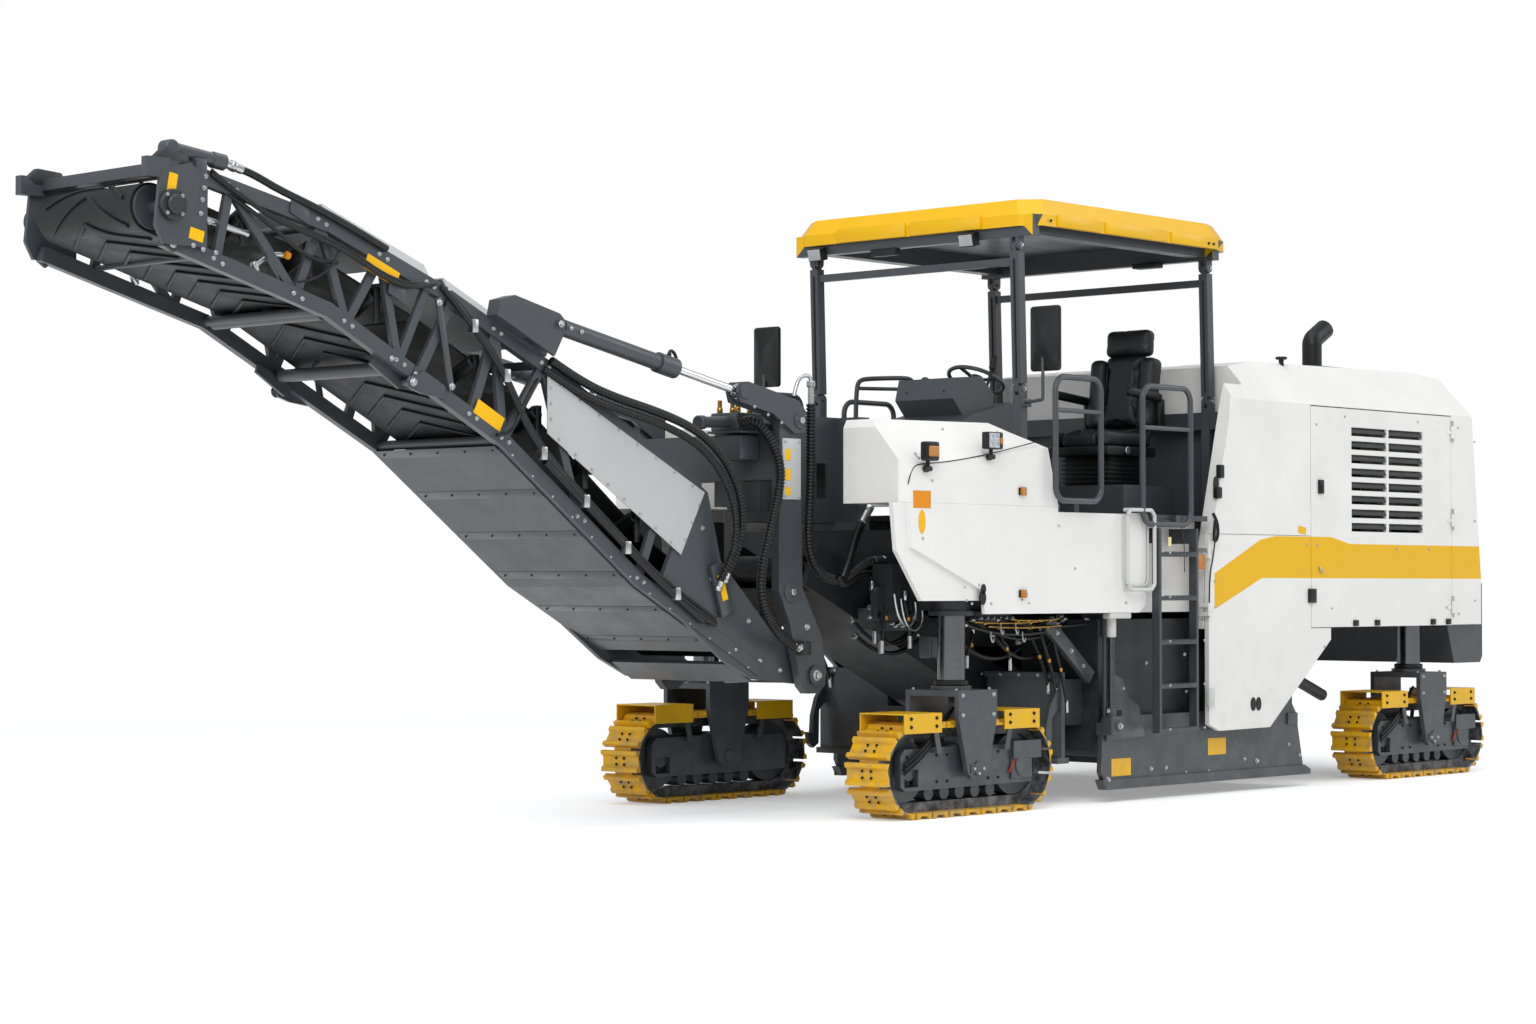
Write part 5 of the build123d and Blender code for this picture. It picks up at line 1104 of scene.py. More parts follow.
def driver_seat():
    """Vinyl cushions on a plastic shell, with seams, head rest and arm rests."""
    x, y = -2.41, 0.42
    pads = [cushion("seat_cushion", (x - 0.27, y - 0.155, 2.36), (x + 0.29, y + 0.155, 2.455), 0.035),
            cushion("back_cushion", (x - 0.305, y - 0.165, 2.49), (x - 0.200, y + 0.165, 3.035), 0.038,
                    -8, (x - 0.26, 0, 2.49)),
            cushion("head_cushion", (x - 0.402, y - 0.185, 3.005), (x - 0.290, y + 0.185, 3.195), 0.042,
                    -6, (x - 0.34, 0, 3.10)),]
    for side in (-1, 1):
        near, far = sorted((y + side * 0.165, y + side * 0.243))
        pads.append(cushion("seat_bolster", (x - 0.265, near, 2.365), (x + 0.285, far, 2.475), 0.032))
        near, far = sorted((y + side * 0.150, y + side * 0.275))
        pads.append(cushion("back_bolster", (x - 0.30, near, 2.50), (x - 0.160, far, 2.99), 0.045, -8,
                            (x - 0.26, 0, 2.49)))
    for piece in pads:
        blown(piece)
        choose(piece)
        bpy.ops.object.shade_smooth()
    pad = finished(joined("seat_pads", pads), "chassis", "black_plastic", seat_vinyl)
    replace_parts(pad, "seat")
    seams = []
    for side in (-1, 1):
        seams.append(hose("seam", [(x + 0.27, y + side * 0.160, 2.455),
                                   (x + 0.10, y + side * 0.160, 2.472),
                                   (x - 0.15, y + side * 0.160, 2.468),
                                   (x - 0.23, y + side * 0.152, 2.50)], 0.0035))
        seams.append(hose("seam", [(x - 0.215, y + side * 0.150, 2.51),
                                   (x - 0.245, y + side * 0.150, 2.70),
                                   (x - 0.278, y + side * 0.145, 2.95)], 0.0035))
    for z, dx in ((2.66, -0.232), (2.82, -0.256)):
        seams.append(hose("seam", [(x + dx, y - 0.14, z), (x + dx + 0.004, y, z), (x + dx, y + 0.14, z)],
                          0.003))
    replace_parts(finished(joined("seat_seams", seams), "chassis", "black_plastic", seam_thread), "seat")
    hard = [bar("suspension", at(x - 0.19, y - 0.19, 2.0933), at(x + 0.17, y + 0.19, 2.30), 0.012),
            bar("pan", at(x - 0.29, y - 0.255, 2.299), at(x + 0.27, y + 0.255, 2.365), 0.012)]
    shell = rounded(bar("back_shell", at(x - 0.335, y - 0.20, 2.44), at(x - 0.295, y + 0.20, 2.97), 0),
                    0.019)
    hard.append(leaned(shell, at(x - 0.31, 0, 2.44), -8))
    for n in range(6):
        hard.append(bar("fold", at(x - 0.20, y - 0.205, 2.115 + n * 0.03),
                        at(x + 0.18, y + 0.205, 2.128 + n * 0.03), 0.005))
    for side in (-1, 1):
        hard.append(round_bar("head_post", at(x - 0.335, y + side * 0.07, 2.97),
                              at(x - 0.345, y + side * 0.07, 3.06), 0.008))
        near, far = sorted((y + side * 0.284, y + side * 0.338))
        rest = rounded(bar("arm_rest", at(x - 0.26, near, 2.675), at(x + 0.12, far, 2.735), 0), 0.020, 4)
        hard.append(leaned(rest, at(x - 0.26, 0, 2.70), -5))
        hard.append(bar("arm_link", at(x - 0.30, near + 0.01, 2.50), at(x - 0.235, far - 0.012, 2.70),
                        0.01))
    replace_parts(finished(joined("seat_shell", hard), "chassis", "black_plastic", black_plastic), "seat")
    knobs = [round_bar("seat_knob", at(x + 0.06, y + 0.255, 2.335), at(x + 0.06, y + 0.275, 2.335), 0.028,
                       20, 0.004)]
    finished(joined("seat_knobs", knobs), "chassis", "steel", zinc)


# ---------------------------------------------------------------- fittings of the body and the conveyor
def oval(name, x, z, half_length, half_height, low, high, sides):
    """A low oval boss on a side."""
    boss = round_bar(name, at(x, low, z), at(x, high, z), 0.5, sides, 0.0)
    stretch = Matrix.Diagonal((half_length / 0.5, 1, half_height / 0.5, 1))
    boss.data.transform(Matrix.Translation(at(x, 0, z)) @ stretch @ Matrix.Translation(-at(x, 0, z)))
    return boss


def nose_details():
    """Seam, stickers, screws, latches, and black plates of painted shade in the cable recesses, on the
    front body.
    """
    plate_on("nose_sticker", 0.525, SIDE, 1.93, 0.165, 0.105, 0, slot="amber", finish=sticker_orange)
    clear_choice()
    bpy.ops.mesh.primitive_cylinder_add(vertices=32, radius=0.5, depth=1)
    tag = settle(bpy.context.object, "nose_tag")
    tag.data.transform(Matrix.Translation(at(0.526, SIDE + 0.0008, 1.795))
                       @ Matrix.Diagonal((0.066, 0.0016, 0.145, 1))
                       @ Matrix.Rotation(math.pi / 2, 4, "X"))
    finished(tag, "chassis", "yellow_paint", sticker_yellow)
    dots, screws = [], []
    for x, z in ((0.52, 1.695), (0.43, 2.045), (0.05, 1.30), (0.12, 1.40), (-0.02, 1.415), (-0.14, 1.30),
                 (0.10, 1.32), (-1.0, 1.52), (-0.83, 1.79), (-1.55, 1.30), (0.33, 2.36), (-0.2, 2.36)):
        screws.append((x, SIDE, z, (0, 1, 0), 0.7))
    for x, z in ((-0.45, 1.32), (-0.52, 1.30), (-0.5, 1.36)):
        screws.append((x, SIDE, z, (0, 1, 0), 0.6))
    bolts("nose_screws", "chassis", screws)
    for x, z, rx, rz in ((-0.055, 1.335, 0.030, 0.042), (-0.062, 1.39, 0.022, 0.030)):
        dots.append(oval("latch_port", x, z, rx, rz, SIDE - 0.004, SIDE + 0.007, 28))
    finished(joined("nose_ports", dots), "chassis", "black_plastic", black_plastic)
    # black plates on the nose's front: painted shade standing in for the dark of the cable recesses
    recess_shade_plate = rounded(bar("nose_recess_shade_plate", at(0.680, 0.545, 1.945), at(0.6935, 0.625, 2.165), 0), 0.006)
    finished(mirrored(recess_shade_plate), "chassis", "black_plastic", black_plastic)
    seam = hose("nose_seam", [(0.655, SIDE - 0.001, 2.02), (0.63, SIDE - 0.001, 2.09),
                              (0.60, SIDE - 0.001, 2.13), (0.54, SIDE, 2.145), (0.35, SIDE, 2.155),
                              (0.0, SIDE, 2.20), (-0.35, SIDE, 2.265), (-0.62, SIDE, 2.32)], 0.0035, 2)
    finished(seam, "chassis", "black_plastic", black_plastic)
    latches = []
    for x, z in ((0.60, 2.165), (-2.22, 1.80)):
        latches.append(hose("hook",
                            [(x, SIDE + 0.004, z + 0.045), (x - 0.006, SIDE + 0.018, z + 0.012),
                             (x - 0.022, SIDE + 0.018, z), (x - 0.042, SIDE + 0.006, z + 0.014)], 0.007))
    finished(joined("side_hooks", latches), "chassis", "steel", zinc)


def head_details():
    """Bearing hubs, bolts, hooks, cross beam and tensioner at the discharge end."""
    hubs, hub_nuts, spots = [], [], []
    for side in (-1, 1):
        face = side * HEAD_FACE
        hubs.append(round_bar("hub", at(DRUM_X, face, DRUM_Z), at(DRUM_X, face + side * 0.030, DRUM_Z),
                              0.078, 36, 0.006))
        hubs.append(round_bar("hub_cap", at(DRUM_X, face + side * 0.028, DRUM_Z),
                              at(DRUM_X, face + side * 0.052, DRUM_Z), 0.050, 32, 0.010))
        for n in range(4):
            turn = math.radians(45 + n * 90)
            spots.append((DRUM_X + 0.064 * math.cos(turn), face + side * 0.030,
                          DRUM_Z + 0.064 * math.sin(turn), (0, side, 0), 0.8))
        for x, z in ((5.345, 3.47), (5.355, 3.41), (5.365, 3.35), (5.375, 3.28), (5.32, 3.24),
                     (5.42, 3.115), (5.36, 3.10), (5.28, 3.09)):
            spots.append((x, face, z, (0, side, 0), 1.0))
        ear = sheet_of("hook", [(5.50 + FRONT, 3.50), (5.62 + FRONT, 3.50), (5.655 + FRONT, 3.535),
                                (5.60 + FRONT, 3.585), (5.45 + FRONT, 3.575), (5.43 + FRONT, 3.535)],
                       *sorted((side * 0.515, side * 0.560)), 0.008)
        hubs.append(ear)
        lug = sheet_of("lug", [(5.49 + FRONT, 3.17), (5.58 + FRONT, 3.17), (5.575 + FRONT, 3.10),
                               (5.53 + FRONT, 3.07), (5.49 + FRONT, 3.10)],
                       *sorted((side * 0.540, side * 0.562)), 0.004)
        hubs.append(lug)
        hub_nuts.append(round_bar("lug_bush", at(5.535, side * 0.536, 3.115),
                                  at(5.535, side * 0.567, 3.115), 0.021, 24, 0.003))
    finished(joined("head_hubs", hubs), "conveyor_front", "dark_paint", darker)
    finished(joined("head_lug_bushes", hub_nuts), "conveyor_front", "steel", zinc)
    bolts("head_bolts", "conveyor_front", spots)
    barrel = [round_bar("tension_barrel", at(5.50, 0.50, 3.60), at(5.27, 0.53, 3.565), 0.036, 28, 0.006),
              round_bar("tension_gland", at(5.28, 0.53, 3.566), at(5.20, 0.535, 3.556), 0.042, 28, 0.004),
              round_bar("tension_eye", at(5.52, 0.46, 3.60), at(5.52, 0.54, 3.60), 0.044, 28, 0.008),
              bar("tension_saddle", at(5.33, 0.49, 3.47), at(5.40, 0.57, 3.56), 0.008)]
    finished(joined("tensioner", barrel), "conveyor_front", "dark_paint", dark)
    union = [round_bar("tension_union", at(5.20, 0.535, 3.556), at(5.09, 0.54, 3.53), 0.024, 20, 0.004),
             round_bar("tension_nut", at(5.165, 0.537, 3.548), at(5.135, 0.539, 3.541), 0.031, 6, 0.003)]
    finished(joined("tensioner_union", union), "conveyor_front", "steel", zinc)
    line = [hose("tension_hose",
                 [(5.09, 0.54, 3.53), (5.02, 0.545, 3.515), (4.90, 0.55, 3.46), (4.70, 0.56, 3.40),
                  (4.50, 0.565, 3.335), (4.33, 0.565, 3.27), (4.15, 0.565, 3.20)], 0.020),
            hose("tension_hose_low", [(5.25, 0.53, 3.44), (5.0, 0.565, 3.30), (4.86, 0.565, 3.22),
                                      (4.72, 0.56, 3.13), (4.60, 0.555, 3.10), (4.48, 0.56, 3.10)],
                 0.011)]
    finished(joined("tensioner_hoses", line), "conveyor_front", "rubber", hose_rubber)
    spindle = []
    for side in (-1, 1):
        spindle.append(round_bar("spindle", at(5.30, side * 0.50, 3.265), at(5.02, side * 0.50, 3.21),
                                 0.017, 20, 0.003))
        spindle.append(round_bar("spindle_nut", at(5.20, side * 0.50, 3.245),
                                 at(5.17, side * 0.50, 3.239), 0.028, 6, 0.003))
        spindle.append(hose("drain",
                            [(4.98, side * 0.50, 3.05), (4.90, side * 0.50, 3.10),
                             (4.86, side * 0.50, 3.13), (4.80, side * 0.50, 3.12)], 0.013))
        spindle.append(round_bar("drain_fitting", at(4.98, side * 0.515, 3.02),
                                 at(5.00, side * 0.515, 3.07), 0.022, 6, 0.003))
    finished(joined("belt_spindles", spindle), "conveyor_front", "steel", zinc)
    cap = round_bar("drain_cap", at(4.78, 0.50, 3.125), at(4.75, 0.50, 3.118), 0.020, 20, 0.005)
    finished(cap, "conveyor_front", "amber", sticker_orange)
    beams = [bar("head_cross_beam", at(5.415, -0.52, 3.47), at(5.475, 0.52, 3.53), 0.006),
             bar("scraper_beam", at(5.22, -0.49, 3.075), at(5.26, 0.49, 3.10), 0.004)]
    finished(joined("head_beams", beams), "conveyor_front", "dark_paint", dark)


def fold_details():
    """Gussets, pivot caps, struts and belt idlers round the conveyor's fold."""
    plates, dark_parts, spots = [], [], []
    for side in (-1, 1):
        face = side * CHORD_FACE
        low, high = sorted((face + side * 0.0005, face + side * 0.010))
        for x, z in ((4.07, 2.96), (4.735, 3.33)):
            plates.append(sheet_of("gusset",
                                   [(x - 0.07 + FRONT, z - 0.05), (x + 0.06 + FRONT, z + 0.01),
                                    (x + 0.05 + FRONT, z + 0.09), (x - 0.06 + FRONT, z + 0.05)], low,
                                   high, 0.002))
        dark_parts.append(round_bar("pivot_cap", at(3.98, face + side * 0.022, 2.498),
                                    at(3.98, face + side * 0.034, 2.498), 0.036, 28, 0.004))
        spots += [(3.98, face + side * 0.034, 2.498, (0, side, 0), 1.8),
                  (4.10, face, 2.62, (0, side, 0), 1.2)]
    finished(joined("fold_gussets", plates), "conveyor_front", "dark_paint", dark)
    finished(joined("fold_caps", dark_parts), "conveyor_front", "dark_paint", dark)
    bolts("fold_bolts", "conveyor_front", spots)
    links, link_spots = [], []
    for side in (-1, 1):
        low, high = sorted((side * (CHORD_FACE + 0.0005), side * (CHORD_FACE + 0.012)))
        links.append(sheet_of("fold_strut",
                              [(3.66 + FRONT, 2.47), (3.70 + FRONT, 2.46), (3.80 + FRONT, 2.96),
                               (3.76 + FRONT, 2.975)], low, high, 0.003))
        for x, z in ((3.685, 2.49), (3.775, 2.94)):
            link_spots.append((x, side * (CHORD_FACE + 0.012), z, (0, side, 0), 1.5))
    finished(joined("fold_struts", links), "conveyor_rear", "dark_paint", dark)
    bolts("fold_strut_bolts", "conveyor_rear", link_spots)
    for body, name, spots in (("conveyor_front", "front", ((5.05, 3.12), (4.62, 2.99), (4.16, 2.78))),
                              ("conveyor_rear", "rear",
                               ((3.45, 2.46), (2.98, 2.20), (2.62, 1.93), (2.2, 1.63)))):
        made, pins = [], []
        for x, z in spots:
            for side in (-1, 1):
                start, end = at(x, side * 0.30, z + 0.10), at(x, side * 0.485, z + 0.185)
                made.append(round_bar("idler", start, end, 0.042, 28, 0.006))
                pins.append(round_bar("idler_pin", at(x, side * 0.485, z + 0.185),
                                      at(x, side * 0.50, z + 0.192), 0.014, 16))
                low, high = sorted((side * 0.49, side * 0.503))
                pins.append(bar("idler_foot", at(x - 0.02, low, z + 0.03), at(x + 0.02, high, z + 0.22),
                                0.002))
        finished(joined("idlers_" + name, made), body, "black_plastic", black_plastic)
        finished(joined("idler_pins_" + name, pins), body, "steel", dark_zinc)


def luff_details():
    """Clevis bolts, gland rings and hose loops of the luffing cylinders."""
    spots, rings, loops = [], [], []
    lower, upper = (1.442, 2.564), (2.957, 2.870)
    slope = Vector((upper[0] - lower[0], 0, upper[1] - lower[1])).normalized()
    for side in (-1, 1):
        y = side * 0.595
        pin = Vector((upper[0], y, upper[1]))
        for distance, radius in ((0.24, 0.048), (0.90, 0.052)):
            rings.append(round_bar("gland", at(*(pin - slope * distance)),
                                   at(*(pin - slope * (distance + 0.05))), radius, 28, 0.005))
        c = pin - slope * 0.93
        loops.append(round_bar("port", at(c.x, y, c.z), at(c.x - 0.015, y, c.z + 0.075), 0.014, 12, 0.003))
        loops.append(hose("port_loop",
                          [(c.x - 0.015, y, c.z + 0.075), (c.x - 0.02, y, c.z + 0.105),
                           (c.x - 0.08, y - side * 0.01, c.z + 0.09),
                           (c.x - 0.09, y - side * 0.01, c.z + 0.02)], 0.010))
        c = pin - slope * 0.13
        for dx in (-0.04, 0.04):
            spots.append((c.x + dx, y + side * 0.052, c.z + dx * 0.2, (0, side, 0), 1.0))
        spots.append((upper[0], y + side * 0.06, upper[1], (0, side, 0), 1.6))
    finished(joined("luff_glands", rings), "luff_barrels", "dark_paint", dark)
    finished(joined("luff_ports", loops), "luff_barrels", "black_plastic", black_plastic)
    bolts("luff_bolts", "luff_barrels", spots)


FIRST_STEP, STEP_RISE = 0.462, 0.289


def ladder_details():
    """Treads, guard frame, bolts and reflector beside the ladder."""
    treads = []
    for n in range(5):
        z = FIRST_STEP + n * STEP_RISE
        for k in range(9):
            x = -2.20 + k * 0.040
            treads.append(round_bar("tread_stud", at(x, 1.335, z + 0.011), at(x, 1.335, z + 0.018), 0.010,
                                    8, 0.0))
    finished(joined("ladder_studs", treads), "chassis", "dark_paint", dark)
    loop = [(-1.50, 1.87), (-1.50, 1.42), (-1.535, 1.385), (-1.765, 1.385), (-1.80, 1.42), (-1.80, 1.87),
            (-1.765, 1.905), (-1.535, 1.905)]
    runs = [hose("grab_run", [(a[0], SIDE + 0.05, a[1]), (b[0], SIDE + 0.05, b[1])], 0.013)
            for a, b in zip(loop, loop[1:] + loop[:1])]
    runs += [hose("grab_inner", [(a[0] * 0.86 - 0.231, SIDE + 0.012, a[1] * 0.9 + 0.164),
                                 (b[0] * 0.86 - 0.231, SIDE + 0.012, b[1] * 0.9 + 0.164)], 0.007)
             for a, b in zip(loop, loop[1:] + loop[:1])]
    for x in (-1.53, -1.77):
        for z in (1.385, 1.905):
            runs.append(round_bar("grab_foot", at(x, SIDE, z), at(x, SIDE + 0.05, z), 0.012, 16))
    finished(joined("grab_frame", runs), "chassis", "grey_metal", pale_tube)
    box = rounded(bar("side_reflector", at(-2.43, SIDE + 0.001, 1.52), at(-2.30, SIDE + 0.022, 1.62), 0),
                  0.006)
    finished(box, "chassis", "amber", amber)
    spots = []
    for x in (-1.85, -2.242):
        for n in range(5):
            spots.append((x, 1.385, FIRST_STEP + 0.008 + n * STEP_RISE, (0, 1, 0), 0.7))
    bolts("ladder_bolts", "chassis", spots)
    plate_on("ladder_label", -1.85, 1.385, 1.70, 0.035, 0.06, 0, finish=cream_label)
    seams = [hose("panel_line", [(-1.90, SIDE + 0.001, 1.86), (-2.20, SIDE + 0.001, 1.86),
                                 (-2.21, SIDE + 0.001, 1.85), (-2.21, SIDE + 0.001, 1.50)], 0.003),
             hose("locker_line", [(-2.46, SIDE + 0.001, 1.18), (-2.33, SIDE + 0.001, 1.18),
                                  (-2.28, SIDE + 0.001, 1.24), (-2.28, SIDE + 0.001, 1.64),
                                  (-2.30, SIDE + 0.001, 1.66), (-2.46, SIDE + 0.001, 1.66)], 0.003)]
    finished(joined("side_panel_lines", seams), "chassis", "black_plastic", seam_thread)


def door_details():
    """Handles, latches, hinges, vents and screws of the side door and the engine door."""
    black = []
    # side door: front handle with its strap, oval vents, hinge blocks
    black.append(hose("door_handle",
                      [(-2.53, SIDE + 0.01, 1.90), (-2.545, SIDE + 0.03, 1.86),
                       (-2.56, SIDE + 0.034, 1.80), (-2.55, SIDE + 0.034, 1.72),
                       (-2.525, SIDE + 0.02, 1.70), (-2.515, SIDE + 0.03, 1.76),
                       (-2.53, SIDE + 0.03, 1.85)], 0.011))
    black.append(hose("door_strap",
                      [(-2.54, SIDE + 0.02, 1.72), (-2.53, SIDE + 0.015, 1.62),
                       (-2.505, SIDE + 0.012, 1.54), (-2.492, SIDE + 0.006, 1.46),
                       (-2.492, SIDE + 0.004, 1.20)], 0.005))
    for x, z, rx, rz in ((-3.02, 0.60, 0.030, 0.046), (-3.085, 0.60, 0.030, 0.046),
                         (-2.58, 2.10, 0.03, 0.05)):
        black.append(oval("vent", x, z, rx, rz, SIDE - 0.002, SIDE + 0.006, 24))
    finished(joined("side_door_fittings", black), "side_door_left", "black_plastic", black_plastic)
    spots = [(x, SIDE, z, (0, 1, 0), 0.7)
             for x, z in ((-2.56, 1.44), (-2.57, 1.27), (-3.92, 0.98), (-2.54, 0.62), (-2.54, 1.72),
                          (-3.70, 1.70))]
    bolts("side_door_screws", "side_door_left", spots)
    white_parts = [bar("door_hinge", at(-2.52, SIDE + 0.001, 0.60), at(-2.455, SIDE + 0.030, 0.72), 0.006)]
    finished(joined("side_door_hinge", white_parts), "side_door_left", "grey_metal", pale_tube)
    # engine door
    black = [rounded(bar("paddle_latch", at(-3.905, SIDE + 0.0005, 2.06), at(-3.845, SIDE + 0.018, 2.16),
                         0), 0.006), rounded(bar("paddle", at(-3.892, SIDE + 0.014, 2.075),
                    at(-3.858, SIDE + 0.026, 2.125), 0), 0.004)]
    black.append(bar("seam_hinge", at(-3.80, SIDE + 0.001, 1.29), at(-3.71, SIDE + 0.020, 1.39), 0.006))
    for x in (-4.33, -4.62, -5.40, -5.62):
        black.append(bar("bottom_catch", at(x - 0.03, SIDE + 0.001, 1.122),
                         at(x + 0.03, SIDE + 0.016, 1.165), 0.005))
    finished(joined("engine_door_latches", black), "engine_door_left", "black_plastic", black_plastic)
    hooks = [hose("hook", [(-3.86, SIDE + 0.004, 1.545), (-3.866, SIDE + 0.018, 1.51),
                           (-3.885, SIDE + 0.018, 1.50), (-3.905, SIDE + 0.006, 1.52)], 0.007)]
    finished(joined("engine_door_hook", hooks), "engine_door_left", "steel", zinc)
    spots = [(x, SIDE, z, (0, 1, 0), 0.7)
             for x, z in ((-3.83, 1.70), (-4.9, 1.68), (-5.35, 1.68), (-4.2, 2.62), (-5.2, 2.62),
                          (-3.83, 2.55), (-4.02, 1.25), (-5.6, 1.25))]
    bolts("engine_door_screws", "engine_door_left", spots)
    plate_on("seam_sticker", -3.64, SIDE, 1.80, 0.10, 0.05, 8, body="side_door_left")
    hinges = []
    for z in (1.25, 1.9, 2.56):
        hinges.append(round_bar("hinge_pin", at(-5.68, SIDE + 0.014, z - 0.075),
                                at(-5.68, SIDE + 0.014, z + 0.075), 0.0068, 16, 0.002))
        hinges.append(round_bar("hinge_knob", at(-5.68, SIDE + 0.014, z + 0.075),
                                at(-5.68, SIDE + 0.014, z + 0.085), 0.010, 16, 0.002))
    finished(joined("hinge_pins", hinges), "chassis", "steel", zinc)
    fixed = [rounded(bar("lamp_switch", at(-2.66, SIDE - 0.02, 2.14), at(-2.61, SIDE + 0.020, 2.23), 0),
                     0.008), rounded(bar("socket", at(-2.63, SIDE - 0.02, 2.0),
                                         at(-2.57, SIDE + 0.024, 2.08), 0), 0.012)]
    finished(joined("column_switches", fixed), "chassis", "black_plastic", black_plastic)


def side_plate_details():
    """Stickers, ear, bolts and wear lip of the side plate."""
    face = 1.156
    for x in (-1.62, -2.72):
        plate_on("side_plate_sticker", x, face, 0.225 if x > -2 else 0.32, 0.215, 0.115, 0,
                 body="side_plate_left")
    ear = sheet_of("side_ear", [(-1.44 + FRONT, 0.40), (-1.46 + FRONT, 0.75), (-1.53 + FRONT, 0.83),
                                (-1.62 + FRONT, 0.80), (-1.68 + FRONT, 0.68), (-1.80 + FRONT, 0.62),
                                (-1.86 + FRONT, 0.42)], face + 0.0003, face + 0.020, 0.003)
    finished(ear, "side_plate_left", "dark_paint", dark)
    # a black plate on the ear: painted shade standing in for the dark inside its slot
    slot_shade_plate = rounded(bar("ear_slot_shade_plate", at(-1.60, face + 0.018, 0.50), at(-1.55, face + 0.024, 0.60), 0),
                        0.002)
    finished(slot_shade_plate, "side_plate_left", "black_plastic", black_plastic)
    spots = [(x, face, z, (0, 1, 0), s)
             for x, z, s in ((-1.47, 0.15, 1.5), (-1.95, 0.20, 1.2), (-2.05, 0.14, 0.9),
                             (-2.12, 0.20, 1.1), (-2.35, 0.16, 0.7), (-2.62, 0.16, 0.7),
                             (-3.05, 0.22, 1.0), (-3.2, 0.2, 1.4), (-3.3, 0.44, 1.0), (-2.0, 0.65, 1.2),
                             (-2.34, 0.95, 0.9), (-2.36, 0.70, 0.8), (-3.6, 0.3, 0.9), (-3.74, 0.22, 1.0),
                             (-1.9, 0.9, 1.0))]
    spots += [(-1.49, face + 0.02, 0.66, (0, 1, 0), 1.0), (-1.62, face + 0.02, 0.74, (0, 1, 0), 0.8)]
    bolts("side_plate_bolts", "side_plate_left", spots)
    lip = bar("wear_lip", at(-3.80, face + 0.0003, 0.085), at(-1.42, face + 0.012, 0.135), 0.004)
    finished(lip, "side_plate_left", "dark_paint", dark)


def rod_details():
    """Threaded rods over the side plates' ends, their clevises and the brackets above them."""
    y = 1.19
    thread = corrugated("lift_thread",
                        [(-1.47, y, 0.60), (-1.47, y, 0.75), (-1.47, y, 0.92), (-1.47, y, 1.075)], 0.025,
                        0.010)
    thread.data.materials.append(dark_column)
    for piece, side in ((thread, "left"), (right_twin(thread), "right")):
        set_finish(piece, "steel")
        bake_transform(piece)
    clevis = [round_bar("rod_foot", at(-1.47, y, 0.555), at(-1.47, y, 0.62), 0.034, 24, 0.004),
              rounded(bar("rod_clevis", at(-1.535, y - 0.03, 0.44), at(-1.405, y + 0.055, 0.565), 0),
                      0.016)]
    clevis.append(round_bar("rod_pin", at(-1.47, y + 0.04, 0.50), at(-1.47, y + 0.068, 0.50), 0.034, 28,
                            0.005))
    finished(joined("lift_clevis", clevis), "side_plate_left", "dark_paint", dark)
    bolts("lift_pin_bolts", "side_plate_left",
          [(-1.47, y + 0.068, 0.50, (0, 1, 0), 1.6), (-1.39, y + 0.03, 0.60, (0, 1, 0), 1.0)])
    top = [rounded(bar("rod_bracket", at(-1.61, 1.185, 1.196), at(-1.38, 1.252, 1.2345), 0), 0.010),
           round_bar("rod_collar", at(-1.47, y, 1.075), at(-1.47, y, 1.20), 0.032, 28, 0.005)]
    finished(joined("lift_brackets", top), "chassis", "grey_metal", pale_tube)


def repaint(name, chosen, finish):
    """Gives some faces of a CAD node a second finish; each is judged by its middle and direction."""
    mesh = nodes[name].data
    mesh.materials.append(finish)
    for face in mesh.polygons:
        if chosen(nodes[name].matrix_world @ face.center - Vector((FRONT, 0, 0)), face.normal):
            face.material_index = 1


def second_finishes():
    """Ground steel on the columns, yellow track guards, painted shade on the louvres and a dark frame under
    the canopy.
    """
    for name, x, side in TRACKS:
        repaint("leg_" + name, lambda spot, way: spot.z > 0.80, dark_column)
        repaint("track_frame_" + name, lambda spot, way: spot.z > 0.515 and abs(spot.x - x) > 0.30, yellow)
    # the louvre faces inside the engine doors' recess are painted near-black: painted shade standing in for
    # the dark of the open slots
    for side in ("left", "right"):
        repaint("engine_door_" + side, lambda spot, way: 1.21 < abs(spot.y) < 1.2465 and abs(way.y) > 0.3
                and -5.28 < spot.x < -4.28 and 1.78 < spot.z < 2.60, darker)
    repaint("canopy_roof", lambda spot, way: spot.z < 3.80
            and (way.z < -0.3 or spot.z < 3.70
                 or ((abs(spot.y) < 0.96 or way.y * spot.y > 0) and -2.995 < spot.x < -0.864
                     and abs(spot.y) < 1.03)), dark)


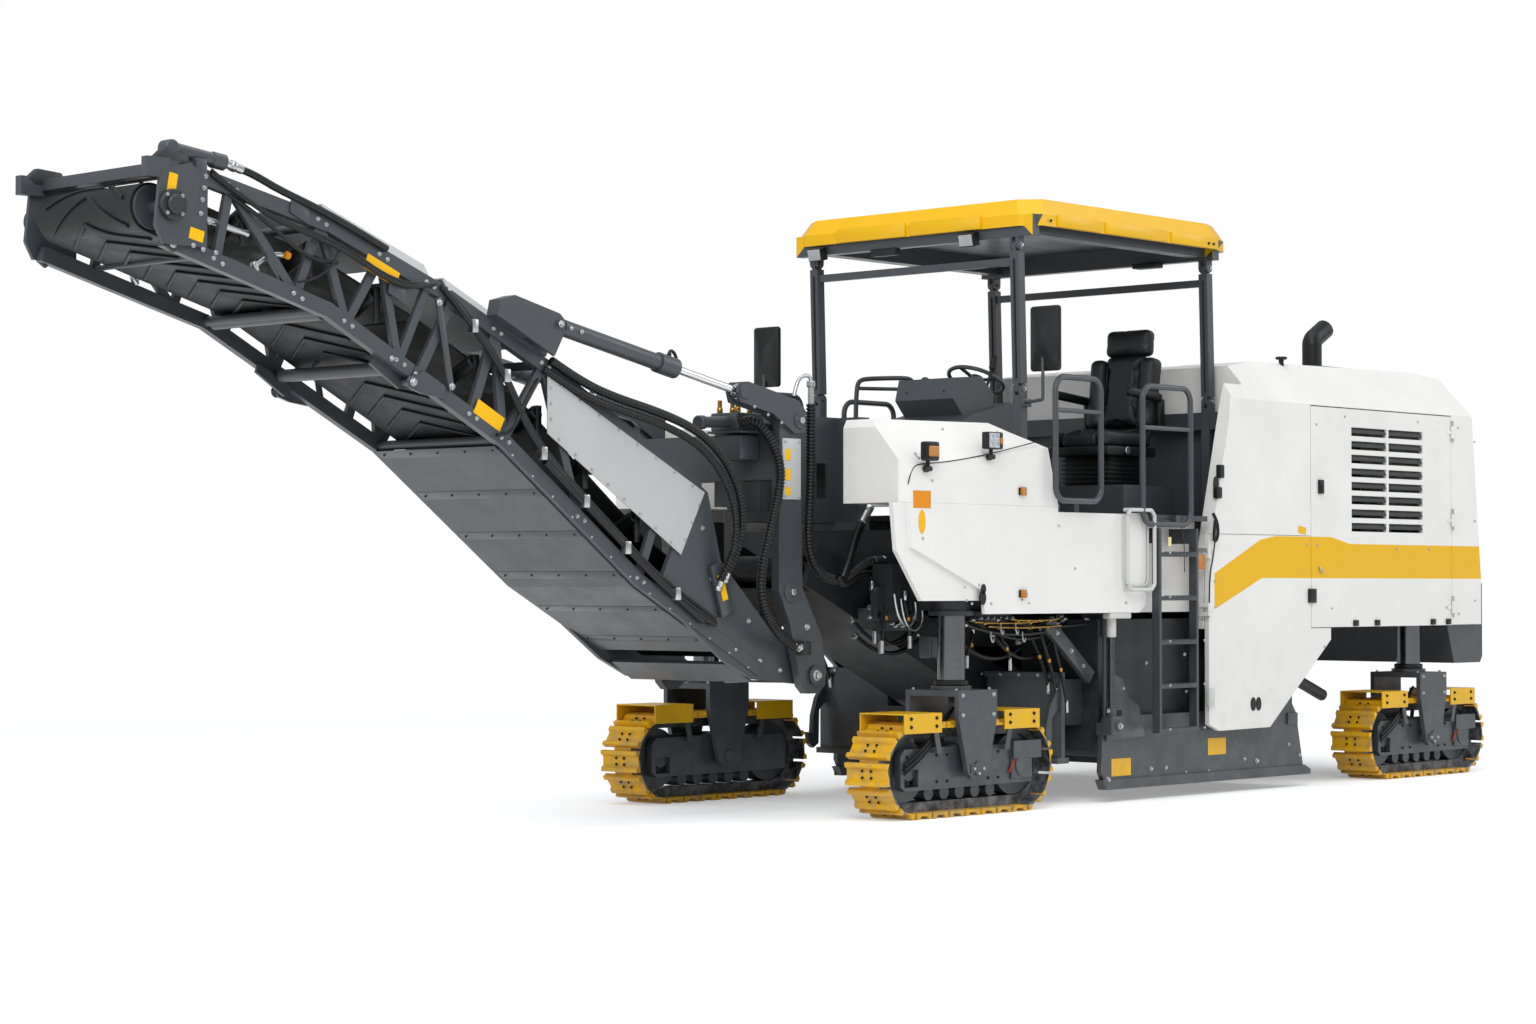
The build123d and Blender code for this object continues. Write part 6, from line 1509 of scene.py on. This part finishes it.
def canopy_details():
    """Pressed panels, corner lamps, middle box, bolts and cables of the canopy."""
    panels = []
    for low_y, high_y in ((-0.62, -0.02), (0.02, 0.62)):
        panel = bar("front_pressing", Vector((-0.005, low_y, -0.064)), Vector((0.014, high_y, 0.030)),
                    0.005)
        panel.data.transform(Matrix.Translation(at(-0.8395, 0, 3.79)))
        panels.append(panel)
    for low_x, high_x in ((-1.55, -1.08), (-2.30, -1.60), (-2.90, -2.35)):
        panels.append(bar("side_pressing", at(low_x, 1.0465, 3.728), at(high_x, 1.062, 3.806), 0.005))
    finished(joined("canopy_pressings", panels), "canopy_roof", "yellow_paint", yellow)
    lamps, faces, spots = [], [], []
    for y in (-0.80, 0.52):
        body = rounded(bar("roof_lamp", Vector((-0.035, -0.062, -0.045)), Vector((0.035, 0.062, 0.045)),
                           0), 0.010)
        face = rounded(bar("roof_lamp_glass", Vector((0.033, -0.054, -0.037)),
                           Vector((0.041, 0.054, 0.037)), 0), 0.004)
        for part, group in ((body, lamps), (face, faces)):
            group.append(tilted(part, at(-0.835, y, 3.665), 14))
        lamps.append(bar("lamp_stay", at(-0.868, y - 0.012, 3.655), at(-0.852, y + 0.012, 3.72), 0.002))
    lamps.append(rounded(bar("middle_box", at(-0.905, -0.34, 3.615), at(-0.845, -0.12, 3.665), 0), 0.008))
    lamps.append(rounded(bar("rear_box", at(-2.90, 0.40, 3.63), at(-2.80, 0.60, 3.665), 0), 0.008))
    finished(joined("roof_lamps", lamps), "canopy_roof", "black_plastic", black_plastic)
    finished(joined("roof_lamp_glasses", faces), "canopy_roof", "chrome", clear)
    for side in (-1, 1):
        for x in (-0.90, -2.93):
            spots.append((x, side * 0.952, 3.76, (0, side, 0), 1.2))
        spots += [(x, side * 1.0622, 3.76, (0, side, 0), 0.8) for x in (-2.84, -2.78, -1.0)]
    bolts("canopy_bolts", "canopy_roof", spots, dark_zinc)
    for body, x, y in (("canopy_front", -0.93, 0.864), ("canopy_rear", -2.96, 0.93)):
        made, caps = [], []
        for side in (-1, 1):
            for z in (2.68, 3.61):
                dx = (z - 2.68) * 0.0323
                caps.append((x + dx, side * (y + 0.0345), z, (0, side, 0), 1.3))
            made.append(hose("post_cable",
                             [(x + 0.038, side * y, 2.75), (x + 0.048, side * y, 3.0),
                              (x + 0.058, side * y, 3.3), (x + 0.064, side * y, 3.52)], 0.006))
        finished(joined("post_cables_" + body, made), body, "rubber", hose_rubber)
        bolts("post_bolts_" + body, body, caps)


def run_of(start, end, sag, radius, name="line"):
    """A hose hung between two points."""
    start, end = Vector(start), Vector(end)
    points = [start]
    for share in (0.12, 0.35, 0.65, 0.88):
        drop = sag * (1 - (2 * share - 1) ** 2)
        points.append(start.lerp(end, share) - Vector((0, 0, drop)))
    points.append(end)
    return hose(name, [tuple(p) for p in points], radius)


def under_body():
    """Hydraulic hoses, pipes, blocks and the swing links below the front body, on both sides."""
    black, bright, yellowish, painted = [], [], [], []
    # hoses along the chassis: start x, end x, y, height, sag, radius
    for start, end, y, z, sag, radius in ((-0.20, -1.36, 0.86, 1.215, 0.05, 0.016),
                                          (-0.22, -1.30, 0.92, 1.19, 0.09, 0.013),
                                          (-0.30, -1.25, 0.98, 1.20, 0.13, 0.011),
                                          (-0.16, -1.10, 1.03, 1.17, 0.06, 0.012),
                                          (-0.45, -1.38, 1.06, 1.20, 0.04, 0.010),
                                          (-0.60, -1.20, 0.90, 1.10, 0.16, 0.012),
                                          (-0.35, -0.95, 0.84, 1.05, 0.10, 0.014),
                                          (0.30, -0.30, 0.50, 1.20, 0.16, 0.014),
                                          (0.24, -0.12, 0.60, 1.28, 0.14, 0.012),
                                          (0.36, -0.06, 0.70, 1.22, 0.18, 0.010),
                                          (0.16, -0.45, 0.40, 1.10, 0.12, 0.016)):
        black.append(run_of((start, y, z), (end, y + 0.02, z - 0.03), sag, radius))
        for x in (start, end):
            bright.append(round_bar("union", at(x - 0.016, y, z - 0.004), at(x + 0.022, y, z - 0.004),
                                    radius * 1.35, 6, 0.002))
    # upright hoses down to the drum housing and the hold-down's cylinders
    for x, y, top, low, lean, radius in ((-0.97, 1.00, 1.16, 0.70, -0.16, 0.012),
                                         (-1.01, 0.97, 1.14, 0.66, -0.18, 0.011),
                                         (-0.93, 0.94, 1.17, 0.74, -0.20, 0.012),
                                         (-1.05, 1.04, 1.12, 0.62, -0.14, 0.010),
                                         (-0.42, 0.88, 1.15, 0.92, 0.06, 0.010),
                                         (0.22, 0.72, 1.40, 1.02, 0.06, 0.014),
                                         (0.30, 0.66, 1.42, 1.08, -0.03, 0.012),
                                         (0.15, 0.80, 1.36, 1.05, -0.05, 0.012),
                                         (-0.62, 0.96, 1.12, 0.90, -0.08, 0.009)):
        black.append(hose("drop", [(x, y, top), (x + 0.01, y, top - 0.07),
                                   (x + lean * 0.35, y + 0.012, (top + low) / 2 + 0.05),
                                   (x + lean * 0.9, y, low + 0.08), (x + lean, y, low)], radius))
        mid = (top + low) / 2
        bright.append(round_bar("crimp", at(x + lean * 0.97, y, low + 0.05), at(x + lean, y, low - 0.03),
                                radius * 1.3, 16, 0.002))
        bright.append(round_bar("crimp", at(x, y, top - 0.04), at(x, y, top + 0.02), radius * 1.35, 6,
                                0.002))
        yellowish.append(round_bar("ring", at(x + lean * 0.42, y + 0.011, mid + 0.012),
                                   at(x + lean * 0.46, y + 0.011, mid - 0.012), radius * 1.15, 16, 0.001))
    # brass pipes and their fittings
    for y, z, start, end in ((1.10, 1.185, -0.16, -0.86), (1.10, 1.155, -0.30, -1.05),
                             (1.12, 1.20, -0.50, -1.00)):
        yellowish.append(run_of((start, y, z), (end, y, z), 0.012, 0.006))
        for n in range(4):
            x = start + (end - start) * (0.15 + 0.22 * n)
            yellowish.append(round_bar("pipe_union", at(x - 0.012, y, z - 0.010),
                                       at(x + 0.014, y, z - 0.010), 0.012, 6, 0.001))
    for x, z in ((-0.40, 1.17), (-0.55, 1.17), (-0.62, 1.12), (-0.30, 1.12)):
        bright.append(hose("pale_loop",
                           [(x, 1.12, z), (x + 0.012, 1.13, z - 0.05), (x - 0.012, 1.13, z - 0.09),
                            (x - 0.03, 1.12, z - 0.04)], 0.0045))
    for x, y, z, r in ((0.30, 0.84, 1.36, 0.008), (0.26, 0.86, 1.33, 0.006)):
        bright.append(hose("pale_cable",
                           [(x, y, z), (x - 0.02, y, z - 0.12), (x - 0.08, y, z - 0.20),
                            (x - 0.18, y, z - 0.20), (x - 0.22, y, z - 0.12), (x - 0.20, y, z - 0.05)],
                           r))
    # blocks with their ports, the swing link and its boss
    painted.append(rounded(bar("front_block", at(-0.06, 0.42, 1.13), at(0.16, 0.66, 1.27), 0), 0.008))
    painted.append(rounded(bar("rail_block", at(-0.80, 0.82, 1.17), at(-0.42, 0.90, 1.25), 0), 0.008))
    painted.append(rounded(bar("pump_block", at(-0.10, 0.80, 0.96), at(0.02, 0.90, 1.10), 0), 0.012))
    for n in range(6):
        bright.append(round_bar("port", at(-0.03 + 0.034 * n, 0.655, 1.16 + 0.015 * (n % 2)),
                                at(-0.03 + 0.034 * n, 0.70, 1.16 + 0.015 * (n % 2)), 0.012, 6, 0.002))
        bright.append(round_bar("port", at(-0.77 + 0.064 * n, 0.90, 1.205),
                                at(-0.77 + 0.064 * n, 0.935, 1.205), 0.011, 6, 0.002))
    link = bar("swing_link", Vector((-0.29, -0.022, -0.048)), Vector((0.29, 0.022, 0.048)), 0.006)
    painted.append(tilted(link, at(-1.20, 1.045, 0.99), -38))
    painted.append(round_bar("link_boss", at(-0.99, 1.02, 1.155), at(-0.99, 1.075, 1.155), 0.062, 28,
                             0.006))
    for name, parts, slot, finish in (("under_hoses", black, "rubber", hose_rubber),
                                      ("under_unions", bright, "steel", zinc),
                                      ("under_brass", yellowish, "steel", brass),
                                      ("under_blocks", painted, "dark_paint", dark)):
        finished(mirrored(joined(name, parts)), "chassis", slot, finish)
    spots = []
    for side in (-1, 1):
        spots += [(x, side * 1.067, z, (0, side, 0), 1.2)
                  for x, z in ((-1.05, 1.107), (-1.20, 0.99), (-1.33, 0.89))]
        spots += [(-1.0995, side * (0.10 + 0.155 * n), 0.833, (1, 0, 0), 0.9) for n in range(6)]
    bolts("under_bolts", "chassis", spots)


def hood_details():
    """Grille, filler, screws and corner lamps of the hood, the exhaust's ring and the bumper's bolts."""
    slats = [bar("grille_slat", at(-4.53 + 0.0595 * n, -0.415, 2.9445),
                 at(-4.50 + 0.0595 * n, 0.415, 2.972), 0.003) for n in range(20)]
    slats += [bar("grille_rail", at(-4.545, y - 0.012, 2.9445), at(-3.355, y + 0.012, 2.976), 0.003)
              for y in (-0.40, 0.0, 0.40)]
    finished(joined("roof_grille", slats), "chassis", "dark_paint", darker)
    small = [round_bar("filler_neck", at(-3.80, 0.98, 2.975), at(-3.80, 0.98, 3.025), 0.018, 24),
             round_bar("filler_cap", at(-3.80, 0.98, 3.020), at(-3.80, 0.98, 3.040), 0.042, 28, 0.006)]
    small += [rounded(bar("exhaust_base", at(-5.32, 0.0, 3.0), at(-4.80, 0.60, 3.055), 0), 0.01)]
    small += [round_bar("exhaust_ring", at(-5.5, 0.15, 3.062), at(-5.5, 0.15, 3.085), 0.088, 36, 0.004)]
    finished(joined("hood_caps", small), "chassis", "black_plastic", black_plastic)
    spots = []
    for side in (-1, 1):
        spots += [(-6.02, side * 1.251, z, (0, side, 0), 0.7) for z in (1.3, 1.9, 2.5)]
        spots += [(-5.78, side * 1.251, 2.60, (0, side, 0), 0.7),
                  (-5.78, side * 1.251, 1.2, (0, side, 0), 0.7)]
    bolts("hood_screws", "chassis", spots)
    rear = [rounded(bar("corner_lamp_base", at(-6.035, 1.10, 2.62), at(-5.99, 1.18, 2.70), 0), 0.006)]
    finished(mirrored(joined("corner_lamp_bases", rear)), "chassis", "black_plastic", black_plastic)
    rear = [rounded(bar("corner_lamp", at(-6.075, 1.105, 2.625), at(-6.033, 1.175, 2.695), 0), 0.012)]
    finished(mirrored(joined("corner_lamps", rear)), "chassis", "amber", amber)
    spots = [(-6.216, y, z, (-1, 0, 0), 1.4) for y in (-0.9, -0.3, 0.3, 0.9) for z in (0.95, 1.36)]
    bolts("bumper_bolts", "chassis", spots)
    plate_on("bumper_sticker", -5.93, 1.2002, 1.25, 0.09, 0.07)


def deck_rails():
    """Bent guard rails along the platform's right-hand edge."""
    y = -1.20
    rails = [hose("long_rail", [(-1.69, y, 2.095), (-1.69, y, 2.60), (-1.70, y, 2.80), (-1.72, y, 2.855),
                                (-1.765, y, 2.880), (-1.95, y, 2.893), (-2.25, y, 2.912),
                                (-2.31, y, 2.902), (-2.335, y, 2.86), (-2.345, y, 2.75),
                                (-2.36, y, 2.095)], 0.017)]
    rails.append(hose("cross_rail", [(-1.70, y, 2.810), (-2.34, y, 2.832)], 0.014))
    rails.append(hose("short_rail",
                      [(-2.40, y, 2.095), (-2.405, y, 2.80), (-2.415, y, 2.875), (-2.44, y, 2.912),
                       (-2.48, y, 2.916), (-2.52, y, 2.885), (-2.55, y, 2.83), (-2.575, y, 2.70),
                       (-2.58, y, 2.095)], 0.017))
    rails += [round_bar("rail_foot", at(x, y, 2.0931), at(x, y, 2.108), 0.032, 24, 0.003)
              for x in (-1.69, -2.36, -2.44, -2.58)]
    finished(joined("deck_rails", rails), "chassis", "dark_paint", dark)


OTHER_SIDE = ("nose_sticker", "nose_tag", "nose_screws", "nose_ports", "nose_seam", "side_hooks",
              "ladder_studs", "grab_frame", "side_reflector", "ladder_bolts", "ladder_label",
              "side_panel_lines", "side_door_fittings", "side_door_screws", "side_door_hinge",
              "engine_door_latches", "engine_door_hook", "engine_door_screws", "seam_sticker",
              "hinge_pins", "column_switches", "side_plate_sticker", "side_plate_sticker.001", "side_ear",
              "ear_slot_shade_plate", "side_plate_bolts", "wear_lip", "lift_clevis", "lift_pin_bolts",
              "lift_brackets", "bumper_sticker")


def right_side():
    """The right-hand twins of the pieces made on the left, each on its own body."""
    for name in OTHER_SIDE:
        piece = bpy.data.objects[name]
        finished(right_twin(piece), piece["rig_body"].replace("left", "right"), piece["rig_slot"],
                 piece.data.materials[0])


def rear_lines():
    """Hoses and the swing cylinder between the drum housing and the rear tracks."""
    black, bright = [], []
    for k in range(4):
        y = 0.92 + 0.05 * k
        black.append(hose("rear_drop",
                          [(-4.25 + 0.05 * k, y, 1.24), (-4.13, y, 1.20 - 0.02 * k), (-4.04, y, 1.05),
                           (-3.98 - 0.01 * k, y, 0.92), (-3.92, y, 0.85 - 0.03 * k),
                           (-3.87, y, 0.82 - 0.03 * k)], 0.012 + 0.002 * (k % 2)))
        bright.append(round_bar("rear_crimp", at(-4.25 + 0.05 * k, y, 1.20),
                                at(-4.25 + 0.05 * k, y, 1.26), 0.017, 6, 0.002))
    black.append(round_bar("rear_cylinder", at(-3.89, 0.98, 0.77), at(-4.32, 0.98, 0.62), 0.042, 28, 0.005))
    for n in range(7):
        y = 0.80 + 0.06 * n
        black.append(run_of((-4.30 - 0.09 * n, y, 1.235), (-4.62 - 0.09 * n, y, 1.235),
                            0.07 + 0.012 * (n % 3), 0.010))
    finished(mirrored(joined("rear_hoses", black)), "chassis", "rubber", hose_rubber)
    finished(mirrored(joined("rear_unions", bright)), "chassis", "steel", zinc)


def console_details():
    """Screws, switches, lever and hub on the control desk."""
    keys = []
    for n in range(4):
        keys.append(rounded(bar("switch", at(-1.32 - 0.05 * n, -0.16, 2.760),
                                at(-1.295 - 0.05 * n, 0.0, 2.80), 0), 0.004))
    lever = [round_bar("lever", at(-1.36, 0.22, 2.66), at(-1.42, 0.25, 2.88), 0.010, 16),
             round_bar("lever_grip", at(-1.415, 0.248, 2.86), at(-1.435, 0.256, 2.95), 0.022, 24, 0.008)]
    lever += [round_bar("hub", at(-1.484, 0.06, 2.808), at(-1.492, 0.06, 2.826), 0.044, 32, 0.006)]
    finished(joined("console_controls", keys + lever), "chassis", "black_plastic", black_plastic)
    spots = [(-1.02, y, 2.70, (1, 0, 0.25), 0.8) for y in (-0.16, 0.16)]
    bolts("console_screws", "chassis", spots, dark_zinc)


# ---------------------------------------------------------------- studio
def make_studio():
    """Pale floor, soft boxes and a white surround."""
    bpy.ops.mesh.primitive_plane_add(size=400, location=(0, 0, -0.001))
    floor = bpy.context.object
    floor.name = "studio_floor"
    finish, tree, shader = blank("matt_white_studio_floor")
    place = add(tree, "ShaderNodeTexCoord").outputs["Object"]
    grain = add(tree, "ShaderNodeTexNoise", {"Vector": place, "Scale": 0.6, "Detail": 3.0})
    tree.links.new(mixed(tree, grain.outputs["Fac"], linear("#f2f2f2"), linear("#f5f5f5")),
                   shader.inputs["Base Color"])
    shader.inputs["Roughness"].default_value = 0.9
    shader.inputs["Specular IOR Level"].default_value = 0.1
    path = add(tree, "ShaderNodeLightPath")
    seen = add(tree, "ShaderNodeMath",
               {0: path.outputs["Is Camera Ray"], 1: path.outputs["Is Glossy Ray"]}, operation="MAXIMUM")
    glow = add(tree, "ShaderNodeEmission", {"Color": (1, 1, 1, 1)})
    tree.links.new(spread(tree, seen.outputs[0], 0.0, 1.0, 0.0, 0.30), glow.inputs["Strength"])
    both = add(tree, "ShaderNodeAddShader", {0: shader.outputs[0], 1: glow.outputs[0]})
    output = next(n for n in tree.nodes if n.type == "OUTPUT_MATERIAL")
    # the floor runs out into plain white, so that no edge shows behind the machine
    away = add(tree, "ShaderNodeVectorMath", {0: place}, operation="LENGTH")
    far = add(tree, "ShaderNodeMath",
              {0: spread(tree, away.outputs["Value"], 7.0, 15.0, 0.0, 1.0), 1: seen.outputs[0]},
              operation="MULTIPLY")
    plain = add(tree, "ShaderNodeEmission", {"Color": (1, 1, 1, 1), "Strength": 1.0})
    choice = add(tree, "ShaderNodeMixShader", {0: far.outputs[0], 1: both.outputs[0], 2: plain.outputs[0]})
    tree.links.new(choice.outputs[0], output.inputs["Surface"])
    floor.data.materials.append(finish)

    world = bpy.data.worlds.new("white_surround")
    bpy.context.scene.world = world
    world.use_nodes = True
    tree = world.node_tree
    tree.nodes.clear()
    path = add(tree, "ShaderNodeLightPath")
    seen = add(tree, "ShaderNodeMath",
               {0: path.outputs["Is Camera Ray"], 1: path.outputs["Is Transmission Ray"]},
               operation="MAXIMUM")
    plain = add(tree, "ShaderNodeBackground", {"Color": (0.93, 0.96, 1.0, 1), "Strength": 0.55})
    pure = add(tree, "ShaderNodeBackground", {"Color": (1, 1, 1, 1), "Strength": 1.0})
    choice = add(tree, "ShaderNodeMixShader", {0: seen.outputs[0], 1: plain.outputs[0], 2: pure.outputs[0]})
    add(tree, "ShaderNodeOutputWorld", {"Surface": choice.outputs[0]})

    for name, spot, aim, size, power in (
            ("key_soft_box", (10, 9, 12), (0, 0, 1.5), 9, 1250),
            ("front_soft_box", (16, -4, 7), (1, 0, 1.5), 8, 430),
            ("rear_soft_box", (-11, 9, 9), (-3, 0, 1.5), 8, 480),
            ("top_soft_box", (0, 0, 14), (0, 0, 0), 12, 700)):
        light = bpy.data.lights.new(name, "AREA")
        light.size = size
        light.energy = power
        holder = bpy.data.objects.new(name, light)
        bpy.context.scene.collection.objects.link(holder)
        holder.location = spot
        holder.rotation_euler = (Vector(aim) - Vector(spot)).to_track_quat("-Z", "Y").to_euler()


def make_camera():
    """Camera left of and ahead of the machine, at chest height, with a 73 mm lens."""
    turn, pitch = math.radians(42.547), 0.0241
    ahead = Vector((-math.cos(turn) * math.cos(pitch), -math.sin(turn) * math.cos(pitch), math.sin(pitch)))
    right = Vector((-math.sin(turn), math.cos(turn), 0))
    up = right.cross(ahead)
    camera = bpy.data.cameras.new("camera")
    camera.sensor_width = 36
    camera.lens = 72.56
    camera.clip_end = 500
    holder = bpy.data.objects.new("camera", camera)
    bpy.context.scene.collection.objects.link(holder)
    holder.matrix_world = (Matrix.Translation((14.8804 + FRONT, 13.1671, 1.4046))
                           @ Matrix((right, up, -ahead)).transposed().to_4x4())
    bpy.context.scene.camera = holder


# ---------------------------------------------------------------- all the pieces, in their order
dress_tracks()
dress_legs()
belt_ribs()
big_hoses()
mast_details()
conveyor_bolts()
belly_seams()
conveyor_stickers()
conveyor_lines()
lamps()
mirrors()
driver_seat()
nose_details()
head_details()
fold_details()
luff_details()
ladder_details()
door_details()
side_plate_details()
rod_details()
second_finishes()
canopy_details()
under_body()
hood_details()
rear_lines()
console_details()
deck_rails()
right_side()
make_studio()
make_camera()

bpy.context.scene.view_settings.view_transform = "Standard"
